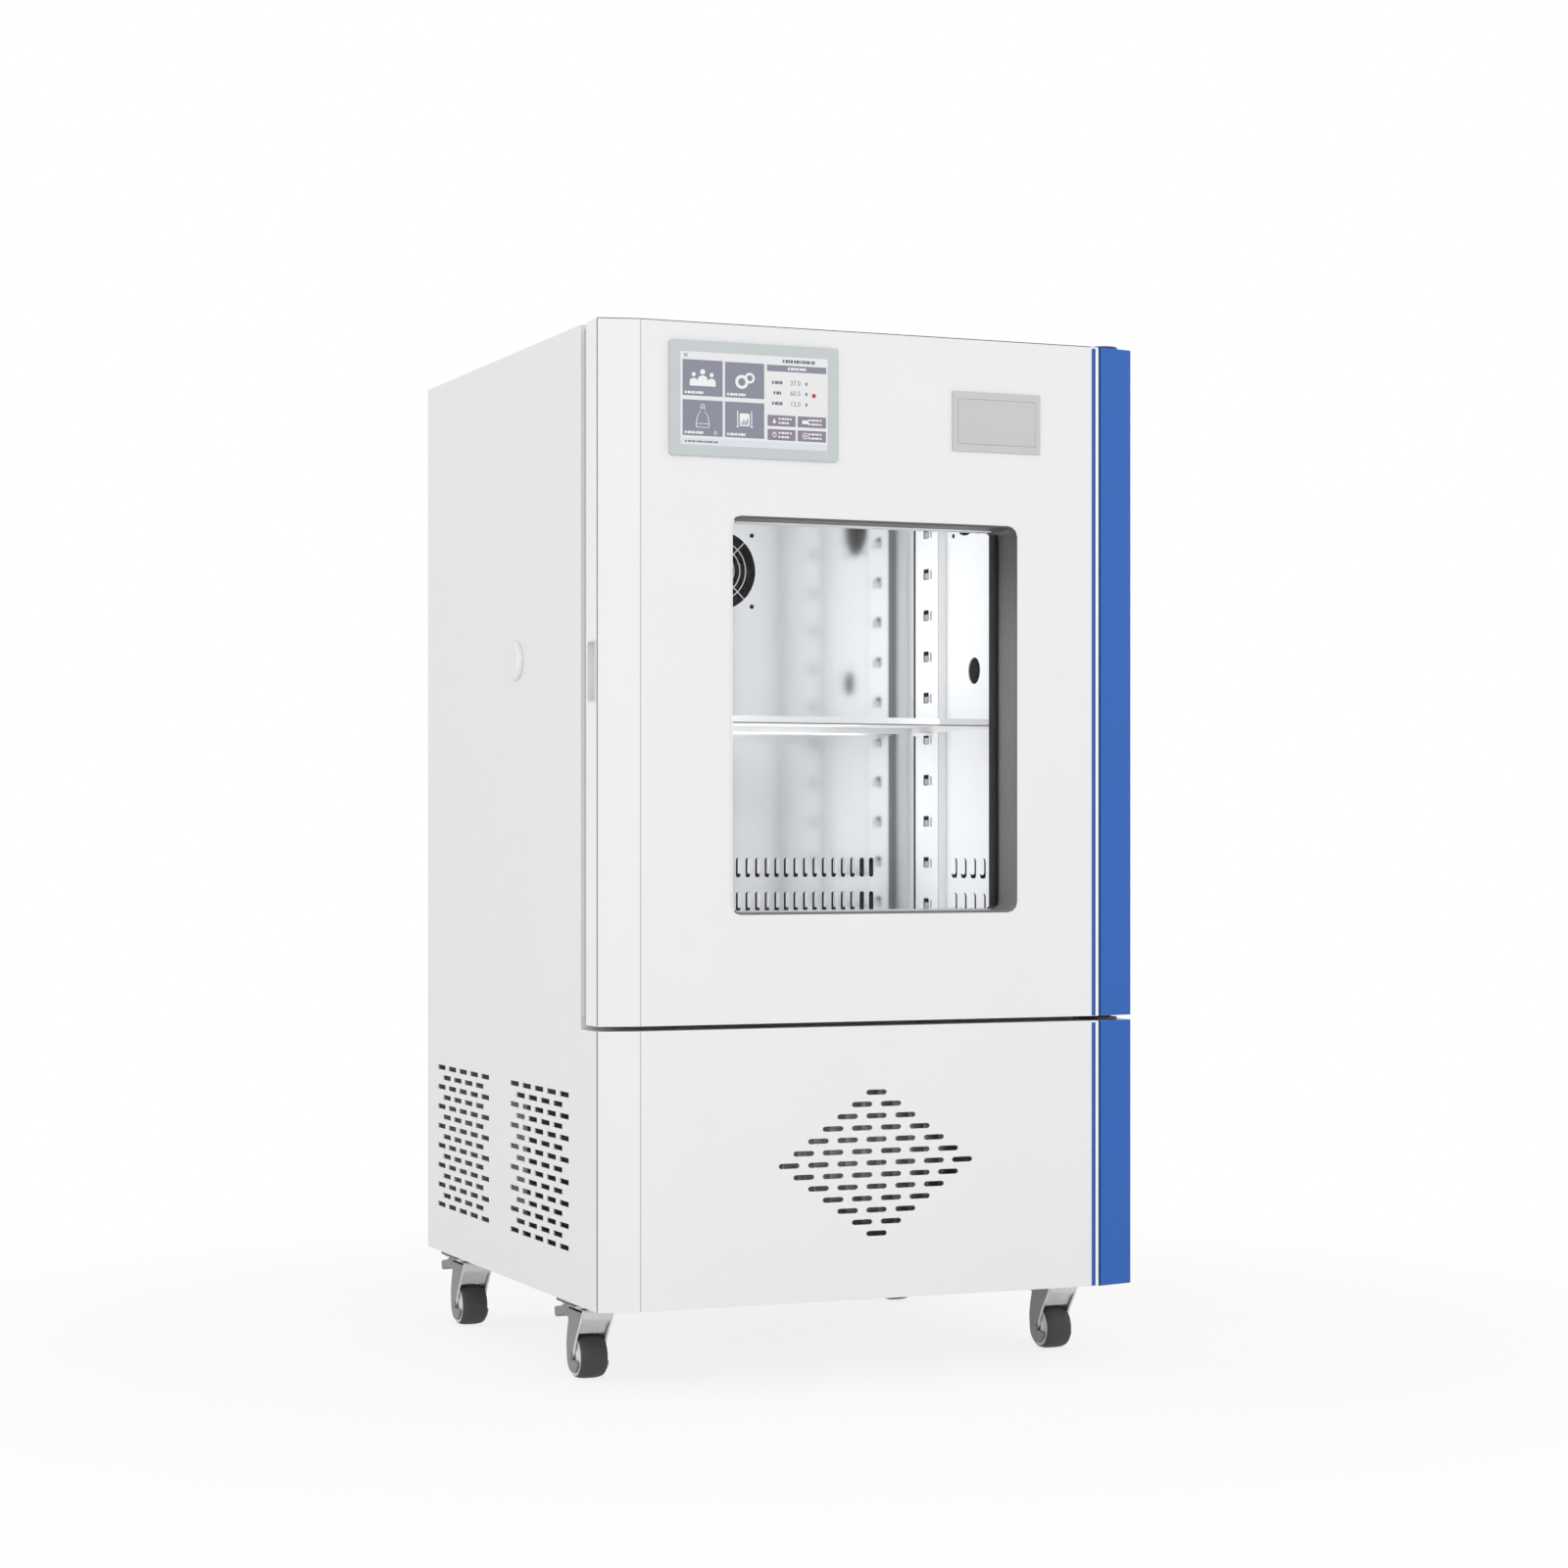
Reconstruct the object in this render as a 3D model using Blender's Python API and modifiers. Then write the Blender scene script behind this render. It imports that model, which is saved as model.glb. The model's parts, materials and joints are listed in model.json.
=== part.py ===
"""Biochemical incubator: an insulated upright cabinet on casters, with a glazed door in front.

Units are metres and +Z is up. The origin is on the floor under the middle of the cabinet.
The door faces -Y and its hinges are on the +X side. Depths are measured back from the flat of
the door, and heights up from the underside of the cabinet.
"""

import math

import bmesh
import bpy
from mathutils import Matrix, Vector
from mathutils.geometry import delaunay_2d_cdt

# Cabinet
BODY_WIDTH = 0.666
BODY_DEPTH = 0.666
BODY_HEIGHT = 1.100
SHEET = 0.0015
RETURN_FLANGE = 0.015
TRAY_FLANGE = 0.025
BEVEL_WIDTH = 0.0468
BEVEL_DEPTH = 0.0115
SEAM = 0.0012
LOWER_HEIGHT = 0.3108
CABINET_EDGE = 0.067
FRAME_SHEET = 0.002
FRAME_LAP = 0.020
INSULATED_WALL = 0.066

# Clearances
TOUCH_GAP = 0.0003
RUNNING_GAP = 0.001
CUT_MARGIN = 0.005
WELD = 0.000001
LAP_STEP = 0.0001

# Door
DOOR_GAP = 0.0057
DOOR_THICKNESS = 0.0486
TRIM_SHEET = 0.0012
TRIM_INSET = 0.0004
HINGE_INSET = 0.030
HINGE_DEPTH = 0.024
HINGE_PIN = 0.005
HINGE_PIN_LENGTH = 0.018
WASHER_SHARE = 1.8
HINGE_PLATE = 0.003
HINGE_PLATE_WIDTH = 0.034
HINGE_PLATE_DEPTH = 0.120
SEAL_INSET = 0.0045
SEAL_HINGE_INSET = 0.034
SEAL_WIDTH = 0.026
PLATEAU_DEPTH = 0.009
PLATEAU_INSET = 0.006
WINDOW_WIDTH = 0.353
WINDOW_HEIGHT = 0.443
WINDOW_CORNER = 0.010
REVEAL_WALL = 0.002
REVEAL_DEPTH = 0.062
REVEAL_LIP = 0.0012
LIP_THICKNESS = 0.0037
GLASS_THICKNESS = 0.012
HANDLE_DEPTH = 0.0297
HANDLE_MIDDLE = 0.7105
HANDLE_WIDTH = 0.0246
HANDLE_LENGTH = 0.065
HANDLE_RECESS = 0.015
HANDLE_WALL = 0.0012

# Touch screen and printer
BEZEL_WIDTH = 0.204
BEZEL_HEIGHT = 0.128
BEZEL_PROUD = 0.004
BEZEL_CORNER = 0.003
BEZEL_TO_SIDE = 0.182
BEZEL_X = BEZEL_TO_SIDE - BODY_WIDTH / 2
BEZEL_Z = 1.015
WINDOW_TO_BEZEL = 0.067
WINDOW_MIDDLE = BEZEL_Z - BEZEL_HEIGHT / 2 - WINDOW_TO_BEZEL - WINDOW_HEIGHT / 2
DISPLAY_WIDTH = 0.1785
DISPLAY_HEIGHT = 0.1035
DISPLAY_SINK = 0.0012
DISPLAY_BODY = 0.024
PRINTER_WIDTH = 0.112
PRINTER_HEIGHT = 0.0685
PRINTER_PROUD = 0.0025
PRINTER_TO_SIDE = 0.1817
PRINTER_X = BODY_WIDTH / 2 - PRINTER_TO_SIDE
PRINTER_Z = 1.0048
PRINTER_BAY_WIDTH = 0.100
PRINTER_BAY_HEIGHT = 0.052
PRINTER_BAY_DEPTH = 0.034
PRINTER_WALL = 0.0015
COVER_THICKNESS = 0.0022

# Chamber
CHAMBER_HALF_WIDTH = BODY_WIDTH / 2 - INSULATED_WALL
CHAMBER_FLOOR = 0.385
CHAMBER_CEILING = BODY_HEIGHT - INSULATED_WALL
CHAMBER_BACK = BODY_DEPTH - INSULATED_WALL
FOAM_FLOOR = 0.318
DUCT_SPACE = 0.108
DUCT_DEPTH = CHAMBER_BACK - DUCT_SPACE
DUCT_RETURN = 0.012
VENT_LENGTH = 0.0237
VENT_WIDTH = 0.006
VENT_LOW = 0.4427
VENT_HIGH = 0.4864
REAR_VENT_PITCH = 0.0133
REAR_VENTS = 25
SIDE_VENT_PITCH = 0.0274
SIDE_VENTS = 4
UPRIGHT_WIDTH = 0.081
UPRIGHT_WEB = 0.075
UPRIGHT_PROUD = 0.010
UPRIGHT_FRONT = 0.1925
UPRIGHT_TO_DUCT = 0.0745
UPRIGHT_REAR = DUCT_DEPTH - UPRIGHT_TO_DUCT
UPRIGHT_MIDDLE = (UPRIGHT_FRONT + UPRIGHT_REAR) / 2
SIDE_VENT_OFFSET = 0.0081
SIDE_VENT_DEPTH = UPRIGHT_MIDDLE + SIDE_VENT_OFFSET
UPRIGHT_SLOT_PITCH = 0.0528
UPRIGHT_SLOTS = 11
UPRIGHT_TOP_SLOT = 0.9683
UPRIGHT_SLOT_WIDTH = 0.012
UPRIGHT_SLOT_HEIGHT = 0.014
SHELF_HEIGHT = 0.668
SHELF_FRONT = 0.150
SHELF_TO_DUCT = 0.030
SHELF_BACK = DUCT_DEPTH - SHELF_TO_DUCT
SHELF_FLANGE = 0.009
SHELF_SLOT_LENGTH = 0.120
SHELF_SLOT_WIDTH = 0.008
SHELF_SLOT_COLUMNS = 3
SHELF_SLOT_ROWS = 6
CLIP_PROUD = 0.010
CLIP_THICKNESS = 0.003
PORT_OFFSET = 0.008
PORT_DEPTH = UPRIGHT_MIDDLE - PORT_OFFSET
PORT_HEIGHT = 0.734
PORT_RADIUS = 0.017
PLUG_FLANGE_RADIUS = 0.023
PLUG_FLANGE = 0.006
PLUG_LENGTH = 0.045

# Fans
REAR_FAN_HEIGHT = 0.866
REAR_FAN_OPENING = 0.0505
REAR_FAN_FRAME = 0.110
REAR_FAN_THICKNESS = 0.038
REAR_FAN_SCREWS = 0.091
GUARD_WIRE = 0.002
GUARD_RINGS = (0.020, 0.030, 0.038)
SIDE_FAN_OFFSET = 0.016
SIDE_FAN_DEPTH = UPRIGHT_MIDDLE + SIDE_FAN_OFFSET
SIDE_FAN_HEIGHT = 0.943
SIDE_FAN_OPENING = 0.038
SIDE_FAN_FRAME = 0.080
SIDE_FAN_THICKNESS = 0.025
SIDE_FAN_SCREWS = 0.0715
CONDENSER_FAN_FRAME = 0.200
CONDENSER_FAN_OPENING = 0.092
CONDENSER_FAN_THICKNESS = 0.045
CONDENSER_FAN_SCREWS = 0.180
SCREW_HOLE = 0.0022
FAN_BLADES = 7
DUCT_SIDES = 18
BLADE_THICKNESS = 0.0016
ROOT_PITCH = math.radians(25)
TIP_PITCH = math.radians(50)
HUB_SHARE = 0.40
MOTOR_MOUNT = 0.004
SIDE_DUCT_DEPTH = 0.034

# Grilles
GRILLE_ROWS = 15
GRILLE_ROW_PITCH = 0.0124
GRILLE_MIDDLE = 0.147
GRILLE_SLOT_LENGTH = 0.032
GRILLE_SLOT_WIDTH = 0.006
GRILLE_SLOT_PITCH = 0.0455
GRILLE_LONG_ROW = 5
GRILLE_FRONT = 0.2155
GRILLE_TO_BACK = 0.1525
GRILLE_REAR = BODY_DEPTH - GRILLE_TO_BACK
DIAMOND_MIDDLE = 0.155
DIAMOND_HALF_ROWS = 7
DIAMOND_ROW_PITCH = 0.0134
DIAMOND_SLOT_PITCH = 0.036
DIAMOND_SLOT_LENGTH = 0.026
DIAMOND_SLOT_WIDTH = 0.006
BACK_GRILLE_MIDDLE = 0.170
BACK_GRILLE_ROWS = 6
BACK_GRILLE_COLUMNS = 3
BACK_GRILLE_PITCH = 0.016
BACK_GRILLE_SLOT = 0.090
BACK_GRILLE_SLOT_WIDTH = 0.007
BACK_GRILLE_SPACING = 0.105

# Machine compartment
EVAPORATOR_WIDTH = 0.400
EVAPORATOR_LOW = 0.500
EVAPORATOR_HIGH = 0.770
EVAPORATOR_TO_BACK = 0.052
EVAPORATOR_FRONT = CHAMBER_BACK - EVAPORATOR_TO_BACK
EVAPORATOR_FINS = 16
HEATER_TUBE = 0.004
HEATER_LOW = 0.520
HEATER_HIGH = 0.640
HEATER_HALF_WIDTH = 0.150
COMPRESSOR_X = 0.110
COMPRESSOR_TO_BACK = 0.226
COMPRESSOR_DEPTH = BODY_DEPTH - COMPRESSOR_TO_BACK
COMPRESSOR_RADIUS = 0.078
COMPRESSOR_HEIGHT = 0.190
COMPRESSOR_FOOT = 0.190
CONDENSER_WIDTH = 0.300
CONDENSER_HEIGHT = 0.250
CONDENSER_FRONT = 0.110
CONDENSER_THICKNESS = 0.044
CONDENSER_FINS = 16
FIN = 0.0012
CONTROL_BOX = (0.150, 0.090, 0.200)
CONTROL_BOX_X = -0.200
CONTROL_BOX_TO_BACK = 0.186
CONTROL_BOX_DEPTH = BODY_DEPTH - CONTROL_BOX_TO_BACK
INLET_X = -0.215
INLET_HEIGHT = 0.150
INLET_WIDTH = 0.050
INLET_TALL = 0.028
INLET_PROUD = 0.004
INLET_BODY = (0.030, 0.022)
INLET_LENGTH = 0.026
SOCKET = (0.024, 0.016)
SOCKET_DEPTH = 0.018

# Casters
CASTER_HEIGHT = 0.0935
CASTER_SIDE_INSET = 0.036
CASTER_X = BODY_WIDTH / 2 - CASTER_SIDE_INSET
CASTER_FRONT_INSET = 0.1265
CASTER_REAR_INSET = 0.0845
CASTER_TRAIL = 0.0195
CASTER_PLATE = 0.070
CASTER_PLATE_THICKNESS = 0.003
RACE_RADIUS = 0.020
RACE_HEIGHT = 0.007
KINGPIN = 0.005
WHEEL_RADIUS = 0.026
WHEEL_WIDTH = 0.032
WHEEL_FACETS = 16
AXLE = 0.004
HUB_RADIUS = 0.013
HUB_PROUD = 0.0004
FORK_SHEET = 0.0025
FORK_BOSS = 0.018
CROWN_FRONT = 0.018
CROWN_BACK = 0.032
PEDAL_WIDTH = 0.018
PEDAL_KNUCKLE = 0.004
PEDAL_LENGTH = 0.052

# Places worked out from the sizes
HALF_WIDTH = BODY_WIDTH / 2
INNER_HALF = HALF_WIDTH - SHEET - TOUCH_GAP
FLAT_HALF = HALF_WIDTH - BEVEL_WIDTH
BEVEL_ANGLE = math.atan2(BEVEL_DEPTH, BEVEL_WIDTH)
FRONT_Y = -(BODY_DEPTH + INLET_PROUD - BEZEL_PROUD) / 2
BASE_Z = CASTER_HEIGHT
TOP_Z = BASE_Z + BODY_HEIGHT
SEAM_BACK = BEVEL_DEPTH + SHEET / math.cos(BEVEL_ANGLE) + SEAM
SEAM_GROOVE = SHEET
DOOR_BOTTOM = LOWER_HEIGHT + DOOR_GAP
HINGE_X = HALF_WIDTH - HINGE_INSET
BACK_INNER = BODY_DEPTH - 2 * SHEET - TOUCH_GAP
LINER_OUTER = CHAMBER_HALF_WIDTH + SHEET

PLANES = {
    "plan": Matrix.Identity(4),
    "front": Matrix.Rotation(math.radians(90), 4, "X"),
    "side": Matrix(((0, 0, 1, 0), (1, 0, 0, 0), (0, 1, 0, 0), (0, 0, 0, 1))),
}
FILL_BETWEEN_LOOPS = 2
NORMALS = {"plan": Vector((0, 0, 1)), "front": Vector((0, 1, 0)), "side": Vector((1, 0, 0))}

# Colour, roughness and metallic value of each finish
FINISHES = {
    "white_powder_coat": ((0.86, 0.86, 0.85), 0.45, 0.0),
    "blue_trim": ((0.048, 0.141, 0.468), 0.35, 0.0),
    "mirror_steel": ((0.80, 0.81, 0.82), 0.12, 1.0),
    "brushed_steel": ((0.62, 0.63, 0.64), 0.32, 1.0),
    "zinc_plate": ((0.55, 0.56, 0.57), 0.38, 1.0),
    "dark_reveal": ((0.12, 0.12, 0.12), 0.50, 0.0),
    "bezel_grey": ((0.58, 0.61, 0.61), 0.45, 0.0),
    "display_glass": ((0.88, 0.89, 0.91), 0.15, 0.0),
    "window_glass": ((0.93, 0.96, 0.95), 0.03, 0.0),
    "seal_rubber": ((0.50, 0.50, 0.50), 0.70, 0.0),
    "tyre_rubber": ((0.035, 0.035, 0.037), 0.65, 0.0),
    "black_plastic": ((0.025, 0.025, 0.027), 0.45, 0.0),
    "white_plastic": ((0.80, 0.80, 0.79), 0.50, 0.0),
    "foam": ((0.80, 0.72, 0.50), 0.90, 0.0),
    "aluminium_fin": ((0.75, 0.76, 0.77), 0.35, 1.0),
    "black_enamel": ((0.03, 0.03, 0.03), 0.35, 0.0),
}


def depth(distance):
    """World Y of a depth behind the flat of the door."""
    return FRONT_Y + distance


def level(height):
    """World Z of a height above the underside of the cabinet."""
    return BASE_Z + height


def clear_scene():
    for item in list(bpy.data.objects):
        bpy.data.objects.remove(item, do_unlink=True)


def make_collection(name):
    collection = bpy.data.collections.new(name)
    bpy.context.scene.collection.children.link(collection)
    return collection


def finish_material(name):
    """Principled material of one finish, made the first time it is used."""
    if name in bpy.data.materials:
        return bpy.data.materials[name]
    colour, roughness, metallic = FINISHES[name]
    material = bpy.data.materials.new(name)
    material.use_nodes = True
    shader = material.node_tree.nodes["Principled BSDF"]
    shader.inputs["Base Color"].default_value = (*colour, 1)
    shader.inputs["Roughness"].default_value = roughness
    shader.inputs["Metallic"].default_value = metallic
    return material


def object_of(name, shape, place):
    """Object holding a bmesh, closed and with its faces turned out."""
    bmesh.ops.recalc_face_normals(shape, faces=shape.faces)
    mesh = bpy.data.meshes.new(name)
    shape.to_mesh(mesh)
    shape.free()
    item = bpy.data.objects.new(name, mesh)
    item.matrix_world = place
    return item


def rectangle(low_u, low_v, high_u, high_v):
    return [(low_u, low_v), (high_u, low_v), (high_u, high_v), (low_u, high_v)]


def arc(centre, radius, start, end, steps):
    """Points on an arc from one angle in degrees to another, both ends included."""
    points = []
    for step in range(steps + 1):
        angle = math.radians(start + (end - start) * step / steps)
        points.append((centre[0] + radius * math.cos(angle), centre[1] + radius * math.sin(angle)))
    return points


def circle(centre, radius, sides):
    return arc(centre, radius, 180 / sides, 360 + 180 / sides, sides)[:-1]


def rounded_rectangle(low_u, low_v, high_u, high_v, radius, steps=4):
    """Rectangle with quarter-round corners, counter-clockwise from its lower right."""
    corners = (
        (high_u - radius, low_v + radius, -90),
        (high_u - radius, high_v - radius, 0),
        (low_u + radius, high_v - radius, 90),
        (low_u + radius, low_v + radius, 180),
    )
    points = []
    for u, v, start in corners:
        points += arc((u, v), radius, start, start + 90, steps)
    return points


def slot(centre, length, width, upright=False, steps=3):
    """Round-ended slot. Its length lies along u, or along v when it is upright."""
    reach = length / 2 - width / 2
    points = arc((reach, 0), width / 2, -90, 90, steps) + arc((-reach, 0), width / 2, 90, 270, steps)
    if upright:
        points = [(-v, u) for u, v in points]
    return [(centre[0] + u, centre[1] + v) for u, v in points]


def prism(name, loops, low, high, plane="plan"):
    """Solid of a flat outline with its holes, which runs from low to high along the plane's normal."""
    points = []
    rings = []
    for loop in loops:
        rings.append(list(range(len(points), len(points) + len(loop))))
        points += [Vector(point) for point in loop]
    corners, _, triangles, *_ = delaunay_2d_cdt(points, [], rings, FILL_BETWEEN_LOOPS, WELD)
    shape = bmesh.new()
    base = [shape.verts.new((u, v, (low - high) / 2)) for u, v in corners]
    faces = [shape.faces.new([base[index] for index in triangle]) for triangle in triangles]
    raised = bmesh.ops.extrude_face_region(shape, geom=faces)["geom"]
    raised = [part for part in raised if isinstance(part, bmesh.types.BMVert)]
    bmesh.ops.translate(shape, vec=(0, 0, high - low), verts=raised)
    place = Matrix.Translation(NORMALS[plane] * (low + high) / 2) @ PLANES[plane]
    return object_of(name, shape, place)


def mesh_of_curve(name, curve, place):
    """Mesh object made from a curve, with its caps welded to its sides."""
    holder = bpy.data.objects.new(name, curve)
    mesh = bpy.data.meshes.new_from_object(holder)
    bpy.data.objects.remove(holder)
    bpy.data.curves.remove(curve)
    shape = bmesh.new()
    shape.from_mesh(mesh)
    bpy.data.meshes.remove(mesh)
    bmesh.ops.remove_doubles(shape, verts=shape.verts, dist=WELD)
    return object_of(name, shape, place)


def box(name, low, high):
    shape = bmesh.new()
    bmesh.ops.create_cube(shape, size=1)
    bmesh.ops.scale(shape, vec=Vector(high) - Vector(low), verts=shape.verts)
    return object_of(name, shape, Matrix.Translation((Vector(low) + Vector(high)) / 2))


def cylinder(name, radius, centre, low, high, plane="plan", sides=16):
    return prism(name, [circle(centre, radius, sides)], low, high, plane)


def tray(name, low, high, open_side, wall):
    """Box without its face towards open_side. Its walls lie outside the box from low to high."""
    shape = bmesh.new()
    bmesh.ops.create_cube(shape, size=1)
    bmesh.ops.scale(shape, vec=Vector(high) - Vector(low), verts=shape.verts)
    bmesh.ops.recalc_face_normals(shape, faces=shape.faces)
    mouth = [face for face in shape.faces if face.normal.dot(Vector(open_side)) > 0.9]
    bmesh.ops.delete(shape, geom=mouth, context="FACES")
    mesh = bpy.data.meshes.new(name)
    shape.to_mesh(mesh)
    shape.free()
    item = bpy.data.objects.new(name, mesh)
    item.matrix_world = Matrix.Translation((Vector(low) + Vector(high)) / 2)
    walls = item.modifiers.new("walls", "SOLIDIFY")
    walls.thickness = wall
    walls.offset = 1
    walls.use_even_offset = True
    return item


def turned(name, profile, place, steps):
    """Solid of revolution of a profile of radius and height points, about the Z axis of its place."""
    mesh = bpy.data.meshes.new(name)
    points = [(radius, 0, height) for radius, height in profile]
    closed = min(radius for radius, _ in profile) > 0
    edges = [(index, index + 1) for index in range(len(points) - 1)]
    if closed:
        edges.append((len(points) - 1, 0))
    mesh.from_pydata(points, edges, [])
    item = bpy.data.objects.new(name, mesh)
    item.matrix_world = place
    screw = item.modifiers.new("turn", "SCREW")
    screw.steps = steps
    screw.render_steps = steps
    screw.use_merge_vertices = True
    screw.merge_threshold = 0.00005
    return item


def wire(name, points, diameter, place, cyclic=False):
    """Round wire through the points, with eight sides and filled ends."""
    curve = bpy.data.curves.new(name, "CURVE")
    curve.dimensions = "3D"
    curve.bevel_depth = diameter / 2
    curve.bevel_resolution = 0 if cyclic else 2
    curve.use_fill_caps = not cyclic
    spline = curve.splines.new("POLY")
    spline.points.add(len(points) - 1)
    for point, position in zip(spline.points, points):
        point.co = (*position, 1)
    spline.use_cyclic_u = cyclic
    return mesh_of_curve(name, curve, place)


class Assembly:
    """Collections of the incubator, and what is done to a piece when it goes in."""

    def __init__(self):
        self.pieces = make_collection("biochemical_incubator")
        self.cutters = make_collection("cutters")
        self.places = {}

    def add(self, item, finish, axis=None, smooth=False):
        """Put a piece in with its finish, carried by the empty on its joint's axis if it moves."""
        self.pieces.objects.link(item)
        item.data.materials.clear()
        item.data.materials.append(finish_material(finish))
        if axis is not None:
            item.parent = axis
            item.matrix_parent_inverse = Matrix.Translation(-self.places[axis.name])
        if smooth:
            item.data.shade_smooth()
            item.data.set_sharp_from_angle(angle=math.radians(35))
        return item

    def axis(self, name, place, parent=None):
        """Empty on a joint's axis, which carries the pieces that move about it."""
        empty = bpy.data.objects.new(name, None)
        empty.empty_display_size = 0.02
        self.places[name] = Vector(place)
        empty.location = place
        if parent is not None:
            empty.parent = parent
            empty.location = Vector(place) - self.places[parent.name]
        self.cutters.objects.link(empty)
        return empty

    def shape(self, item, tool, operation="DIFFERENCE"):
        """Cut the tool from the item, or join it on, and keep the tool as a hidden guide."""
        if tool.name not in self.cutters.objects:
            self.cutters.objects.link(tool)
        tool.hide_render = True
        tool.display_type = "WIRE"
        step = item.modifiers.new(tool.name, "BOOLEAN")
        step.operation = operation
        step.solver = "EXACT"
        step.object = tool
        return item

    def cut(self, item, *tools):
        for tool in tools:
            self.shape(item, tool)
        return item

    def join(self, item, *tools):
        for tool in tools:
            self.shape(item, tool, "UNION")
        return item


def bevel_line(offset, half_width=HALF_WIDTH):
    """Plan line of the front, left to right, at an offset behind its face: bevel, flat, bevel."""
    corner = FLAT_HALF - offset * math.tan(BEVEL_ANGLE / 2)
    slope = math.tan(BEVEL_ANGLE)
    end_y = (half_width - FLAT_HALF) * slope + offset / math.cos(BEVEL_ANGLE)
    line = [(-half_width, end_y), (-corner, offset), (corner, offset), (half_width, end_y)]
    return [(x, depth(y)) for x, y in line]


def window_outline(margin):
    """Outline of the window, enlarged by a margin."""
    half_width = WINDOW_WIDTH / 2 + margin
    half_height = WINDOW_HEIGHT / 2 + margin
    middle = level(WINDOW_MIDDLE)
    corner = WINDOW_CORNER + margin
    return rounded_rectangle(-half_width, middle - half_height, half_width, middle + half_height, corner, 3)


def centred_rectangle(centre_u, centre_v, width, height):
    return rectangle(
        centre_u - width / 2, centre_v - height / 2, centre_u + width / 2, centre_v + height / 2
    )


def side_grille_slots(centre):
    """Staggered rows of square-ended slots, five and four in turn, of one side grille."""
    loops = []
    for row in range(GRILLE_ROWS):
        count = GRILLE_LONG_ROW - row % 2
        v = level(GRILLE_MIDDLE) + (row - (GRILLE_ROWS - 1) / 2) * GRILLE_ROW_PITCH
        for column in range(count):
            u = depth(centre) + (column - (count - 1) / 2) * GRILLE_SLOT_PITCH
            loops.append(centred_rectangle(u, v, GRILLE_SLOT_LENGTH, GRILLE_SLOT_WIDTH))
    return loops


def build_side_panel(assembly, name, side, grilles):
    """Side sheet with a rear return, stepped forward below the door, with its grilles and port."""
    outer = side * HALF_WIDTH
    inner = side * (HALF_WIDTH - SHEET)
    front = depth(SEAM_BACK)
    edge = depth(CABINET_EDGE)
    back = depth(BODY_DEPTH)
    step = level(LOWER_HEIGHT)
    outline = [(front, BASE_Z), (back, BASE_Z), (back, TOP_Z), (edge, TOP_Z), (edge, step), (front, step)]
    openings = [circle((depth(PORT_DEPTH), level(PORT_HEIGHT)), PORT_RADIUS, 16)]
    for centre in grilles:
        openings += side_grille_slots(centre)
    panel = prism(name, [outline] + openings, *sorted((outer, inner)), plane="side")
    lap = side * (HALF_WIDTH - SHEET / 2)
    lip = side * (HALF_WIDTH - RETURN_FLANGE)
    near, far = sorted((lap, lip))
    rear_return = box(
        name + "_return", (near, back - SHEET, BASE_Z + LAP_STEP), (far, back - LAP_STEP, TOP_Z - LAP_STEP)
    )
    assembly.join(panel, rear_return)
    return assembly.add(panel, "white_powder_coat")


def build_outer_shell(assembly):
    """Side, top and back sheets, the base tray and the lower front panel."""
    build_side_panel(assembly, "side_panel_left", -1, (GRILLE_FRONT, GRILLE_REAR))
    build_side_panel(assembly, "side_panel_right", 1, ())

    sheet_back = depth(BODY_DEPTH - SHEET - TOUCH_GAP)
    top = box(
        "top_panel", (-INNER_HALF, depth(CABINET_EDGE), TOP_Z - SHEET), (INNER_HALF, sheet_back, TOP_Z)
    )
    assembly.add(top, "white_powder_coat")

    back = box(
        "back_panel",
        (-INNER_HALF, depth(BACK_INNER), BASE_Z),
        (INNER_HALF, sheet_back, TOP_Z - SHEET - TOUCH_GAP),
    )
    slots = []
    for row in range(BACK_GRILLE_ROWS):
        for column in range(BACK_GRILLE_COLUMNS):
            u = (column - (BACK_GRILLE_COLUMNS - 1) / 2) * BACK_GRILLE_SPACING + BACK_GRILLE_SPACING / 2
            v = level(BACK_GRILLE_MIDDLE) + (row - (BACK_GRILLE_ROWS - 1) / 2) * BACK_GRILLE_PITCH
            slots.append(centred_rectangle(u, v, BACK_GRILLE_SLOT, BACK_GRILLE_SLOT_WIDTH))
    reach = (depth(BACK_INNER) - CUT_MARGIN, sheet_back + CUT_MARGIN)
    grille = prism("back_panel_slots", slots, *reach, plane="front")
    inlet_width, inlet_height = INLET_BODY
    hole = centred_rectangle(
        INLET_X, level(INLET_HEIGHT), inlet_width + 2 * TOUCH_GAP, inlet_height + 2 * TOUCH_GAP
    )
    assembly.cut(back, grille, prism("back_panel_inlet_hole", [hole], *reach, plane="front"))
    assembly.add(back, "white_powder_coat")

    build_base_tray(assembly)
    build_lower_front(assembly)


def build_base_tray(assembly):
    """Floor of the machine space, with an upstand behind the front panel and one before the back."""
    back = depth(BACK_INNER - TOUCH_GAP)
    line = bevel_line(SHEET + TOUCH_GAP, INNER_HALF)
    floor = prism("base_tray", [line + [(INNER_HALF, back), (-INNER_HALF, back)]], BASE_Z, BASE_Z + SHEET)
    half = INNER_HALF - TOUCH_GAP
    low = BASE_Z + SHEET / 2
    high = BASE_Z + TRAY_FLANGE
    upstand = bevel_line(SHEET + 2 * TOUCH_GAP, half) + bevel_line(2 * SHEET + 2 * TOUCH_GAP, half)[::-1]
    front_flange = prism("base_tray_front_flange", [upstand], low, high)
    flange_back = back - TOUCH_GAP
    back_flange = box(
        "base_tray_back_flange", (-half, flange_back - SHEET, low), (half, flange_back, high)
    )
    assembly.join(floor, front_flange, back_flange)
    assembly.add(floor, "zinc_plate")


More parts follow.
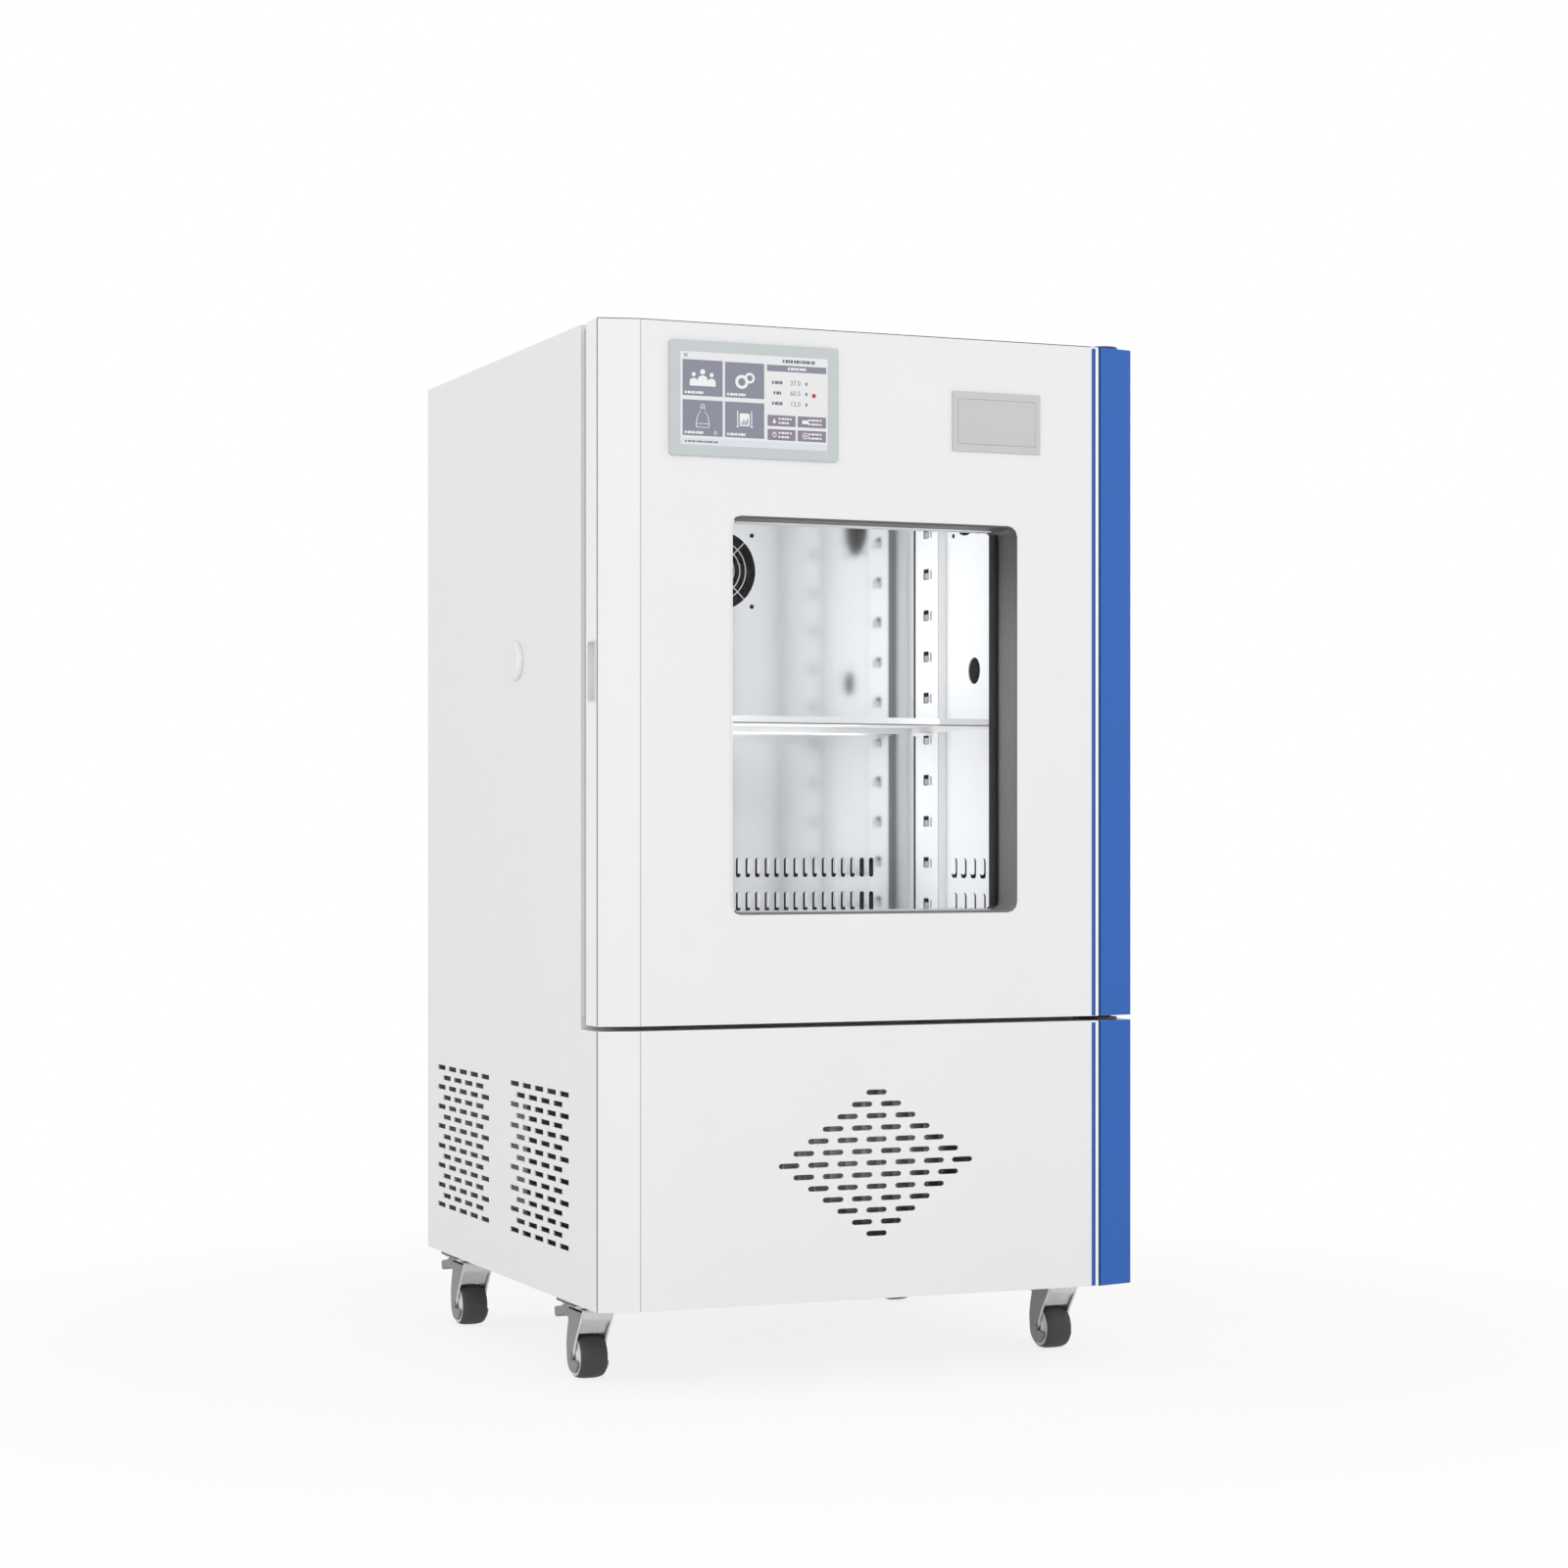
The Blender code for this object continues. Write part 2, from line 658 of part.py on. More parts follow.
def build_lower_front(assembly):
    """Bevelled front of the machine space, its ledge under the door and its diamond of slots."""
    outline = bevel_line(0) + bevel_line(SHEET)[::-1]
    top = level(LOWER_HEIGHT)
    panel = prism("lower_front_panel", [outline], BASE_Z, top)
    ledge_back = depth(CABINET_EDGE - TOUCH_GAP)
    ledge_corners = [(INNER_HALF, ledge_back), (-INNER_HALF, ledge_back)]
    ledge_outline = bevel_line(SHEET / 2, INNER_HALF) + ledge_corners
    assembly.join(panel, prism("lower_front_ledge", [ledge_outline], top - SHEET, top))
    slots = []
    for row in range(1 - DIAMOND_HALF_ROWS, DIAMOND_HALF_ROWS):
        count = DIAMOND_HALF_ROWS - abs(row)
        v = level(DIAMOND_MIDDLE) + row * DIAMOND_ROW_PITCH
        for column in range(count):
            u = (column - (count - 1) / 2) * DIAMOND_SLOT_PITCH
            slots.append(slot((u, v), DIAMOND_SLOT_LENGTH, DIAMOND_SLOT_WIDTH))
    reach = (depth(0) - CUT_MARGIN, depth(SHEET) + CUT_MARGIN)
    assembly.cut(panel, prism("lower_front_slots", slots, *reach, plane="front"))
    assembly.add(panel, "white_powder_coat")
    build_trim(assembly, "lower_trim", BASE_Z, top)


def build_trim(assembly, name, low, high, axis=None):
    """Blue strip along the right bevel of the front, standing a little proud of it."""
    lift = TOUCH_GAP + TRIM_SHEET
    along = Vector((math.cos(BEVEL_ANGLE), math.sin(BEVEL_ANGLE)))
    out = Vector((math.sin(BEVEL_ANGLE), -math.cos(BEVEL_ANGLE)))
    start = Vector((FLAT_HALF, 0)) + along * TRIM_INSET
    length = BEVEL_WIDTH / math.cos(BEVEL_ANGLE) - 2 * TRIM_INSET - lift * math.tan(BEVEL_ANGLE)
    corners = (
        start + out * TOUCH_GAP,
        start + along * length + out * TOUCH_GAP,
        start + along * length + out * lift,
        start + out * lift,
    )
    strip = prism(name, [[(corner.x, depth(corner.y)) for corner in corners]], low, high)
    assembly.add(strip, "blue_trim", axis)


def build_chamber(assembly):
    """Front frame, foam jacket, steel liner, duct panel, shelf uprights and shelf."""
    mouth = rectangle(
        -CHAMBER_HALF_WIDTH, level(CHAMBER_FLOOR), CHAMBER_HALF_WIDTH, level(CHAMBER_CEILING)
    )
    frame_low = level(LOWER_HEIGHT) - FRAME_LAP
    frame_high = TOP_Z - SHEET - TOUCH_GAP
    border = rectangle(-INNER_HALF, frame_low, INNER_HALF, frame_high)
    frame_back = CABINET_EDGE + FRAME_SHEET
    frame = prism("front_frame", [border, mouth], depth(CABINET_EDGE), depth(frame_back), "front")
    assembly.add(frame, "white_powder_coat")

    foam_front = frame_back + TOUCH_GAP
    foam = box(
        "insulation_jacket",
        (-INNER_HALF, depth(foam_front), level(FOAM_FLOOR)),
        (INNER_HALF, depth(BACK_INNER - TOUCH_GAP), frame_high),
    )
    fit = SHEET + TOUCH_GAP
    cavity = box(
        "foam_cavity",
        (-CHAMBER_HALF_WIDTH - fit, depth(foam_front) - CUT_MARGIN, level(CHAMBER_FLOOR) - fit),
        (CHAMBER_HALF_WIDTH + fit, depth(CHAMBER_BACK + TOUCH_GAP), level(CHAMBER_CEILING) + fit),
    )
    port_centre = (depth(PORT_DEPTH), level(PORT_HEIGHT))
    port_reach = (-HALF_WIDTH - CUT_MARGIN, HALF_WIDTH + CUT_MARGIN)
    port = cylinder("port_bore", PORT_RADIUS, port_centre, *port_reach, plane="side")
    assembly.cut(foam, cavity, side_duct_cutter(assembly), port)
    assembly.add(foam, "foam")

    liner = tray(
        "chamber_liner",
        (-CHAMBER_HALF_WIDTH, depth(foam_front), level(CHAMBER_FLOOR)),
        (CHAMBER_HALF_WIDTH, depth(CHAMBER_BACK - SHEET), level(CHAMBER_CEILING)),
        (0, -1, 0),
        SHEET,
    )
    wall_reach = (CHAMBER_HALF_WIDTH - CUT_MARGIN, LINER_OUTER + CUT_MARGIN)
    fan_centre = (depth(SIDE_FAN_DEPTH), level(SIDE_FAN_HEIGHT))
    openings = [circle(fan_centre, SIDE_FAN_OPENING, 20)]
    for height in (VENT_LOW, VENT_HIGH):
        for column in range(SIDE_VENTS):
            u = depth(SIDE_VENT_DEPTH) + (column - (SIDE_VENTS - 1) / 2) * SIDE_VENT_PITCH
            openings.append(slot((u, level(height)), VENT_LENGTH, VENT_WIDTH, upright=True, steps=1))
    assembly.cut(liner, prism("liner_wall_openings", openings, *wall_reach, plane="side"), port)
    assembly.add(liner, "mirror_steel")

    build_duct_panel(assembly)
    for side, side_name in ((-1, "left"), (1, "right")):
        for place, place_name in ((UPRIGHT_FRONT, "front"), (UPRIGHT_REAR, "rear")):
            build_upright(assembly, f"shelf_upright_{side_name}_{place_name}", side, place)
    build_shelf(assembly)


def side_duct_cutter(assembly):
    """Space in the right-hand foam for the side fan and its way down to the low slots."""
    inner = LINER_OUTER - CUT_MARGIN
    outer = LINER_OUTER + SIDE_DUCT_DEPTH
    fan_half = SIDE_FAN_FRAME / 2 + RUNNING_GAP
    vents_half = SIDE_VENTS * SIDE_VENT_PITCH / 2
    fan_low = level(SIDE_FAN_HEIGHT) - fan_half
    vent_top = level(VENT_HIGH) + VENT_LENGTH
    fan_space = box(
        "side_fan_space",
        (inner, depth(SIDE_FAN_DEPTH) - fan_half, fan_low),
        (outer, depth(SIDE_FAN_DEPTH) + fan_half, level(SIDE_FAN_HEIGHT) + fan_half),
    )
    vent_space = box(
        "side_vent_space",
        (inner, depth(SIDE_VENT_DEPTH) - vents_half, level(VENT_LOW) - VENT_LENGTH),
        (outer, depth(SIDE_VENT_DEPTH) + vents_half, vent_top),
    )
    channel = box(
        "side_duct_channel",
        (inner, depth(PORT_DEPTH) + PORT_RADIUS + CUT_MARGIN, vent_top - CUT_MARGIN),
        (outer, depth(SIDE_FAN_DEPTH) + fan_half - CUT_MARGIN, fan_low + CUT_MARGIN),
    )
    return assembly.join(fan_space, vent_space, channel)


def build_duct_panel(assembly):
    """Sheet before the evaporator, with the fan opening and two rows of upright slots."""
    half = CHAMBER_HALF_WIDTH - TOUCH_GAP
    front = depth(DUCT_DEPTH)
    outline = [
        (-half, front),
        (half, front),
        (half, front + DUCT_RETURN),
        (half - SHEET, front + DUCT_RETURN),
        (half - SHEET, front + SHEET),
        (-half + SHEET, front + SHEET),
        (-half + SHEET, front + DUCT_RETURN),
        (-half, front + DUCT_RETURN),
    ]
    panel = prism(
        "duct_panel", [outline], level(CHAMBER_FLOOR) + TOUCH_GAP, level(CHAMBER_CEILING) - TOUCH_GAP
    )
    openings = [circle((0, level(REAR_FAN_HEIGHT)), REAR_FAN_OPENING, 32)]
    for height in (VENT_LOW, VENT_HIGH):
        for column in range(REAR_VENTS):
            u = (column - (REAR_VENTS - 1) / 2) * REAR_VENT_PITCH
            openings.append(slot((u, level(height)), VENT_LENGTH, VENT_WIDTH, upright=True, steps=1))
    reach = (front - CUT_MARGIN, front + SHEET + CUT_MARGIN)
    assembly.cut(panel, prism("duct_panel_openings", openings, *reach, plane="front"))
    assembly.add(panel, "mirror_steel")


def build_upright(assembly, name, side, place):
    """Hat-section shelf upright against a side wall, with its hook slots and a shelf clip."""
    wall = CHAMBER_HALF_WIDTH - TOUCH_GAP
    web = CHAMBER_HALF_WIDTH - UPRIGHT_PROUD
    half_foot = UPRIGHT_WIDTH / 2
    half_web = UPRIGHT_WEB / 2
    section = [
        (wall, -half_foot),
        (wall - SHEET, -half_foot),
        (wall - SHEET, -half_web),
        (web, -half_web),
        (web, half_web),
        (wall - SHEET, half_web),
        (wall - SHEET, half_foot),
        (wall, half_foot),
        (wall, half_web - SHEET),
        (web + SHEET, half_web - SHEET),
        (web + SHEET, -half_web + SHEET),
        (wall, -half_web + SHEET),
    ]
    outline = [(side * x, depth(place) + y) for x, y in section]
    low = level(CHAMBER_FLOOR) + TOUCH_GAP
    upright = prism(name, [outline], low, level(CHAMBER_CEILING) - TOUCH_GAP)
    slots = []
    for row in range(UPRIGHT_SLOTS):
        v = level(UPRIGHT_TOP_SLOT) - row * UPRIGHT_SLOT_PITCH
        slots.append(centred_rectangle(depth(place), v, UPRIGHT_SLOT_WIDTH, UPRIGHT_SLOT_HEIGHT))
    reach = sorted((side * (web - CUT_MARGIN), side * (web + SHEET + CUT_MARGIN)))
    assembly.cut(upright, prism(name + "_slots", slots, *reach, plane="side"))
    clip_top = level(SHELF_HEIGHT) - SHELF_FLANGE - TOUCH_GAP
    clip_reach = sorted((side * (web - CLIP_PROUD), side * (web + SHEET / 2)))
    clip = box(
        name + "_clip",
        (clip_reach[0], depth(place) - half_web / 2, clip_top - CLIP_THICKNESS),
        (clip_reach[1], depth(place) + half_web / 2, clip_top),
    )
    assembly.join(upright, clip)
    assembly.add(upright, "brushed_steel")


def build_shelf(assembly):
    """Slotted sheet shelf with turned-down edges, resting on the clips of the uprights."""
    half = CHAMBER_HALF_WIDTH - UPRIGHT_PROUD - TOUCH_GAP
    top = level(SHELF_HEIGHT)
    low = (-half + SHEET, depth(SHELF_FRONT) + SHEET, top - SHELF_FLANGE)
    high = (half - SHEET, depth(SHELF_BACK) - SHEET, top - SHEET)
    shelf = tray("shelf", low, high, (0, 0, -1), SHEET)
    slots = []
    for column in range(SHELF_SLOT_COLUMNS):
        u = (column - (SHELF_SLOT_COLUMNS - 1) / 2) * 2 * half / (SHELF_SLOT_COLUMNS + 0.2)
        for row in range(SHELF_SLOT_ROWS):
            span = (SHELF_BACK - SHELF_FRONT) / (SHELF_SLOT_ROWS + 0.5)
            v = depth((SHELF_FRONT + SHELF_BACK) / 2) + (row - (SHELF_SLOT_ROWS - 1) / 2) * span
            slots.append(centred_rectangle(u, v, SHELF_SLOT_LENGTH, SHELF_SLOT_WIDTH))
    assembly.cut(shelf, prism("shelf_slots", slots, top - SHEET - CUT_MARGIN / 2, top + CUT_MARGIN))
    assembly.add(shelf, "brushed_steel")


def fan_frame(assembly, name, size, opening, screws, thickness, place):
    """Square fan housing with its round duct, corner holes and the spider that holds the motor.

    The fan blows along the Z axis of its place, and the housing stands on that axis's origin.
    """
    holes = [circle((0, 0), opening / math.cos(math.pi / DUCT_SIDES), DUCT_SIDES)]
    for u in (-screws / 2, screws / 2):
        for v in (-screws / 2, screws / 2):
            holes.append(circle((u, v), SCREW_HOLE, 4))
    half = size / 2
    housing = prism(name, [rounded_rectangle(-half, -half, half, half, size * 0.05, 1)] + holes, 0, thickness)
    hub = opening * HUB_SHARE
    mount_low = thickness - MOTOR_MOUNT
    mount = cylinder(name + "_motor_mount", hub, (0, 0), mount_low, thickness - TOUCH_GAP)
    arm = MOTOR_MOUNT / 2
    reach = opening + arm
    cross = [(arm, arm), (arm, reach), (-arm, reach), (-arm, arm), (-reach, arm), (-reach, -arm)]
    cross += [(-u, -v) for u, v in cross]
    spider = prism(name + "_spider", [cross], mount_low + arm / 2, thickness - arm / 2)
    tools = (mount, spider)
    for item in (housing, *tools):
        item.matrix_world = place @ item.matrix_world
    return assembly.join(housing, *tools)


def fan_rotor(assembly, name, opening, thickness, place):
    """Hub with twisted blades, in the duct of a fan housing with the same place."""
    hub_radius = opening * HUB_SHARE
    top = thickness - MOTOR_MOUNT - TOUCH_GAP
    low = RUNNING_GAP
    height = top - low
    hub = cylinder(name, hub_radius, (0, 0), low, top, sides=16)
    root = (hub_radius * 0.9, ROOT_PITCH, height * 0.40)
    tip = (opening - RUNNING_GAP, TIP_PITCH, height * 0.50)
    shape = bmesh.new()
    for blade in range(FAN_BLADES):
        made = bmesh.ops.create_cube(shape, size=1)["verts"]
        for vertex in made:
            reach, pitch, half_chord = tip if vertex.co.x > 0 else root
            across = vertex.co.y * BLADE_THICKNESS
            along = math.copysign(half_chord, vertex.co.z)
            y = across * math.cos(pitch) - along * math.sin(pitch)
            z = across * math.sin(pitch) + along * math.cos(pitch)
            vertex.co = (math.sqrt(reach * reach - y * y), y, z + (low + top) / 2)
        turn = Matrix.Rotation(2 * math.pi * blade / FAN_BLADES, 4, "Z")
        bmesh.ops.transform(shape, matrix=turn, verts=made)
    blades = object_of(name + "_blades", shape, Matrix.Identity(4))
    for item in (hub, blades):
        item.matrix_world = place @ item.matrix_world
    return assembly.join(hub, blades)


def build_fans(assembly):
    """Rear and side circulation fans with the rear fan's wire guard."""
    behind_panel = DUCT_DEPTH + SHEET + TOUCH_GAP
    guard_y = behind_panel + GUARD_WIRE / 2
    rear_place = Matrix.Translation((0, depth(behind_panel + GUARD_WIRE + TOUCH_GAP), level(REAR_FAN_HEIGHT)))
    rear_place = rear_place @ Matrix.Rotation(math.radians(-90), 4, "X")
    frame = fan_frame(
        assembly,
        "rear_fan_frame",
        REAR_FAN_FRAME,
        REAR_FAN_OPENING - RUNNING_GAP,
        REAR_FAN_SCREWS,
        REAR_FAN_THICKNESS,
        rear_place,
    )
    assembly.add(frame, "black_plastic")
    rotor = fan_rotor(
        assembly, "rear_fan_rotor", REAR_FAN_OPENING - RUNNING_GAP, REAR_FAN_THICKNESS, rear_place
    )
    assembly.add(rotor, "black_plastic", assembly.axis("rear_fan_axis", rear_place.translation))

    guard_place = Matrix.Translation((0, depth(guard_y), level(REAR_FAN_HEIGHT))) @ PLANES["front"]
    rings = []
    for radius in GUARD_RINGS:
        points = [(u, v, 0) for u, v in circle((0, 0), radius, 16)]
        rings.append(wire(f"guard_ring_{len(rings)}", points, GUARD_WIRE, guard_place, cyclic=True))
    arm_reach = REAR_FAN_SCREWS / math.sqrt(2) - SCREW_HOLE
    half_wire = GUARD_WIRE * 0.4
    arms = []
    for angle in (45, 135):
        low = (-arm_reach, -half_wire, -half_wire)
        arm = box(f"rear_fan_guard_arm_{angle}", low, (arm_reach, half_wire, half_wire))
        arm.matrix_world = guard_place @ Matrix.Rotation(math.radians(angle), 4, "Z") @ arm.matrix_world
        arms.append(arm)
    guard = rings.pop()
    guard.name = "rear_fan_guard"
    assembly.join(guard, *rings, *arms)
    assembly.add(guard, "brushed_steel")

    side_x = LINER_OUTER + TOUCH_GAP
    side_place = Matrix.Translation((side_x, depth(SIDE_FAN_DEPTH), level(SIDE_FAN_HEIGHT)))
    side_place = side_place @ Matrix.Rotation(math.radians(90), 4, "Y")
    sizes = (SIDE_FAN_OPENING - RUNNING_GAP, SIDE_FAN_THICKNESS)
    frame = fan_frame(
        assembly, "side_fan_frame", SIDE_FAN_FRAME, sizes[0], SIDE_FAN_SCREWS, sizes[1], side_place
    )
    assembly.add(frame, "black_plastic")
    rotor = fan_rotor(assembly, "side_fan_rotor", *sizes, side_place)
    assembly.add(rotor, "black_plastic", assembly.axis("side_fan_axis", side_place.translation))


def comb(name, width, front, thickness, low, high, fins, spine):
    """Finned block: upright fins that point forward from a spine at their back."""
    pitch = (width - FIN) / (fins - 1)
    left = -width / 2
    back = front + thickness
    points = [(left, back), (left, front)]
    for index in range(fins):
        start = left + index * pitch
        if index:
            points += [(start, back - spine), (start, front)]
        points.append((start + FIN, front))
        if index < fins - 1:
            points.append((start + FIN, back - spine))
    points.append((left + width, back))
    return prism(name, [points], low, high)


def build_cold_side(assembly):
    """Evaporator and heater behind the duct panel."""
    back = depth(CHAMBER_BACK - SHEET - TOUCH_GAP)
    front = depth(EVAPORATOR_FRONT)
    evaporator = comb(
        "evaporator",
        EVAPORATOR_WIDTH,
        front,
        back - front,
        level(EVAPORATOR_LOW),
        level(EVAPORATOR_HIGH),
        EVAPORATOR_FINS,
        (back - front) / 3,
    )
    assembly.add(evaporator, "aluminium_fin")

    tube_y = EVAPORATOR_FRONT - TOUCH_GAP - HEATER_TUBE / 2
    bend = (HEATER_HIGH - HEATER_LOW) / 4
    path = [(HEATER_HALF_WIDTH, HEATER_LOW)]
    path += arc((-HEATER_HALF_WIDTH, HEATER_LOW + bend), bend, -90, -270, 6)
    path += arc((HEATER_HALF_WIDTH, HEATER_LOW + 3 * bend), bend, -90, 90, 6)
    path.append((-HEATER_HALF_WIDTH, HEATER_HIGH))
    points = [(x, depth(tube_y), level(z)) for x, z in path]
    heater = wire("heater_element", points, HEATER_TUBE, Matrix.Identity(4))
    assembly.add(heater, "brushed_steel", smooth=True)


def build_machine_space(assembly):
    """Compressor, condenser with its fan, control box and mains inlet."""
    floor = BASE_Z + SHEET + TOUCH_GAP
    radius = COMPRESSOR_RADIUS
    top = COMPRESSOR_HEIGHT
    profile = [(0, top)]
    profile += [(radius * 0.93 * math.cos(a), top - radius * 0.5 * (1 - math.sin(a)))
                for a in (math.radians(d) for d in (68, 45, 22, 4))]
    weld_height = top * 0.50
    profile += [
        (radius * 0.93, weld_height + 0.004),
        (radius, weld_height + 0.003),
        (radius, weld_height - 0.003),
        (radius * 0.95, weld_height - 0.004),
        (radius * 0.95, 0.020),
        (radius * 0.70, 0.002),
        (0, 0.002),
    ]
    place = Matrix.Translation((COMPRESSOR_X, depth(COMPRESSOR_DEPTH), floor))
    compressor = turned("compressor", profile, place, 16)
    half_foot = COMPRESSOR_FOOT / 2
    foot = box("compressor_feet", (-half_foot, -half_foot, 0), (half_foot, half_foot, 0.004))
    foot.matrix_world = place @ foot.matrix_world
    assembly.join(compressor, foot)
    assembly.add(compressor, "black_enamel")

    low = floor
    condenser = comb(
        "condenser",
        CONDENSER_WIDTH,
        depth(CONDENSER_FRONT),
        CONDENSER_THICKNESS,
        low,
        low + CONDENSER_HEIGHT,
        CONDENSER_FINS,
        CONDENSER_THICKNESS / 3,
    )
    assembly.add(condenser, "aluminium_fin")

    fan_y = depth(CONDENSER_FRONT + CONDENSER_THICKNESS + TOUCH_GAP)
    fan_place = Matrix.Translation((0, fan_y, low + CONDENSER_FAN_FRAME / 2))
    fan_place = fan_place @ Matrix.Rotation(math.radians(-90), 4, "X")
    sizes = (CONDENSER_FAN_OPENING, CONDENSER_FAN_THICKNESS)
    frame = fan_frame(
        assembly,
        "condenser_fan_frame",
        CONDENSER_FAN_FRAME,
        sizes[0],
        CONDENSER_FAN_SCREWS,
        sizes[1],
        fan_place,
    )
    assembly.add(frame, "black_plastic")
    rotor = fan_rotor(assembly, "condenser_fan_rotor", *sizes, fan_place)
    assembly.add(rotor, "black_plastic", assembly.axis("condenser_fan_axis", fan_place.translation))

    width, thick, tall = CONTROL_BOX
    control_back = depth(CONTROL_BOX_DEPTH) + thick / 2
    control = box(
        "control_box",
        (CONTROL_BOX_X - width / 2, control_back - thick, floor),
        (CONTROL_BOX_X + width / 2, control_back, floor + tall),
    )
    assembly.add(control, "zinc_plate")
    build_inlet(assembly)


def build_inlet(assembly):
    """Mains inlet: a flange outside the back panel, a body through it and a socket with its mouth out."""
    panel_outer = depth(BODY_DEPTH - SHEET - TOUCH_GAP)
    flange_low = panel_outer + TOUCH_GAP
    flange_high = depth(BODY_DEPTH + INLET_PROUD)
    centre = (INLET_X, level(INLET_HEIGHT))
    flange = prism(
        "mains_inlet",
        [centred_rectangle(*centre, INLET_WIDTH, INLET_TALL)],
        flange_low,
        flange_high,
        "front",
    )
    body = prism(
        "mains_inlet_body",
        [centred_rectangle(*centre, *INLET_BODY)],
        flange_high - INLET_LENGTH,
        flange_high - CUT_MARGIN / 5,
        "front",
    )
    mouth = [centred_rectangle(*centre, *SOCKET)]
    socket = prism(
        "mains_inlet_socket", mouth, flange_high - SOCKET_DEPTH, flange_high + CUT_MARGIN, "front"
    )
    assembly.join(flange, body)
    assembly.cut(flange, socket)
    assembly.add(flange, "black_plastic")


def build_port_plugs(assembly):
    """Stoppers of the test ports, each pulled straight out of its side."""
    for side, name in ((-1, "port_plug_left"), (1, "port_plug_right")):
        stem = PORT_RADIUS - RUNNING_GAP / 2
        seat = HALF_WIDTH + TOUCH_GAP
        profile = [
            (0, PLUG_FLANGE),
            (PLUG_FLANGE_RADIUS * 0.85, PLUG_FLANGE),
            (PLUG_FLANGE_RADIUS, PLUG_FLANGE * 0.6),
            (PLUG_FLANGE_RADIUS, 0),
            (stem, 0),
            (stem, -PLUG_LENGTH + 0.002),
            (stem - 0.002, -PLUG_LENGTH),
            (0, -PLUG_LENGTH),
        ]
        place = Matrix.Translation((side * seat, depth(PORT_DEPTH), level(PORT_HEIGHT)))
        turn = Matrix.Rotation(math.radians(90 * side), 4, "Y")
        plug = turned(name, profile, place @ turn, 16)
        assembly.add(plug, "white_plastic", assembly.axis(name + "_axis", place.translation), smooth=True)


def build_hinges(assembly):
    """Hinge plate on the roof and bracket on the ledge, each with a pin into the door."""
    pin_centre = (HINGE_X, depth(HINGE_DEPTH))
    half = HINGE_PLATE_WIDTH / 2
    back = depth(HINGE_PLATE_DEPTH)
    tongue = arc(pin_centre, half, 180, 360, 8)
    outline = tongue + [(HINGE_X + half, back), (HINGE_X - half, back)]
    top_low = TOP_Z + TOUCH_GAP
    upper = prism("upper_hinge", [outline], top_low, top_low + HINGE_PLATE)
    upper_pin = cylinder(
        "upper_hinge_pin", HINGE_PIN, pin_centre, TOP_Z - HINGE_PIN_LENGTH, top_low + HINGE_PLATE / 2
    )
    assembly.join(upper, upper_pin)
    assembly.add(upper, "zinc_plate")

    low = level(LOWER_HEIGHT) + TOUCH_GAP
    back = depth(CABINET_EDGE - TOUCH_GAP)
    outline = tongue + [(HINGE_X + half, back), (HINGE_X - half, back)]
    lower = prism("lower_hinge", [outline], low, low + HINGE_PLATE)
    lower_pin = cylinder(
        "lower_hinge_pin",
        HINGE_PIN,
        pin_centre,
        low + HINGE_PLATE / 2,
        level(DOOR_BOTTOM) + HINGE_PIN_LENGTH,
    )
    washer = cylinder(
        "lower_hinge_washer",
        HINGE_PIN * WASHER_SHARE,
        pin_centre,
        low + HINGE_PLATE / 2,
        level(DOOR_BOTTOM) - TOUCH_GAP,
    )
    assembly.join(lower, lower_pin, washer)
    assembly.add(lower, "zinc_plate")


def build_door(assembly):
    """Everything that swings: fascia, insulated body, window, seal, handle, screen and printer."""
    axis = assembly.axis("door_axis", (HINGE_X, depth(HINGE_DEPTH), level(DOOR_BOTTOM)))
    low = level(DOOR_BOTTOM)
    through = (depth(0) - CUT_MARGIN, depth(DOOR_THICKNESS + PLATEAU_DEPTH) + CUT_MARGIN)
    window_hole = prism(
        "window_hole", [window_outline(REVEAL_WALL + TOUCH_GAP)], *through, plane="front"
    )
    screen_centre = (BEZEL_X, level(BEZEL_Z))
    printer_centre = (PRINTER_X, level(PRINTER_Z))
    screen_pocket = prism(
        "screen_pocket",
        [centred_rectangle(*screen_centre, DISPLAY_WIDTH + 2 * TOUCH_GAP, DISPLAY_HEIGHT + 2 * TOUCH_GAP)],
        depth(0) - CUT_MARGIN,
        depth(DISPLAY_BODY + TOUCH_GAP),
        "front",
    )
    bay_width = PRINTER_BAY_WIDTH + 2 * PRINTER_WALL + 2 * TOUCH_GAP
    bay_height = PRINTER_BAY_HEIGHT + 2 * PRINTER_WALL + 2 * TOUCH_GAP
    printer_pocket = prism(
        "printer_pocket",
        [centred_rectangle(*printer_centre, bay_width, bay_height)],
        depth(0) - CUT_MARGIN,
        depth(PRINTER_BAY_DEPTH + PRINTER_WALL + TOUCH_GAP),
        "front",
    )

    fascia = prism("door_panel", [bevel_line(0) + bevel_line(SHEET)[::-1]], low, TOP_Z)
    assembly.cut(fascia, window_hole, screen_pocket, printer_pocket)
    assembly.add(fascia, "white_powder_coat", axis)
    build_trim(assembly, "door_trim", low, TOP_Z, axis)

    build_door_body(assembly, axis, window_hole, screen_pocket, printer_pocket)
    build_window(assembly, axis)
    build_seal(assembly, axis)
    build_screen(assembly, axis, screen_centre)
    build_printer(assembly, axis, printer_centre)


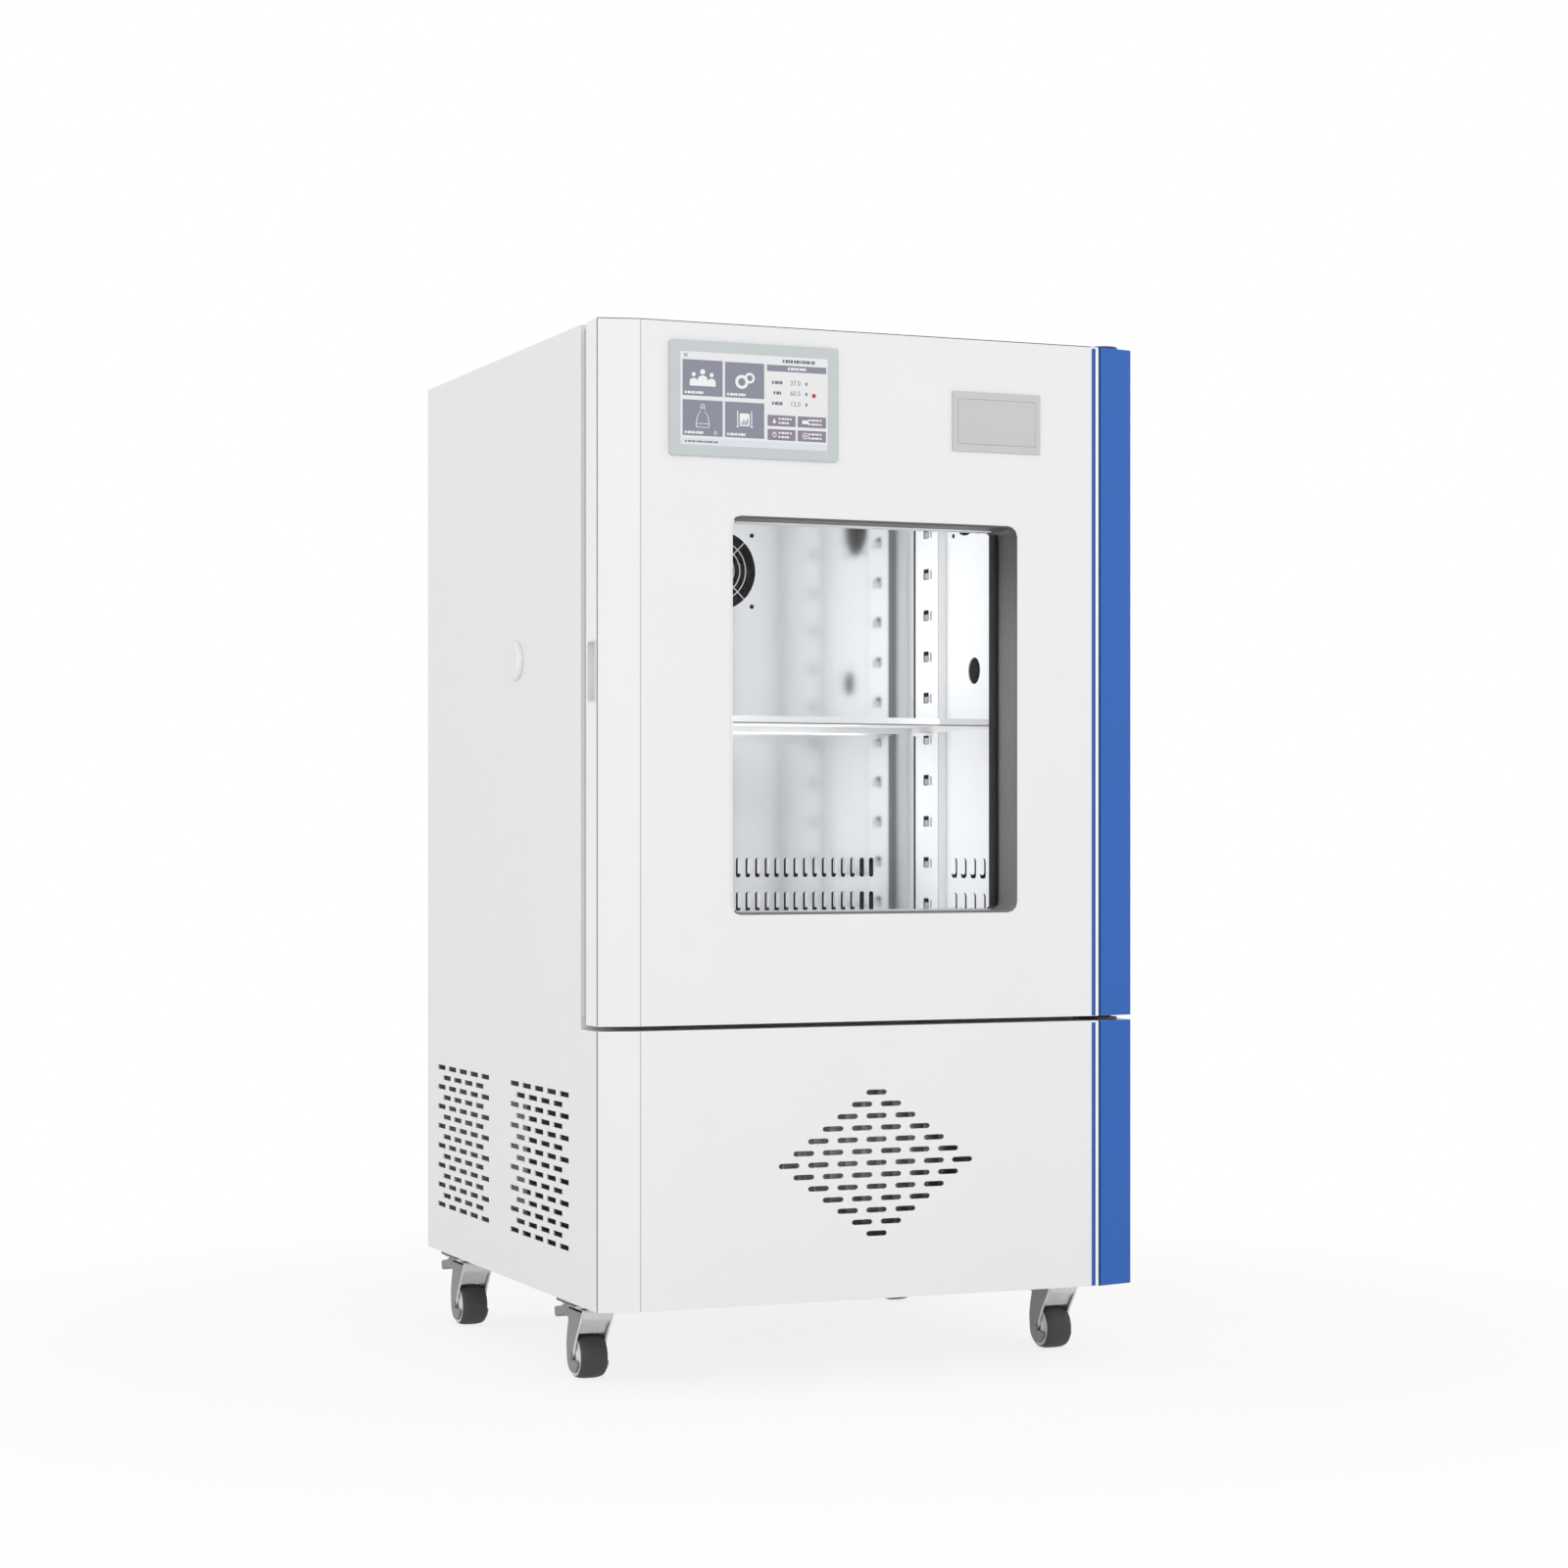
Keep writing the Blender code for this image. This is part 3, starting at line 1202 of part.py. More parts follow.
def build_door_body(assembly, axis, window_hole, screen_pocket, printer_pocket):
    """Foam-filled door behind the fascia, with a shadow seam, a raised inner panel and pin bores."""
    low = level(DOOR_BOTTOM)
    front = bevel_line(SHEET + TOUCH_GAP, HALF_WIDTH - SEAM_GROOVE)
    groove = HALF_WIDTH - SEAM_GROOVE
    seam = depth(SEAM_BACK)
    back = depth(DOOR_THICKNESS)
    right = [(groove, seam), (HALF_WIDTH, seam), (HALF_WIDTH, back)]
    left = [(-x, y) for x, y in reversed(right)]
    body = prism("door_body", [front + right + left], low, TOP_Z)
    plateau_half = CHAMBER_HALF_WIDTH - PLATEAU_INSET
    plateau_outline = rounded_rectangle(
        -plateau_half,
        level(CHAMBER_FLOOR + PLATEAU_INSET),
        plateau_half,
        level(CHAMBER_CEILING - PLATEAU_INSET),
        4 * WINDOW_CORNER,
    )
    plateau = prism(
        "door_plateau", [plateau_outline], back - CUT_MARGIN, back + PLATEAU_DEPTH, "front"
    )
    assembly.join(body, plateau)
    outer = (-HALF_WIDTH - CUT_MARGIN, -HALF_WIDTH + HANDLE_RECESS + HANDLE_WALL + TOUCH_GAP)
    margin = 2 * (HANDLE_WALL + TOUCH_GAP)
    handle_hole = centred_rectangle(
        depth(HANDLE_DEPTH), level(HANDLE_MIDDLE), HANDLE_WIDTH + margin, HANDLE_LENGTH + margin
    )
    handle_pocket = prism("handle_pocket", [handle_hole], *outer, plane="side")
    bores = []
    bore_radius = HINGE_PIN + 0.5 * RUNNING_GAP
    bore_depth = HINGE_PIN_LENGTH + RUNNING_GAP
    for name, bottom, top in (
        ("upper_bore", TOP_Z - bore_depth, TOP_Z + CUT_MARGIN),
        ("lower_bore", low - CUT_MARGIN, low + bore_depth),
    ):
        bores.append(cylinder(name, bore_radius, (HINGE_X, depth(HINGE_DEPTH)), bottom, top))
    assembly.cut(body, window_hole, screen_pocket, printer_pocket, handle_pocket, *bores)
    assembly.add(body, "white_powder_coat", axis)

    cup = tray(
        "handle_cup",
        (-HALF_WIDTH, depth(HANDLE_DEPTH) - HANDLE_WIDTH / 2, level(HANDLE_MIDDLE) - HANDLE_LENGTH / 2),
        (
            -HALF_WIDTH + HANDLE_RECESS,
            depth(HANDLE_DEPTH) + HANDLE_WIDTH / 2,
            level(HANDLE_MIDDLE) + HANDLE_LENGTH / 2,
        ),
        (-1, 0, 0),
        HANDLE_WALL,
    )
    assembly.add(cup, "white_plastic", axis)


def build_window(assembly, axis):
    """Deep reveal through the door with a lip at its back, and the glazing that rests on the lip."""
    outer = window_outline(REVEAL_WALL)
    back = depth(REVEAL_DEPTH)
    frame = prism("window_frame", [outer, window_outline(-REVEAL_LIP)], depth(0), back, "front")
    reveal = prism(
        "window_reveal_space", [window_outline(0)], depth(0) - CUT_MARGIN, back - LIP_THICKNESS, "front"
    )
    assembly.cut(frame, reveal)
    assembly.add(frame, "dark_reveal", axis)
    glass_back = back - LIP_THICKNESS - TOUCH_GAP
    pane = prism(
        "window_glass", [window_outline(-TOUCH_GAP)], glass_back - GLASS_THICKNESS, glass_back, "front"
    )
    assembly.add(pane, "window_glass", axis)


def build_seal(assembly, axis):
    """Magnetic seal: a foot on the door, a narrower bellows and the head that meets the frame."""
    low = depth(DOOR_THICKNESS + TOUCH_GAP)
    high = depth(CABINET_EDGE - TOUCH_GAP)
    third = (high - low) / 3
    left = -HALF_WIDTH + SEAL_INSET
    right = HALF_WIDTH - SEAL_HINGE_INSET
    bottom = level(DOOR_BOTTOM) + 2 * SEAL_INSET
    top = TOP_Z - SEAL_INSET
    stages = (("door_seal", 0, 0, 1.1), ("seal_bellows", 0.004, 0.9, 2.1), ("seal_head", 0, 1.9, 3))
    rings = []
    for name, inset, start, end in stages:
        outer = rectangle(left + inset, bottom + inset, right - inset, top - inset)
        width = SEAL_WIDTH - inset
        inner = rectangle(left + width, bottom + width, right - width, top - width)
        rings.append(prism(name, [outer, inner], low + start * third, low + end * third, "front"))
    seal, bellows, head = rings
    assembly.join(seal, bellows, head)
    assembly.add(seal, "seal_rubber", axis)


def build_screen(assembly, axis, centre):
    """Bezel that stands proud of the door, and the display module set into the door through it."""
    half_width = BEZEL_WIDTH / 2
    half_height = BEZEL_HEIGHT / 2
    outer = rounded_rectangle(
        centre[0] - half_width,
        centre[1] - half_height,
        centre[0] + half_width,
        centre[1] + half_height,
        BEZEL_CORNER,
        3,
    )
    inner = centred_rectangle(*centre, DISPLAY_WIDTH + 2 * TOUCH_GAP, DISPLAY_HEIGHT + 2 * TOUCH_GAP)
    bezel = prism("screen_bezel", [outer, inner], depth(-BEZEL_PROUD), depth(-TOUCH_GAP), "front")
    assembly.add(bezel, "bezel_grey", axis)
    display = prism(
        "screen_display",
        [centred_rectangle(*centre, DISPLAY_WIDTH, DISPLAY_HEIGHT)],
        depth(-BEZEL_PROUD + DISPLAY_SINK),
        depth(DISPLAY_BODY),
        "front",
    )
    assembly.add(display, "display_glass", axis)


def build_printer(assembly, axis, centre):
    """Panel printer: flanged case with an open bay, closed by a cover hinged at its lower edge."""
    flange = prism(
        "printer_frame",
        [centred_rectangle(*centre, PRINTER_WIDTH, PRINTER_HEIGHT)],
        depth(-PRINTER_PROUD),
        depth(-TOUCH_GAP),
        "front",
    )
    case_width = PRINTER_BAY_WIDTH + 2 * PRINTER_WALL
    case_height = PRINTER_BAY_HEIGHT + 2 * PRINTER_WALL
    case = prism(
        "printer_case",
        [centred_rectangle(*centre, case_width, case_height)],
        depth(-PRINTER_PROUD / 2),
        depth(PRINTER_BAY_DEPTH + PRINTER_WALL),
        "front",
    )
    bay = prism(
        "printer_bay",
        [centred_rectangle(*centre, PRINTER_BAY_WIDTH, PRINTER_BAY_HEIGHT)],
        depth(-PRINTER_PROUD) - CUT_MARGIN,
        depth(PRINTER_BAY_DEPTH),
        "front",
    )
    assembly.join(flange, case)
    assembly.cut(flange, bay)
    assembly.add(flange, "bezel_grey", axis)

    bottom = centre[1] - PRINTER_BAY_HEIGHT / 2 + TOUCH_GAP
    cover_axis = assembly.axis("printer_cover_axis", (centre[0], depth(-PRINTER_PROUD), bottom), axis)
    half_width = PRINTER_BAY_WIDTH / 2 - TOUCH_GAP
    cover = box(
        "printer_cover",
        (centre[0] - half_width, depth(-PRINTER_PROUD), bottom),
        (
            centre[0] + half_width,
            depth(-PRINTER_PROUD + COVER_THICKNESS),
            centre[1] + PRINTER_BAY_HEIGHT / 2 - TOUCH_GAP,
        ),
    )
    assembly.add(cover, "bezel_grey", cover_axis)


def build_casters(assembly):
    """Four braked swivel casters, their wheels trailing to the back."""
    front = depth(CASTER_FRONT_INSET)
    rear = depth(BODY_DEPTH - CASTER_REAR_INSET)
    for name, x, y in (
        ("front_left", -CASTER_X, front),
        ("front_right", CASTER_X, front),
        ("rear_left", -CASTER_X, rear),
        ("rear_right", CASTER_X, rear),
    ):
        build_caster(assembly, name, x, y)


def build_caster(assembly, name, x, y):
    """One caster: top plate with its race, fork with kingpin and axle, wheel, and brake pedal."""
    plate_top = CASTER_HEIGHT - TOUCH_GAP
    plate_low = plate_top - CASTER_PLATE_THICKNESS
    race_low = plate_low - RACE_HEIGHT
    crown_top = race_low - TOUCH_GAP
    crown_low = crown_top - FORK_SHEET * 1.5
    axle_z = WHEEL_RADIUS * math.cos(math.pi / WHEEL_FACETS)
    axle_y = y + CASTER_TRAIL
    half_plate = CASTER_PLATE / 2
    corner = CASTER_PLATE * 0.1

    outline = rounded_rectangle(x - half_plate, y - half_plate, x + half_plate, y + half_plate, corner, 2)
    plate = prism(f"caster_plate_{name}", [outline], plate_low, plate_top)
    race = cylinder(f"caster_race_{name}", RACE_RADIUS, (x, y), race_low, plate_low + SHEET, sides=12)
    bore = cylinder(
        f"kingpin_bore_{name}",
        KINGPIN + RUNNING_GAP / 2,
        (x, y),
        race_low - CUT_MARGIN,
        race_low + RACE_HEIGHT * 0.9,
        sides=12,
    )
    assembly.join(plate, race)
    assembly.cut(plate, bore)
    assembly.add(plate, "zinc_plate")

    swivel = assembly.axis(f"swivel_axis_{name}", (x, y, plate_low))
    leg_inner = WHEEL_WIDTH / 2 + HUB_PROUD + TOUCH_GAP
    leg_outer = leg_inner + FORK_SHEET
    fork = box(
        f"caster_fork_{name}",
        (x - leg_outer, y - CROWN_FRONT, crown_low),
        (x + leg_outer, y + CROWN_BACK, crown_top),
    )
    leg_top = crown_low + FORK_SHEET / 2
    leg_outline = [(y + CROWN_BACK, leg_top), (y - CROWN_FRONT, leg_top)]
    leg_outline += arc((axle_y, axle_z), FORK_BOSS, 205, 365, 6)
    legs = []
    for side in (-1, 1):
        reach = sorted((x + side * leg_inner, x + side * leg_outer))
        legs.append(prism(f"fork_leg_{name}_{side}", [leg_outline], *reach, plane="side"))
    axle_reach = leg_outer + FORK_SHEET
    axle = cylinder(
        f"fork_axle_{name}", AXLE, (axle_y, axle_z), x - axle_reach, x + axle_reach, "side", 8
    )
    kingpin_top = race_low + RACE_HEIGHT * 0.8
    kingpin = cylinder(f"kingpin_{name}", KINGPIN, (x, y), crown_top - SHEET, kingpin_top, sides=8)
    assembly.join(fork, *legs, axle, kingpin)
    assembly.add(fork, "zinc_plate", swivel)

    wheel_axis = assembly.axis(f"wheel_axis_{name}", (x, axle_y, axle_z), swivel)
    half_width = WHEEL_WIDTH / 2
    hub_half = half_width + HUB_PROUD
    side_profile = [
        (WHEEL_RADIUS, half_width * 0.70),
        (WHEEL_RADIUS * 0.87, half_width),
        (WHEEL_RADIUS * 0.66, half_width * 0.85),
        (HUB_RADIUS, hub_half),
        (AXLE + RUNNING_GAP / 2, hub_half),
    ]
    profile = side_profile[::-1] + [(radius, -height) for radius, height in side_profile]
    place = Matrix.Translation((x, axle_y, axle_z)) @ Matrix.Rotation(math.radians(90), 4, "Y")
    flat_down = Matrix.Rotation(math.pi / WHEEL_FACETS, 4, "Z")
    wheel = turned(f"caster_wheel_{name}", profile, place @ flat_down, WHEEL_FACETS)
    assembly.add(wheel, "tyre_rubber", wheel_axis, smooth=True)

    build_pedal(assembly, name, x, y, (crown_low + crown_top) / 2, swivel)


def build_pedal(assembly, name, x, y, crown_middle, swivel):
    """Brake pedal of a caster: a lever with a drooping nose, behind the fork's crown."""
    knuckle = PEDAL_KNUCKLE
    pivot_y = y + CROWN_BACK + TOUCH_GAP + knuckle
    pivot_z = crown_middle
    pedal_axis = assembly.axis(f"pedal_axis_{name}", (x, pivot_y, pivot_z), swivel)
    nose_y = pivot_y + PEDAL_LENGTH
    outline = arc((pivot_y, pivot_z), knuckle, 90, 270, 6)
    outline += [
        (pivot_y + PEDAL_LENGTH * 0.45, pivot_z - knuckle * 0.9),
        (nose_y - knuckle * 1.4, pivot_z - knuckle * 2.8),
        (nose_y, pivot_z - knuckle * 2.4),
        (nose_y - knuckle * 0.6, pivot_z - knuckle * 0.2),
        (nose_y - knuckle * 2.2, pivot_z + knuckle * 1.1),
        (pivot_y + knuckle * 1.5, pivot_z + knuckle * 0.8),
    ]
    reach = (x - PEDAL_WIDTH / 2, x + PEDAL_WIDTH / 2)
    pedal = prism(f"brake_pedal_{name}", [outline], *reach, plane="side")
    assembly.add(pedal, "zinc_plate", pedal_axis)


def main():
    clear_scene()
    assembly = Assembly()
    build_outer_shell(assembly)
    build_chamber(assembly)
    build_fans(assembly)
    build_cold_side(assembly)
    build_machine_space(assembly)
    build_port_plugs(assembly)
    build_hinges(assembly)
    build_door(assembly)
    build_casters(assembly)


main()
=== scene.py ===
"""Looks of the biochemical incubator: finishes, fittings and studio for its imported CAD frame.

Lengths are metres, +Z is up and the door faces -Y. Each sub-assembly is a class that dresses the
CAD nodes it is made of and adds the pieces that the CAD leaves out.
"""

import json
import logging
import math
from abc import ABC, abstractmethod
from collections.abc import Sequence
from dataclasses import dataclass
from enum import Enum

import bmesh
import bpy
from mathutils import Matrix, Vector

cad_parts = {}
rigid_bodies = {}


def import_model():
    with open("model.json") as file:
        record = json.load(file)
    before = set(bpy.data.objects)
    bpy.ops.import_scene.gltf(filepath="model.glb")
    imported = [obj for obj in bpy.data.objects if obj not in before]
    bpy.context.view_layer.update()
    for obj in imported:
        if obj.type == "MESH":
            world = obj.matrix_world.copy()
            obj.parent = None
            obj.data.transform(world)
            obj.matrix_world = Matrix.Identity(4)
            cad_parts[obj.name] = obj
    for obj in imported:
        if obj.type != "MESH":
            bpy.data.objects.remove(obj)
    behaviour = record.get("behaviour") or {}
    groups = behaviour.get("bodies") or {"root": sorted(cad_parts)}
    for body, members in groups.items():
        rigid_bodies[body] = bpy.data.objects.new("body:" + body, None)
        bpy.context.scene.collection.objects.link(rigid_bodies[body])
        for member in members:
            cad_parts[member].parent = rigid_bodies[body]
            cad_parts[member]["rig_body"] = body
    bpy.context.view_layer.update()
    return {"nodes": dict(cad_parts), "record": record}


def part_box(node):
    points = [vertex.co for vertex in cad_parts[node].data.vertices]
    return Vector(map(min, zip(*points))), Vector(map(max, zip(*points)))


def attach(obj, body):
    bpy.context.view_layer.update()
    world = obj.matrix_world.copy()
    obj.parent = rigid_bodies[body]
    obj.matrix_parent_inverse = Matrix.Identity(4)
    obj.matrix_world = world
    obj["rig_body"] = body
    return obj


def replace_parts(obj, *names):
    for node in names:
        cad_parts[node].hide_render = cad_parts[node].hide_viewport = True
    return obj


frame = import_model()

LOG = logging.getLogger("incubator")
LINER_SHEET = 0.0015
CORNERS = ("front_left", "front_right", "rear_left", "rear_right")

Point = tuple[float, float]
Place = tuple[float, float, float]
Bar = tuple[float, float, float, float]
Outline = tuple[Point, ...]
Piece = bpy.types.Object
Pieces = list[Piece]
Material = bpy.types.Material
Colour = Place
NodeInput = "Signal | float | tuple[float, ...] | bpy.types.NodeSocket"


class Body(Enum):
    """Bodies of the CAD frame that pieces ride on."""

    CABINET = "cabinet"
    DOOR = "door"
    FLAP = "printer_flap"
    REAR_FAN = "rear_fan"
    SIDE_FAN = "side_fan"
    LEFT_PLUG = "plug_left"
    RIGHT_PLUG = "plug_right"


class Plane(Enum):
    """Planes that flat outlines are drawn in, with the frame axis that their thickness follows."""

    PLAN = "plan"
    FRONT = "front"
    SIDE = "side"

    def matrix(self) -> Matrix:
        """Turn that carries outline axes u, v and thickness w into the frame.

        Returns:
            The turn.
        """
        if self is Plane.FRONT:
            return Matrix(((1, 0, 0, 0), (0, 0, 1, 0), (0, 1, 0, 0), (0, 0, 0, 1)))
        if self is Plane.SIDE:
            return Matrix(((0, 0, 1, 0), (1, 0, 0, 0), (0, 1, 0, 0), (0, 0, 0, 1)))
        return Matrix.Identity(4)


class Signal:
    """Output of a shader node, on which arithmetic adds Math or Vector Math nodes."""

    def __init__(self, tree: "ShaderTree", socket: bpy.types.NodeSocket) -> None:
        """Wrap a socket."""
        self.tree = tree
        self.socket = socket

    def _combine(self, operation: str, first: NodeInput, second: NodeInput) -> "Signal":
        """Join two inputs with a Math node, or a Vector Math node where either is a vector.

        Args:
            operation: Name of the operation, such as ADD.
            first: Left-hand input.
            second: Right-hand input.

        Returns:
            The node's result.
        """
        vector = any(isinstance(side, Signal) and side.socket.type != "VALUE" for side in (first, second))
        kind = "ShaderNodeVectorMath" if vector else "ShaderNodeMath"
        return self.tree.node(kind, {0: first, 1: second}, {"operation": operation})

    def __add__(self, other: NodeInput) -> "Signal":
        """Sum of the two."""
        return self._combine("ADD", self, other)

    def __radd__(self, other: NodeInput) -> "Signal":
        """Sum with the number on the left."""
        return self._combine("ADD", other, self)

    def __sub__(self, other: NodeInput) -> "Signal":
        """Difference of the two."""
        return self._combine("SUBTRACT", self, other)

    def __rsub__(self, other: NodeInput) -> "Signal":
        """Difference with the number on the left."""
        return self._combine("SUBTRACT", other, self)

    def __mul__(self, other: NodeInput) -> "Signal":
        """Product of the two."""
        return self._combine("MULTIPLY", self, other)

    def __rmul__(self, other: NodeInput) -> "Signal":
        """Product with the number on the left."""
        return self._combine("MULTIPLY", other, self)

    def __gt__(self, other: NodeInput) -> "Signal":
        """Mask of where this value is the greater."""
        return self._combine("GREATER_THAN", self, other)

    def __lt__(self, other: NodeInput) -> "Signal":
        """Mask of where this value is the smaller."""
        return self._combine("LESS_THAN", self, other)

    def between(self, low: float, high: float) -> "Signal":
        """Mask that rises smoothly from 0 at one value to 1 at another.

        Args:
            low: Value at which the mask is 0.
            high: Value at which the mask is 1.

        Returns:
            The mask.
        """
        settings = {"interpolation_type": "SMOOTHSTEP"}
        sockets = {"Value": self, "From Min": low, "From Max": high}
        return self.tree.node("ShaderNodeMapRange", sockets, settings)

    def axis(self, name: str) -> "Signal":
        """One component of a vector."""
        return self.tree.node("ShaderNodeSeparateXYZ", {"Vector": self}, output=name)


class ShaderTree:
    """Node tree of one material or world, filled by expressions on its signals."""

    def __init__(self, owner: Material | bpy.types.World) -> None:
        """Empty the owner's tree and give it an output.

        Args:
            owner: Material or world that the tree belongs to.
        """
        owner.use_nodes = True
        self.owner = owner
        self.nodes = owner.node_tree.nodes
        self.links = owner.node_tree.links
        self.nodes.clear()
        world = isinstance(owner, bpy.types.World)
        self.end = self.node("ShaderNodeOutputWorld" if world else "ShaderNodeOutputMaterial", {}, output=None)

    def node(
        self,
        kind: str,
        sockets: dict[str | int, NodeInput],
        settings: dict[str, object] | None = None,
        output: str | int | None = 0,
    ) -> "Signal | bpy.types.Node":
        """Add a node, set it and feed its sockets.

        Args:
            kind: Blender's name of the node type.
            sockets: Values or signals by input name or number.
            settings: Properties that are set before the sockets.
            output: Output that is handed back, or None for the node.

        Returns:
            Signal of the chosen output, or the node.
        """
        made = self.nodes.new(kind)
        for key, value in (settings or {}).items():
            setattr(made, key, value)
        for key, value in sockets.items():
            self.feed(made.inputs[key], value)
        return made if output is None else Signal(self, made.outputs[output])

    def feed(self, target: bpy.types.NodeSocket, value: NodeInput) -> None:
        """Link a signal to an input, or set the input's own value.

        Args:
            target: Input socket.
            value: Signal, number or tuple.
        """
        if isinstance(value, Signal):
            self.links.new(value.socket, target)
        elif target.type == "RGBA" and isinstance(value, tuple) and len(value) == 3:
            target.default_value = (*value, 1.0)
        else:
            target.default_value = value

    def place(self, scale: Place = (1, 1, 1)) -> Signal:
        """Frame coordinates in metres, stretched by a scale along each axis."""
        place = self.node("ShaderNodeTexCoord", {}, output="Object")
        return place if scale == (1, 1, 1) else place * scale

    def noise(self, scale: float, detail: float = 2.0, at: Signal | None = None) -> Signal:
        """Fractal noise from 0 to 1, with its scale in waves per metre."""
        sockets = {"Vector": at or self.place(), "Scale": scale, "Detail": detail}
        return self.node("ShaderNodeTexNoise", sockets)

    def mix(self, factor: NodeInput, low: NodeInput, high: NodeInput) -> Signal:
        """Blend of two colours by a factor."""
        settings = {"data_type": "RGBA"}
        return self.node("ShaderNodeMix", {0: factor, 6: low, 7: high}, settings, output=2)

    def shade(self, colour: Colour, signal: Signal, swing: float) -> Signal:
        """Colour that lightens and darkens with a signal about its middle.

        Args:
            colour: Middle colour.
            signal: Value from 0 to 1.
            swing: Share by which the colour changes either way.

        Returns:
            The varied colour.
        """
        low = tuple(part * (1 - swing) for part in colour)
        high = tuple(min(part * (1 + swing), 1.0) for part in colour)
        return self.mix(signal, low, high)

    def bump(self, height: Signal, distance: float, strength: float = 1.0, under: Signal | None = None) -> Signal:
        """Surface normal of a height field.

        Args:
            height: Height from 0 to 1.
            distance: Depth of the relief in metres.
            strength: Strength of the relief.
            under: Normal of a relief below this one.

        Returns:
            The normal.
        """
        sockets = {"Height": height, "Distance": distance, "Strength": strength}
        if under is not None:
            sockets["Normal"] = under
        return self.node("ShaderNodeBump", sockets, output="Normal")

    def principled(self, sockets: dict[str | int, NodeInput]) -> Material:
        """End the tree in a Principled shader."""
        return self.close(self.node("ShaderNodeBsdfPrincipled", sockets, output="BSDF"))

    def close(self, surface: Signal) -> Material:
        """End the tree in a given shader."""
        self.feed(self.end.inputs["Surface"], surface)
        return self.owner


@dataclass(frozen=True)
class Finish(ABC):
    """A surface finish, whose material is made once and then shared."""

    name: str
    slot: str
    colour: Colour
    roughness: float = 0.4

    def material(self) -> Material:
        """Material of the finish, made the first time it is asked for."""
        return bpy.data.materials.get(self.name) or self.paint(ShaderTree(bpy.data.materials.new(self.name)))

    def gloss(self, *swings: tuple[Signal, float]) -> Signal:
        """Roughness that changes with signals about their middle.

        Args:
            swings: Signals from 0 to 1, each with the change of roughness over its range.

        Returns:
            The varied roughness.
        """
        total = self.roughness
        for signal, swing in swings:
            total = total + (signal - 0.5) * swing
        return total

    @abstractmethod
    def paint(self, tree: ShaderTree) -> Material:
        """Build the material in an empty tree."""


@dataclass(frozen=True)
class PowderCoat(Finish):
    """Baked powder paint with a fine orange peel and a faint unevenness in its shade."""

    peel_per_metre: float = 750.0
    peel_depth: float = 0.00006
    mottle: float = 0.012
    coat: float = 0.12
    specular: float = 0.5
    peel_strength: float = 0.35
    peel_gloss: float = 0.05
    cloud_per_metre: float = 9.0
    cloud_gloss: float = 0.08
    coat_roughness: float = 0.25

    def paint(self, tree: ShaderTree) -> Material:
        """Mottled colour, peel relief and a roughness that follows the mottling.

        Args:
            tree: Tree to fill.

        Returns:
            The material.
        """
        cloud = tree.noise(self.cloud_per_metre, detail=3.0)
        peel = tree.noise(self.peel_per_metre, detail=1.5)
        return tree.principled({
            "Base Color": tree.shade(self.colour, cloud, self.mottle),
            "Roughness": self.gloss((cloud, self.cloud_gloss), (peel, self.peel_gloss)),
            "Specular IOR Level": self.specular,
            "Coat Weight": self.coat,
            "Coat Roughness": self.coat_roughness,
            "Normal": tree.bump(peel, self.peel_depth, self.peel_strength),
        })


@dataclass(frozen=True)
class SheetSteel(Finish):
    """Stainless sheet with a grain along one axis and the slow waves of pressed sheet."""

    grain: Place = (900.0, 900.0, 14.0)
    grain_depth: float = 0.00002
    wave_depth: float = 0.0006
    metallic: float = 1.0
    grain_shade: float = 0.03
    grain_gloss: float = 0.6
    wave_per_metre: float = 2.2

    def paint(self, tree: ShaderTree) -> Material:
        """Grained relief over the waves, with a roughness that follows the grain.

        Args:
            tree: Tree to fill.

        Returns:
            The material.
        """
        grain = tree.noise(1.0, detail=3.0, at=tree.place(self.grain))
        wave = tree.noise(self.wave_per_metre, detail=1.0)
        waved = tree.bump(wave, self.wave_depth, strength=0.5)
        return tree.principled({
            "Base Color": tree.shade(self.colour, grain, self.grain_shade),
            "Roughness": self.gloss((grain, self.roughness * self.grain_gloss)),
            "Metallic": self.metallic,
            "Normal": tree.bump(grain, self.grain_depth, strength=0.4, under=waved),
        })


@dataclass(frozen=True)
class ZincPlate(Finish):
    """Plated pressing with crystals that differ a little in shade."""

    crystal_per_metre: float = 260.0
    metallic: float = 0.9
    crystal_shade: float = 0.05
    crystal_gloss: float = 0.10
    scratch: Place = (300.0, 60.0, 900.0)
    scratch_depth: float = 0.00003
    scratch_gloss: float = 0.16

    def paint(self, tree: ShaderTree) -> Material:
        """Cells of slightly different shade and gloss under fine scratches.

        Args:
            tree: Tree to fill.

        Returns:
            The material.
        """
        sockets = {"Vector": tree.place(), "Scale": self.crystal_per_metre}
        shade = tree.node("ShaderNodeTexVoronoi", sockets, output="Color").axis("X")
        scratch = tree.noise(1.0, detail=4.0, at=tree.place(self.scratch))
        return tree.principled({
            "Base Color": tree.shade(self.colour, shade, self.crystal_shade),
            "Roughness": self.gloss((shade, self.crystal_gloss), (scratch, self.scratch_gloss)),
            "Metallic": self.metallic,
            "Normal": tree.bump(scratch, self.scratch_depth, strength=0.3),
        })


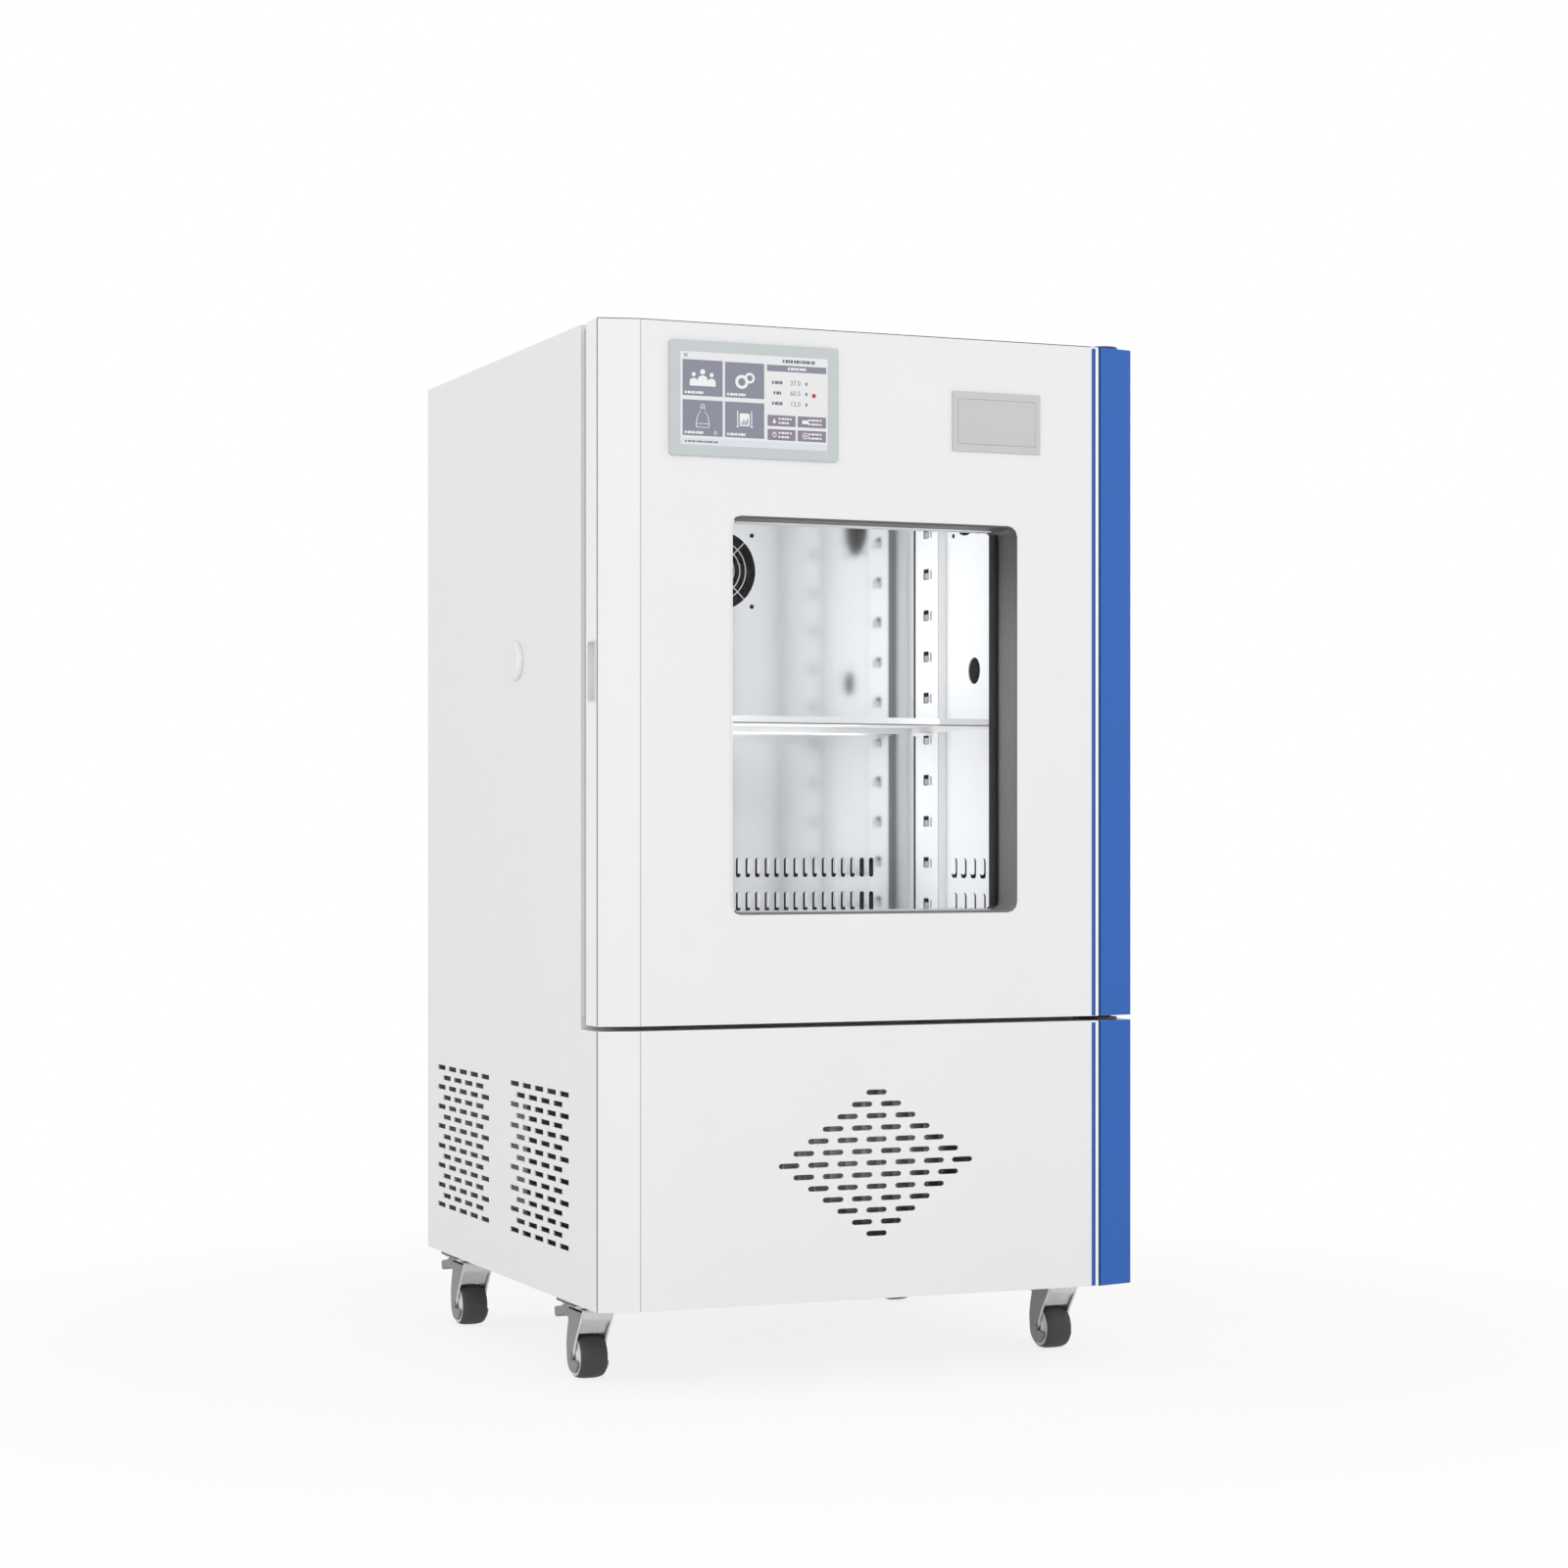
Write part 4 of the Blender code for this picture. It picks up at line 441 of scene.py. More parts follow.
@dataclass(frozen=True)
class Moulding(Finish):
    """Moulded plastic with a spark-eroded grain."""

    grain_per_metre: float = 1400.0
    grain_depth: float = 0.00005
    specular: float = 0.5
    grain_gloss: float = 0.06
    hand_per_metre: float = 18.0
    hand_shade: float = 0.02
    hand_gloss: float = 0.12

    def paint(self, tree: ShaderTree) -> Material:
        """Grain relief with a slow change of gloss from handling.

        Args:
            tree: Tree to fill.

        Returns:
            The material.
        """
        grain = tree.noise(self.grain_per_metre)
        hand = tree.noise(self.hand_per_metre)
        return tree.principled({
            "Base Color": tree.shade(self.colour, hand, self.hand_shade),
            "Roughness": self.gloss((hand, self.hand_gloss), (grain, self.grain_gloss)),
            "Specular IOR Level": self.specular,
            "Normal": tree.bump(grain, self.grain_depth, strength=0.4),
        })


@dataclass(frozen=True)
class Rubber(Finish):
    """Rubber with a dull skin, a fine grain and a trace of dust on what faces up."""

    dust: Colour = (0.30, 0.29, 0.28)
    dust_share: float = 0.12
    dust_slope: float = 0.2
    grain_per_metre: float = 1100.0
    grain_depth: float = 0.00006
    patch_per_metre: float = 60.0
    patch_gloss: float = 0.15

    def paint(self, tree: ShaderTree) -> Material:
        """Dusty dull colour with grain relief.

        Args:
            tree: Tree to fill.

        Returns:
            The material.
        """
        grain = tree.noise(self.grain_per_metre)
        patch = tree.noise(self.patch_per_metre, detail=4.0)
        up = tree.node("ShaderNodeNewGeometry", {}, output="Normal").axis("Z").between(self.dust_slope, 1.0)
        return tree.principled({
            "Base Color": tree.mix((patch * 0.5 + up) * self.dust_share, self.colour, self.dust),
            "Roughness": self.gloss((patch, self.patch_gloss)),
            "Normal": tree.bump(grain, self.grain_depth, strength=0.4),
        })


@dataclass(frozen=True)
class Reveal(PowderCoat):
    """Dark paint of the window's reveal, with painted shade that darkens it high up, darker at its inner edge, pale
    on the rims.
    """

    inner_depth: float = 0.050
    inner_blend: float = 0.009
    inner_shade: float = 0.20
    high_shade: float = 0.50
    high_from: float = 0.160
    high_to: float = 0.006
    rim_skin: float = 0.0008
    rim_width: float = 0.004
    back_depth: float = 0.045
    back_width: float = 0.010
    pale: Colour = (0.82, 0.82, 0.82)
    peel_gloss: float = 0.08

    def paint(self, tree: ShaderTree) -> Material:
        """Paint that darkens behind the glass line, with painted shade that darkens it upwards, and the door's colour
        on both rims.

        Args:
            tree: Tree to fill.

        Returns:
            The material.
        """
        low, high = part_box("window_frame")
        place = tree.place()
        x, y, z = place.axis("X"), place.axis("Y"), place.axis("Z")
        inner = y.between(low.y + self.inner_depth - self.inner_blend, low.y + self.inner_depth)
        # Painted shade: the colour darkens towards the top of the reveal.
        upper = z.between(high.z - self.high_from, high.z - self.high_to)
        peel = tree.noise(self.peel_per_metre, detail=1.5)
        rim = (y < low.y + self.rim_skin) * (x < low.x + self.rim_width)
        back = (y > low.y + self.back_depth) * (x < high.x - self.back_width)
        shaded = tuple(part * self.high_shade for part in self.colour)
        dark = tuple(part * self.inner_shade for part in self.colour)
        paint = tree.mix(inner, tree.mix(upper, self.colour, shaded), dark)
        return tree.principled({
            "Base Color": tree.mix(rim + back, paint, self.pale),
            "Roughness": self.gloss((peel, self.peel_gloss)),
            "Specular IOR Level": self.specular,
            "Normal": tree.bump(peel, self.peel_depth, self.peel_strength),
        })


@dataclass(frozen=True)
class PlugSkin(Finish):
    """White cap of a port plug on a black silicone stem."""

    stem: Colour = (0.012, 0.012, 0.013)
    grain_per_metre: float = 900.0
    grain_depth: float = 0.00004
    grain_gloss: float = 0.1

    def paint(self, tree: ShaderTree) -> Material:
        """White outside the cabinet's side, black silicone within.

        Args:
            tree: Tree to fill.

        Returns:
            The material.
        """
        half = -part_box("side_panel_left")[0].x
        reach = tree.node("ShaderNodeMath", {0: tree.place().axis("X")}, {"operation": "ABSOLUTE"})
        grain = tree.noise(self.grain_per_metre)
        return tree.principled({
            "Base Color": tree.mix(reach > half, self.stem, self.colour),
            "Roughness": self.gloss((grain, self.grain_gloss)),
            "Normal": tree.bump(grain, self.grain_depth, strength=0.3),
        })


@dataclass(frozen=True)
class ClearGlass(Finish):
    """Clear pane that reflects more at a grazing angle."""

    gloss_share: float = 0.15
    index: float = 1.45
    smear_per_metre: float = 26.0
    smear: float = 0.2

    def paint(self, tree: ShaderTree) -> Material:
        """Transparent shader with a gloss that follows Fresnel, smeared a little by cleaning.

        Args:
            tree: Tree to fill.

        Returns:
            The material.
        """
        smear = tree.noise(self.smear_per_metre, detail=4.0)
        gloss = tree.node("ShaderNodeBsdfGlossy", {"Color": (1.0, 1.0, 1.0), "Roughness": self.roughness})
        clear = tree.node("ShaderNodeBsdfTransparent", {"Color": self.colour})
        angle = tree.node("ShaderNodeFresnel", {"IOR": self.index})
        share = angle * (1 - self.smear / 2 + smear * self.smear) * self.gloss_share
        return tree.close(tree.node("ShaderNodeMixShader", {0: share, 1: clear, 2: gloss}))


@dataclass(frozen=True)
class LitPanel(Finish):
    """Part of the lit screen, which glows in its own colour behind a gloss."""

    glow: float = 1.0
    unlit: Colour = (0.01, 0.01, 0.012)
    specular: float = 0.15
    pixel_turns: float = 2600.0
    pixel_shade: float = 0.025

    def paint(self, tree: ShaderTree) -> Material:
        """Emission with the faint grid of a display's pixels over a dark gloss.

        Args:
            tree: Tree to fill.

        Returns:
            The material.
        """
        place = tree.place((self.pixel_turns,) * 3)
        columns = tree.node("ShaderNodeMath", {0: place.axis("X")}, {"operation": "SINE"})
        rows = tree.node("ShaderNodeMath", {0: place.axis("Z")}, {"operation": "SINE"})
        return tree.principled({
            "Base Color": self.unlit,
            "Roughness": self.roughness,
            "Specular IOR Level": self.specular,
            "Emission Color": tree.shade(self.colour, columns * rows * 0.5 + 0.5, self.pixel_shade),
            "Emission Strength": self.glow,
        })


@dataclass(frozen=True)
class Foam(Finish):
    """Rigid foam with closed cells."""

    cell_per_metre: float = 320.0
    cell_shade: float = 0.10
    cell_depth: float = 0.0006

    def paint(self, tree: ShaderTree) -> Material:
        """Cell relief and shade.

        Args:
            tree: Tree to fill.

        Returns:
            The material.
        """
        sockets = {"Vector": tree.place(), "Scale": self.cell_per_metre}
        cells = tree.node("ShaderNodeTexVoronoi", sockets, output="Distance")
        return tree.principled({
            "Base Color": tree.shade(self.colour, cells, self.cell_shade),
            "Roughness": self.roughness,
            "Normal": tree.bump(cells, self.cell_depth, strength=0.5),
        })


@dataclass(frozen=True)
class TwoTone(Finish):
    """Wheel with a rubber tyre round a plastic hub, told apart by the distance from its axle."""

    hub: Colour = (0.82, 0.82, 0.82)
    hub_share: float = 0.87
    hub_blend: float = 0.01
    grain_per_metre: float = 1000.0
    grain_depth: float = 0.00005
    scuff_per_metre: float = 90.0
    scuff_shade: float = 0.25
    scuff_gloss: float = 0.2

    def paint(self, tree: ShaderTree) -> Material:
        """Tyre and hub colours by the radius in the wheel's own box.

        Args:
            tree: Tree to fill.

        Returns:
            The material.
        """
        spot = tree.node("ShaderNodeTexCoord", {}, output="Generated") - (0.5, 0.5, 0.5)
        flat = spot * (0.0, 2.0, 2.0)
        radius = tree.node("ShaderNodeVectorMath", {0: flat}, {"operation": "LENGTH"}, output="Value")
        tyre = radius.between(self.hub_share - self.hub_blend, self.hub_share + self.hub_blend)
        grain = tree.noise(self.grain_per_metre)
        scuff = tree.noise(self.scuff_per_metre, detail=4.0)
        return tree.principled({
            "Base Color": tree.mix(tyre, self.hub, tree.shade(self.colour, scuff, self.scuff_shade)),
            "Roughness": self.gloss((scuff, self.scuff_gloss)),
            "Normal": tree.bump(grain, self.grain_depth, strength=0.4),
        })


WHITE_COAT = PowderCoat("white_coat", "white_powder_coat", (0.82, 0.82, 0.82), 0.42)
BLUE_COAT = PowderCoat("blue_coat", "blue_trim", (0.030, 0.130, 0.470), 0.40, mottle=0.03, coat=0.0, specular=0.2)
INNER_COAT = PowderCoat("inner_coat", "white_powder_coat", (0.88, 0.88, 0.88), 0.45)
STRIPE = PowderCoat("stripe_blue", "blue_trim", (0.026, 0.104, 0.380), 0.40, mottle=0.03, coat=0.0, specular=0.2)
# Painted light: a whiter copy of the door's coat for the bright gap beside the stripe.
GAP_PAINTED_LIGHT = PowderCoat("gap_painted_light", "white_powder_coat", (0.95, 0.95, 0.95), 0.42)
FOLD = PowderCoat("fold_shade", "white_powder_coat", (0.30, 0.30, 0.30), 0.5)
EDGE = PowderCoat("edge_shade", "white_powder_coat", (0.085, 0.085, 0.087), 0.5, specular=0.2)
# Painted shade: a darker copy of the blue trim for the shade along the trim's edge.
NAVY_EDGE_SHADE = PowderCoat("navy_edge_painted_shade", "blue_trim", (0.010, 0.024, 0.095), 0.45, coat=0.0, specular=0.1)
MIRROR = SheetSteel("mirror_steel", "mirror_steel", (0.955, 0.957, 0.960), 0.004, (700.0, 700.0, 20.0), 0.0000001,
                    0.000001, 1.0)
POLISHED = SheetSteel("polished_steel", "mirror_steel", (0.82, 0.825, 0.83), 0.45, (700.0, 700.0, 20.0), 0.00001,
                      0.0002, 0.10)
BRUSHED = SheetSteel("brushed_steel", "brushed_steel", (0.90, 0.905, 0.91), 0.26, metallic=0.40)
SHELF_STEEL = SheetSteel("shelf_steel", "brushed_steel", (0.74, 0.74, 0.74), 0.50, metallic=0.0)
WIRE_STEEL = SheetSteel("wire_steel", "brushed_steel", (0.62, 0.625, 0.63), 0.30, metallic=0.9)
# Painted shade and reflection: a dark copy of the steel for dark lines and strips on the uprights and the shelf's
# front.
FLANK_SHADE = SheetSteel("flank_painted_shade", "brushed_steel", (0.30, 0.305, 0.31), 0.35, metallic=0.5)
ZINC = ZincPlate("zinc", "zinc_plate", (0.60, 0.61, 0.62), 0.34)
# Painted light: a pale, less metallic copy of the zinc for the faces of the forks that face the front.
LIT_ZINC = ZincPlate("zinc_painted_light", "zinc_plate", (0.84, 0.84, 0.84), 0.45, metallic=0.10)
# Painted shade: a grey copy of the zinc for the sides of the fork cheeks and brake levers.
SHADED_ZINC = ZincPlate("zinc_painted_shade", "zinc_plate", (0.245, 0.252, 0.265), 0.48, metallic=0.4)
# Painted shade: a dark copy of the zinc for the caster plates under the cabinet.
DEEP_SHADED_ZINC = ZincPlate("zinc_painted_deep_shade", "zinc_plate", (0.105, 0.105, 0.110), 0.5, metallic=0.4)
# Painted light: a pale matte copy of the steel that stands for the lit duct seen through the vent slots.
VENT_PAINTED_LIGHT = SheetSteel("vent_painted_light", "brushed_steel", (0.80, 0.805, 0.81), 0.50, metallic=0.0)
DARK_HINGE = PowderCoat("hinge_paint", "zinc_plate", (0.060, 0.058, 0.055), 0.45, coat=0.0, specular=0.25)
REVEAL = Reveal("reveal_paint", "dark_reveal", (0.164, 0.164, 0.166), 0.50, coat=0.0, specular=0.3)
BEZEL = Moulding("bezel_moulding", "bezel_grey", (0.540, 0.572, 0.588), 0.42)
PRINTER = Moulding("printer_moulding", "bezel_grey", (0.560, 0.560, 0.560), 0.46)
SEAL = Rubber("seal_rubber", "seal_rubber", (0.50, 0.50, 0.50), 0.62, dust_share=0.05)
TYRE = TwoTone("tyre_and_hub", "tyre_rubber", (0.050, 0.050, 0.052), 0.62)
BLACK = Moulding("black_moulding", "black_plastic", (0.008, 0.008, 0.009), 0.50, specular=0.12)
GASKET = Moulding("gasket_black", "black_plastic", (0.026, 0.026, 0.026), 0.60, specular=0.1)
SHADOW = Moulding("shadow_black", "black_plastic", (0.008, 0.008, 0.008), 0.70, specular=0.05)
WHITE_PLASTIC = Moulding("white_moulding", "white_plastic", (0.80, 0.80, 0.80), 0.42)
PLUG = PlugSkin("port_plug_skin", "white_plastic", (0.82, 0.82, 0.82), 0.45)
GLASS = ClearGlass("clear_glass", "window_glass", (0.985, 0.987, 0.990), 0.03)
FOAM = Foam("rigid_foam", "foam", (0.80, 0.72, 0.50), 0.9)
FIN = SheetSteel("fin_aluminium", "aluminium_fin", (0.75, 0.76, 0.77), 0.36)
ENAMEL = PowderCoat("black_enamel", "black_enamel", (0.020, 0.020, 0.022), 0.32, coat=0.5)
SCREEN = LitPanel("screen_field", "display_glass", (0.80, 0.80, 0.81), 0.20)
TILE = LitPanel("screen_tile", "display_glass", (0.262, 0.268, 0.330), 0.20)
BUTTON = LitPanel("screen_button", "display_glass", (0.262, 0.236, 0.305), 0.20)
STRIP = LitPanel("screen_strip", "display_glass", (0.70, 0.74, 0.78), 0.20)
MARK = LitPanel("screen_mark", "display_glass", (0.86, 0.86, 0.87), 0.20)
INK = LitPanel("screen_ink", "display_glass", (0.15, 0.16, 0.19), 0.20)
ALARM = LitPanel("screen_alarm", "display_glass", (0.60, 0.03, 0.03), 0.20)

UPRIGHTS = tuple(f"shelf_upright_{side}_{place}" for side in ("left", "right") for place in ("front", "rear"))
DRESSED: dict[Finish, tuple[str, ...]] = {
    WHITE_COAT: ("side_panel_left", "side_panel_right", "top_panel", "back_panel", "lower_front_panel",
                 "front_frame", "door_panel"),
    INNER_COAT: ("door_body",),
    BLUE_COAT: ("lower_trim", "door_trim"),
    POLISHED: ("chamber_liner", *UPRIGHTS),
    MIRROR: ("duct_panel",),
    SHELF_STEEL: ("shelf",),
    BRUSHED: ("rear_fan_guard", "heater_element"),
    ZINC: ("base_tray", "control_box"),
    DARK_HINGE: ("upper_hinge", "lower_hinge"),
    FOAM: ("insulation_jacket",),
    BLACK: ("rear_fan_frame", "rear_fan_rotor", "side_fan_frame", "side_fan_rotor", "condenser_fan_frame",
            "condenser_fan_rotor", "mains_inlet"),
    FIN: ("evaporator", "condenser"),
    ENAMEL: ("compressor",),
    WHITE_PLASTIC: ("handle_cup",),
    REVEAL: ("window_frame",),
    GLASS: ("window_glass",),
    SEAL: ("door_seal",),
    BEZEL: ("screen_bezel",),
    SCREEN: ("screen_display",),
    PRINTER: ("printer_frame", "printer_cover"),
    PLUG: ("port_plug_left", "port_plug_right"),
    # Painted shade and light: the caster plates, forks and pedals take dark, lit and shaded copies of the zinc.
    DEEP_SHADED_ZINC: tuple(f"caster_plate_{corner}" for corner in CORNERS),
    LIT_ZINC: tuple(f"caster_fork_{corner}" for corner in CORNERS),
    TYRE: tuple(f"caster_wheel_{corner}" for corner in CORNERS),
    SHADED_ZINC: tuple(f"brake_pedal_{corner}" for corner in CORNERS),
}


def middle_of(node: str) -> Vector:
    """Middle of a CAD node's box."""
    low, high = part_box(node)
    return (low + high) / 2


def arc(centre: Point, radius: float, start: float, end: float, steps: int) -> list[Point]:
    """Points on an arc, both ends included."""
    angles = (math.radians(start + (end - start) * step / steps) for step in range(steps + 1))
    return [(centre[0] + radius * math.cos(a), centre[1] + radius * math.sin(a)) for a in angles]


def shifted(origin: Point, steps: Sequence[Point]) -> list[Point]:
    """Points at given steps from an origin."""
    return [(origin[0] + across, origin[1] + up) for across, up in steps]


def circle(centre: Point, radius: float, steps: int, start: float = 0.0) -> list[Point]:
    """Points round a circle."""
    return arc(centre, radius, start, start + 360, steps)[:-1]


def rounded(low: Point, high: Point, radius: float, steps: int = 4) -> list[Point]:
    """Rectangle with round corners, counter-clockwise.

    Args:
        low: Lower left corner.
        high: Upper right corner.
        radius: Radius of the corners.
        steps: Steps in each corner.

    Returns:
        The outline.
    """
    inner = ((high[0] - radius, low[1] + radius), (high[0] - radius, high[1] - radius),
             (low[0] + radius, high[1] - radius), (low[0] + radius, low[1] + radius))
    return [point for turn, centre in enumerate(inner)
            for point in arc(centre, radius, turn * 90 - 90, turn * 90, steps)]


def smooth_line(points: list[Point], steps: int = 5, closed: bool = True) -> list[Point]:
    """Catmull-Rom curve through the points.

    Args:
        points: Points that the curve passes through.
        steps: Steps between neighbouring points.
        closed: Whether the last point joins the first.

    Returns:
        The finer line.
    """
    count = len(points)
    line = []
    for index in range(count if closed else count - 1):
        picks = [(index + shift) % count if closed else min(max(index + shift, 0), count - 1)
                 for shift in (-1, 0, 1, 2)]
        a, b, c, d = (Vector(points[pick]) for pick in picks)
        for step in range(steps):
            t = step / steps
            spot = 0.5 * ((2 * b) + (c - a) * t + (2 * a - 5 * b + 4 * c - d) * t**2
                          + (3 * b - a - 3 * c + d) * t**3)
            line.append(tuple(spot))
    return line if closed else line + [points[-1]]


def drawn_in(outline: list[Point], cut: float) -> list[Point]:
    """Outline moved inwards by a distance.

    Args:
        outline: Corners in order, either way round.
        cut: Distance inwards.

    Returns:
        The smaller outline, corner for corner.
    """
    if cut == 0:
        return outline
    area = sum(a[0] * b[1] - b[0] * a[1] for a, b in zip(outline, outline[1:] + outline[:1]))
    turn = 1 if area > 0 else -1
    moved = []
    for before, corner, after in zip(outline[-1:] + outline[:-1], outline, outline[1:] + outline[:1]):
        sides = [(Vector(corner) - Vector(before)).normalized(), (Vector(after) - Vector(corner)).normalized()]
        inward = [Vector((-side.y, side.x)) * turn for side in sides]
        middle = (inward[0] + inward[1]).normalized()
        moved.append(tuple(Vector(corner) + middle * cut / max(middle.dot(inward[0]), 0.5)))
    return moved


class Shape:
    """Mesh that grows by one solid after another and ends as a piece on a body."""

    def __init__(self) -> None:
        """Start with no solids."""
        self.mesh = bmesh.new()

    def _added(self, before: int, turn: Matrix) -> "Shape":
        """Turn the newest solid's faces outwards and put it in its place.

        Args:
            before: Number of vertices before the solid was added.
            turn: Matrix that places it.

        Returns:
            This shape.
        """
        self.mesh.verts.ensure_lookup_table()
        fresh = self.mesh.verts[before:]
        inside = set(fresh)
        bmesh.ops.transform(self.mesh, matrix=turn, verts=fresh)
        bmesh.ops.recalc_face_normals(self.mesh, faces=[face for face in self.mesh.faces if face.verts[0] in inside])
        return self

    def skin(self, loops: list[list[Place]], turn: Matrix, closed: bool = False) -> "Shape":
        """Add a solid whose skin runs over loops of as many points.

        Args:
            loops: Loops in order along the solid.
            turn: Matrix that places it.
            closed: Whether the last loop joins the first, or else both ends are capped.

        Returns:
            This shape.
        """
        before = len(self.mesh.verts)
        rows = [[self.mesh.verts.new(point) for point in loop] for loop in loops]
        for first, second in zip(rows, rows[1:] + (rows[:1] if closed else [])):
            for index, corner in enumerate(first):
                follow = (index + 1) % len(first)
                self.mesh.faces.new((corner, first[follow], second[follow], second[index]))
        if not closed:
            self.mesh.faces.new(rows[0])
            self.mesh.faces.new(rows[-1])
        return self._added(before, turn)

    def prism(self, outline: list[Point], low: float, high: float, plane: Plane = Plane.FRONT,
              edge: float = 0.0, turn: Matrix | None = None) -> "Shape":
        """Add a flat outline with a thickness.

        Args:
            outline: Corners in the plane's own axes.
            low: Lowest place along the plane's normal.
            high: Highest place along the plane's normal.
            plane: Plane of the outline.
            edge: Radius of the edges.
            turn: Further placing after the plane's own.

        Returns:
            This shape.
        """
        levels = [(0.0, low), (0.0, high)]
        if edge > 0:
            soft = [(edge * (1 - math.sin(a)), edge * (1 - math.cos(a))) for a in (0.0, math.pi / 4, math.pi / 2)]
            levels = [(cut, low + rise) for cut, rise in soft] + [(cut, high - rise) for cut, rise in reversed(soft)]
        loops = [[(u, v, w) for u, v in drawn_in(outline, cut)] for cut, w in levels]
        return self.skin(loops, (turn or Matrix.Identity(4)) @ plane.matrix())

    def ring(self, outer: list[Point], inner: list[Point], low: float, high: float,
             plane: Plane = Plane.FRONT) -> "Shape":
        """Add a frame between two outlines of as many points."""
        levels = ((outer, low), (outer, high), (inner, high), (inner, low))
        return self.skin([[(u, v, w) for u, v in line] for line, w in levels], plane.matrix(), closed=True)

    def block(self, low: Place, high: Place, edge: float = 0.0, turn: Matrix | None = None) -> "Shape":
        """Add a box with rounded edges.

        Args:
            low: Lowest corner.
            high: Highest corner.
            edge: Radius of the edges.
            turn: Placing of the box.

        Returns:
            This shape.
        """
        outline = [(low[0], low[1]), (high[0], low[1]), (high[0], high[1]), (low[0], high[1])]
        if edge > 0:
            outline = rounded(low[:2], high[:2], edge, 2)
        return self.prism(outline, low[2], high[2], Plane.PLAN, edge * 0.9, turn)

    def turned(self, profile: list[Point], turn: Matrix, steps: int = 24) -> "Shape":
        """Add a solid of revolution about the placing's Z axis.

        Args:
            profile: Radius and height points, which may start and end on the axis.
            turn: Placing of the axis.
            steps: Steps round the axis.

        Returns:
            This shape.
        """
        before = len(self.mesh.verts)
        poles = {index: self.mesh.verts.new((0, 0, height))
                 for index, (radius, height) in enumerate(profile) if radius == 0}
        loops = []
        for step in range(steps):
            angle = math.tau * step / steps
            loops.append([poles.get(i) or self.mesh.verts.new((r * math.cos(angle), r * math.sin(angle), h))
                          for i, (r, h) in enumerate(profile)])
        spans = len(profile) - 1 if poles else len(profile)
        for step, loop in enumerate(loops):
            after = loops[(step + 1) % steps]
            for index in range(spans):
                follow = (index + 1) % len(profile)
                corners = (loop[index], loop[follow], after[follow], after[index])
                self.mesh.faces.new(tuple(dict.fromkeys(corners)))
        return self._added(before, turn)

    def tube(self, points: list[Place], radius: float, sides: int = 8, closed: bool = False) -> "Shape":
        """Add a round wire or pipe along a line.

        Args:
            points: Centre line.
            radius: Radius of the wire.
            sides: Sides of its section.
            closed: Whether the line joins up.

        Returns:
            This shape.
        """
        path = [Vector(point) for point in points]
        last = len(path) - 1
        rings = []
        side = None
        for index, spot in enumerate(path):
            ahead = path[(index + 1) % len(path)] if closed else path[min(index + 1, last)]
            behind = path[index - 1] if closed or index else path[0]
            along = (ahead - behind).normalized()
            side = along.orthogonal() if side is None else side
            side = (side - along * side.dot(along)).normalized()
            up = along.cross(side)
            rings.append([spot + radius * (side * math.cos(a) + up * math.sin(a))
                          for a in (math.tau * k / sides for k in range(sides))])
        return self.skin(rings, Matrix.Identity(4), closed)

    def piece(self, name: str, body: str, finish: Finish, angle: float = 35.0) -> Piece:
        """End the shape as a piece that rides on a body.

        Args:
            name: Name of the piece.
            body: CAD body that carries it.
            finish: Finish of the piece.
            angle: Largest angle in degrees that is shaded smooth.

        Returns:
            The new object.
        """
        mesh = bpy.data.meshes.new(name)
        self.mesh.to_mesh(mesh)
        self.mesh.free()
        mesh.shade_smooth()
        mesh.set_sharp_from_angle(angle=math.radians(angle))
        return as_piece(mesh, body, finish)


def as_piece(mesh: bpy.types.Mesh, body: str, finish: Finish) -> Piece:
    """Put a mesh in the scene as a piece that rides on a body.

    Args:
        mesh: Mesh in frame coordinates, whose name the piece takes.
        body: CAD body that carries it.
        finish: Finish of the piece.

    Returns:
        The new object.
    """
    mesh.materials.append(finish.material())
    item = bpy.data.objects.new(mesh.name, mesh)
    bpy.context.scene.collection.objects.link(item)
    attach(item, body)
    return item


@dataclass(frozen=True)
class ScrewHead:
    """Pan head of a cross-recess screw."""

    radius: float = 0.003
    height: float = 0.0018
    slot_share: float = 0.62

    def add(self, shape: Shape, spot: Place, out: Place) -> None:
        """Add the head to a shape.

        Args:
            shape: Shape that takes the head.
            spot: Middle of the head's seat.
            out: Direction in which the head stands out.
        """
        turn = Matrix.Translation(spot) @ Vector((0, 0, 1)).rotation_difference(Vector(out)).to_matrix().to_4x4()
        reach, tall = self.radius, self.height
        profile = [(0, tall * 0.55), (reach * 0.22, tall * 0.62), (reach * 0.30, tall), (reach * 0.62, tall * 0.9),
                   (reach * 0.9, tall * 0.6), (reach, 0.0), (0, 0.0)]
        shape.turned(profile, turn, 14)
        bar = reach * self.slot_share
        for first, second in ((bar, bar * 0.2), (bar * 0.2, bar)):
            shape.block((-first, -second, tall * 0.5), (first, second, tall * 0.66), turn=turn)


class SubAssembly(ABC):
    """Group of the incubator's pieces that is dressed together."""

    @abstractmethod
    def build(self) -> Pieces:
        """Make the group's own pieces and hand them back."""

    def report(self) -> None:
        """Build the group and log each of its pieces."""
        for item in self.build():
            LOG.info("%s: %s on %s", type(self).__name__, item.name, item["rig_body"])


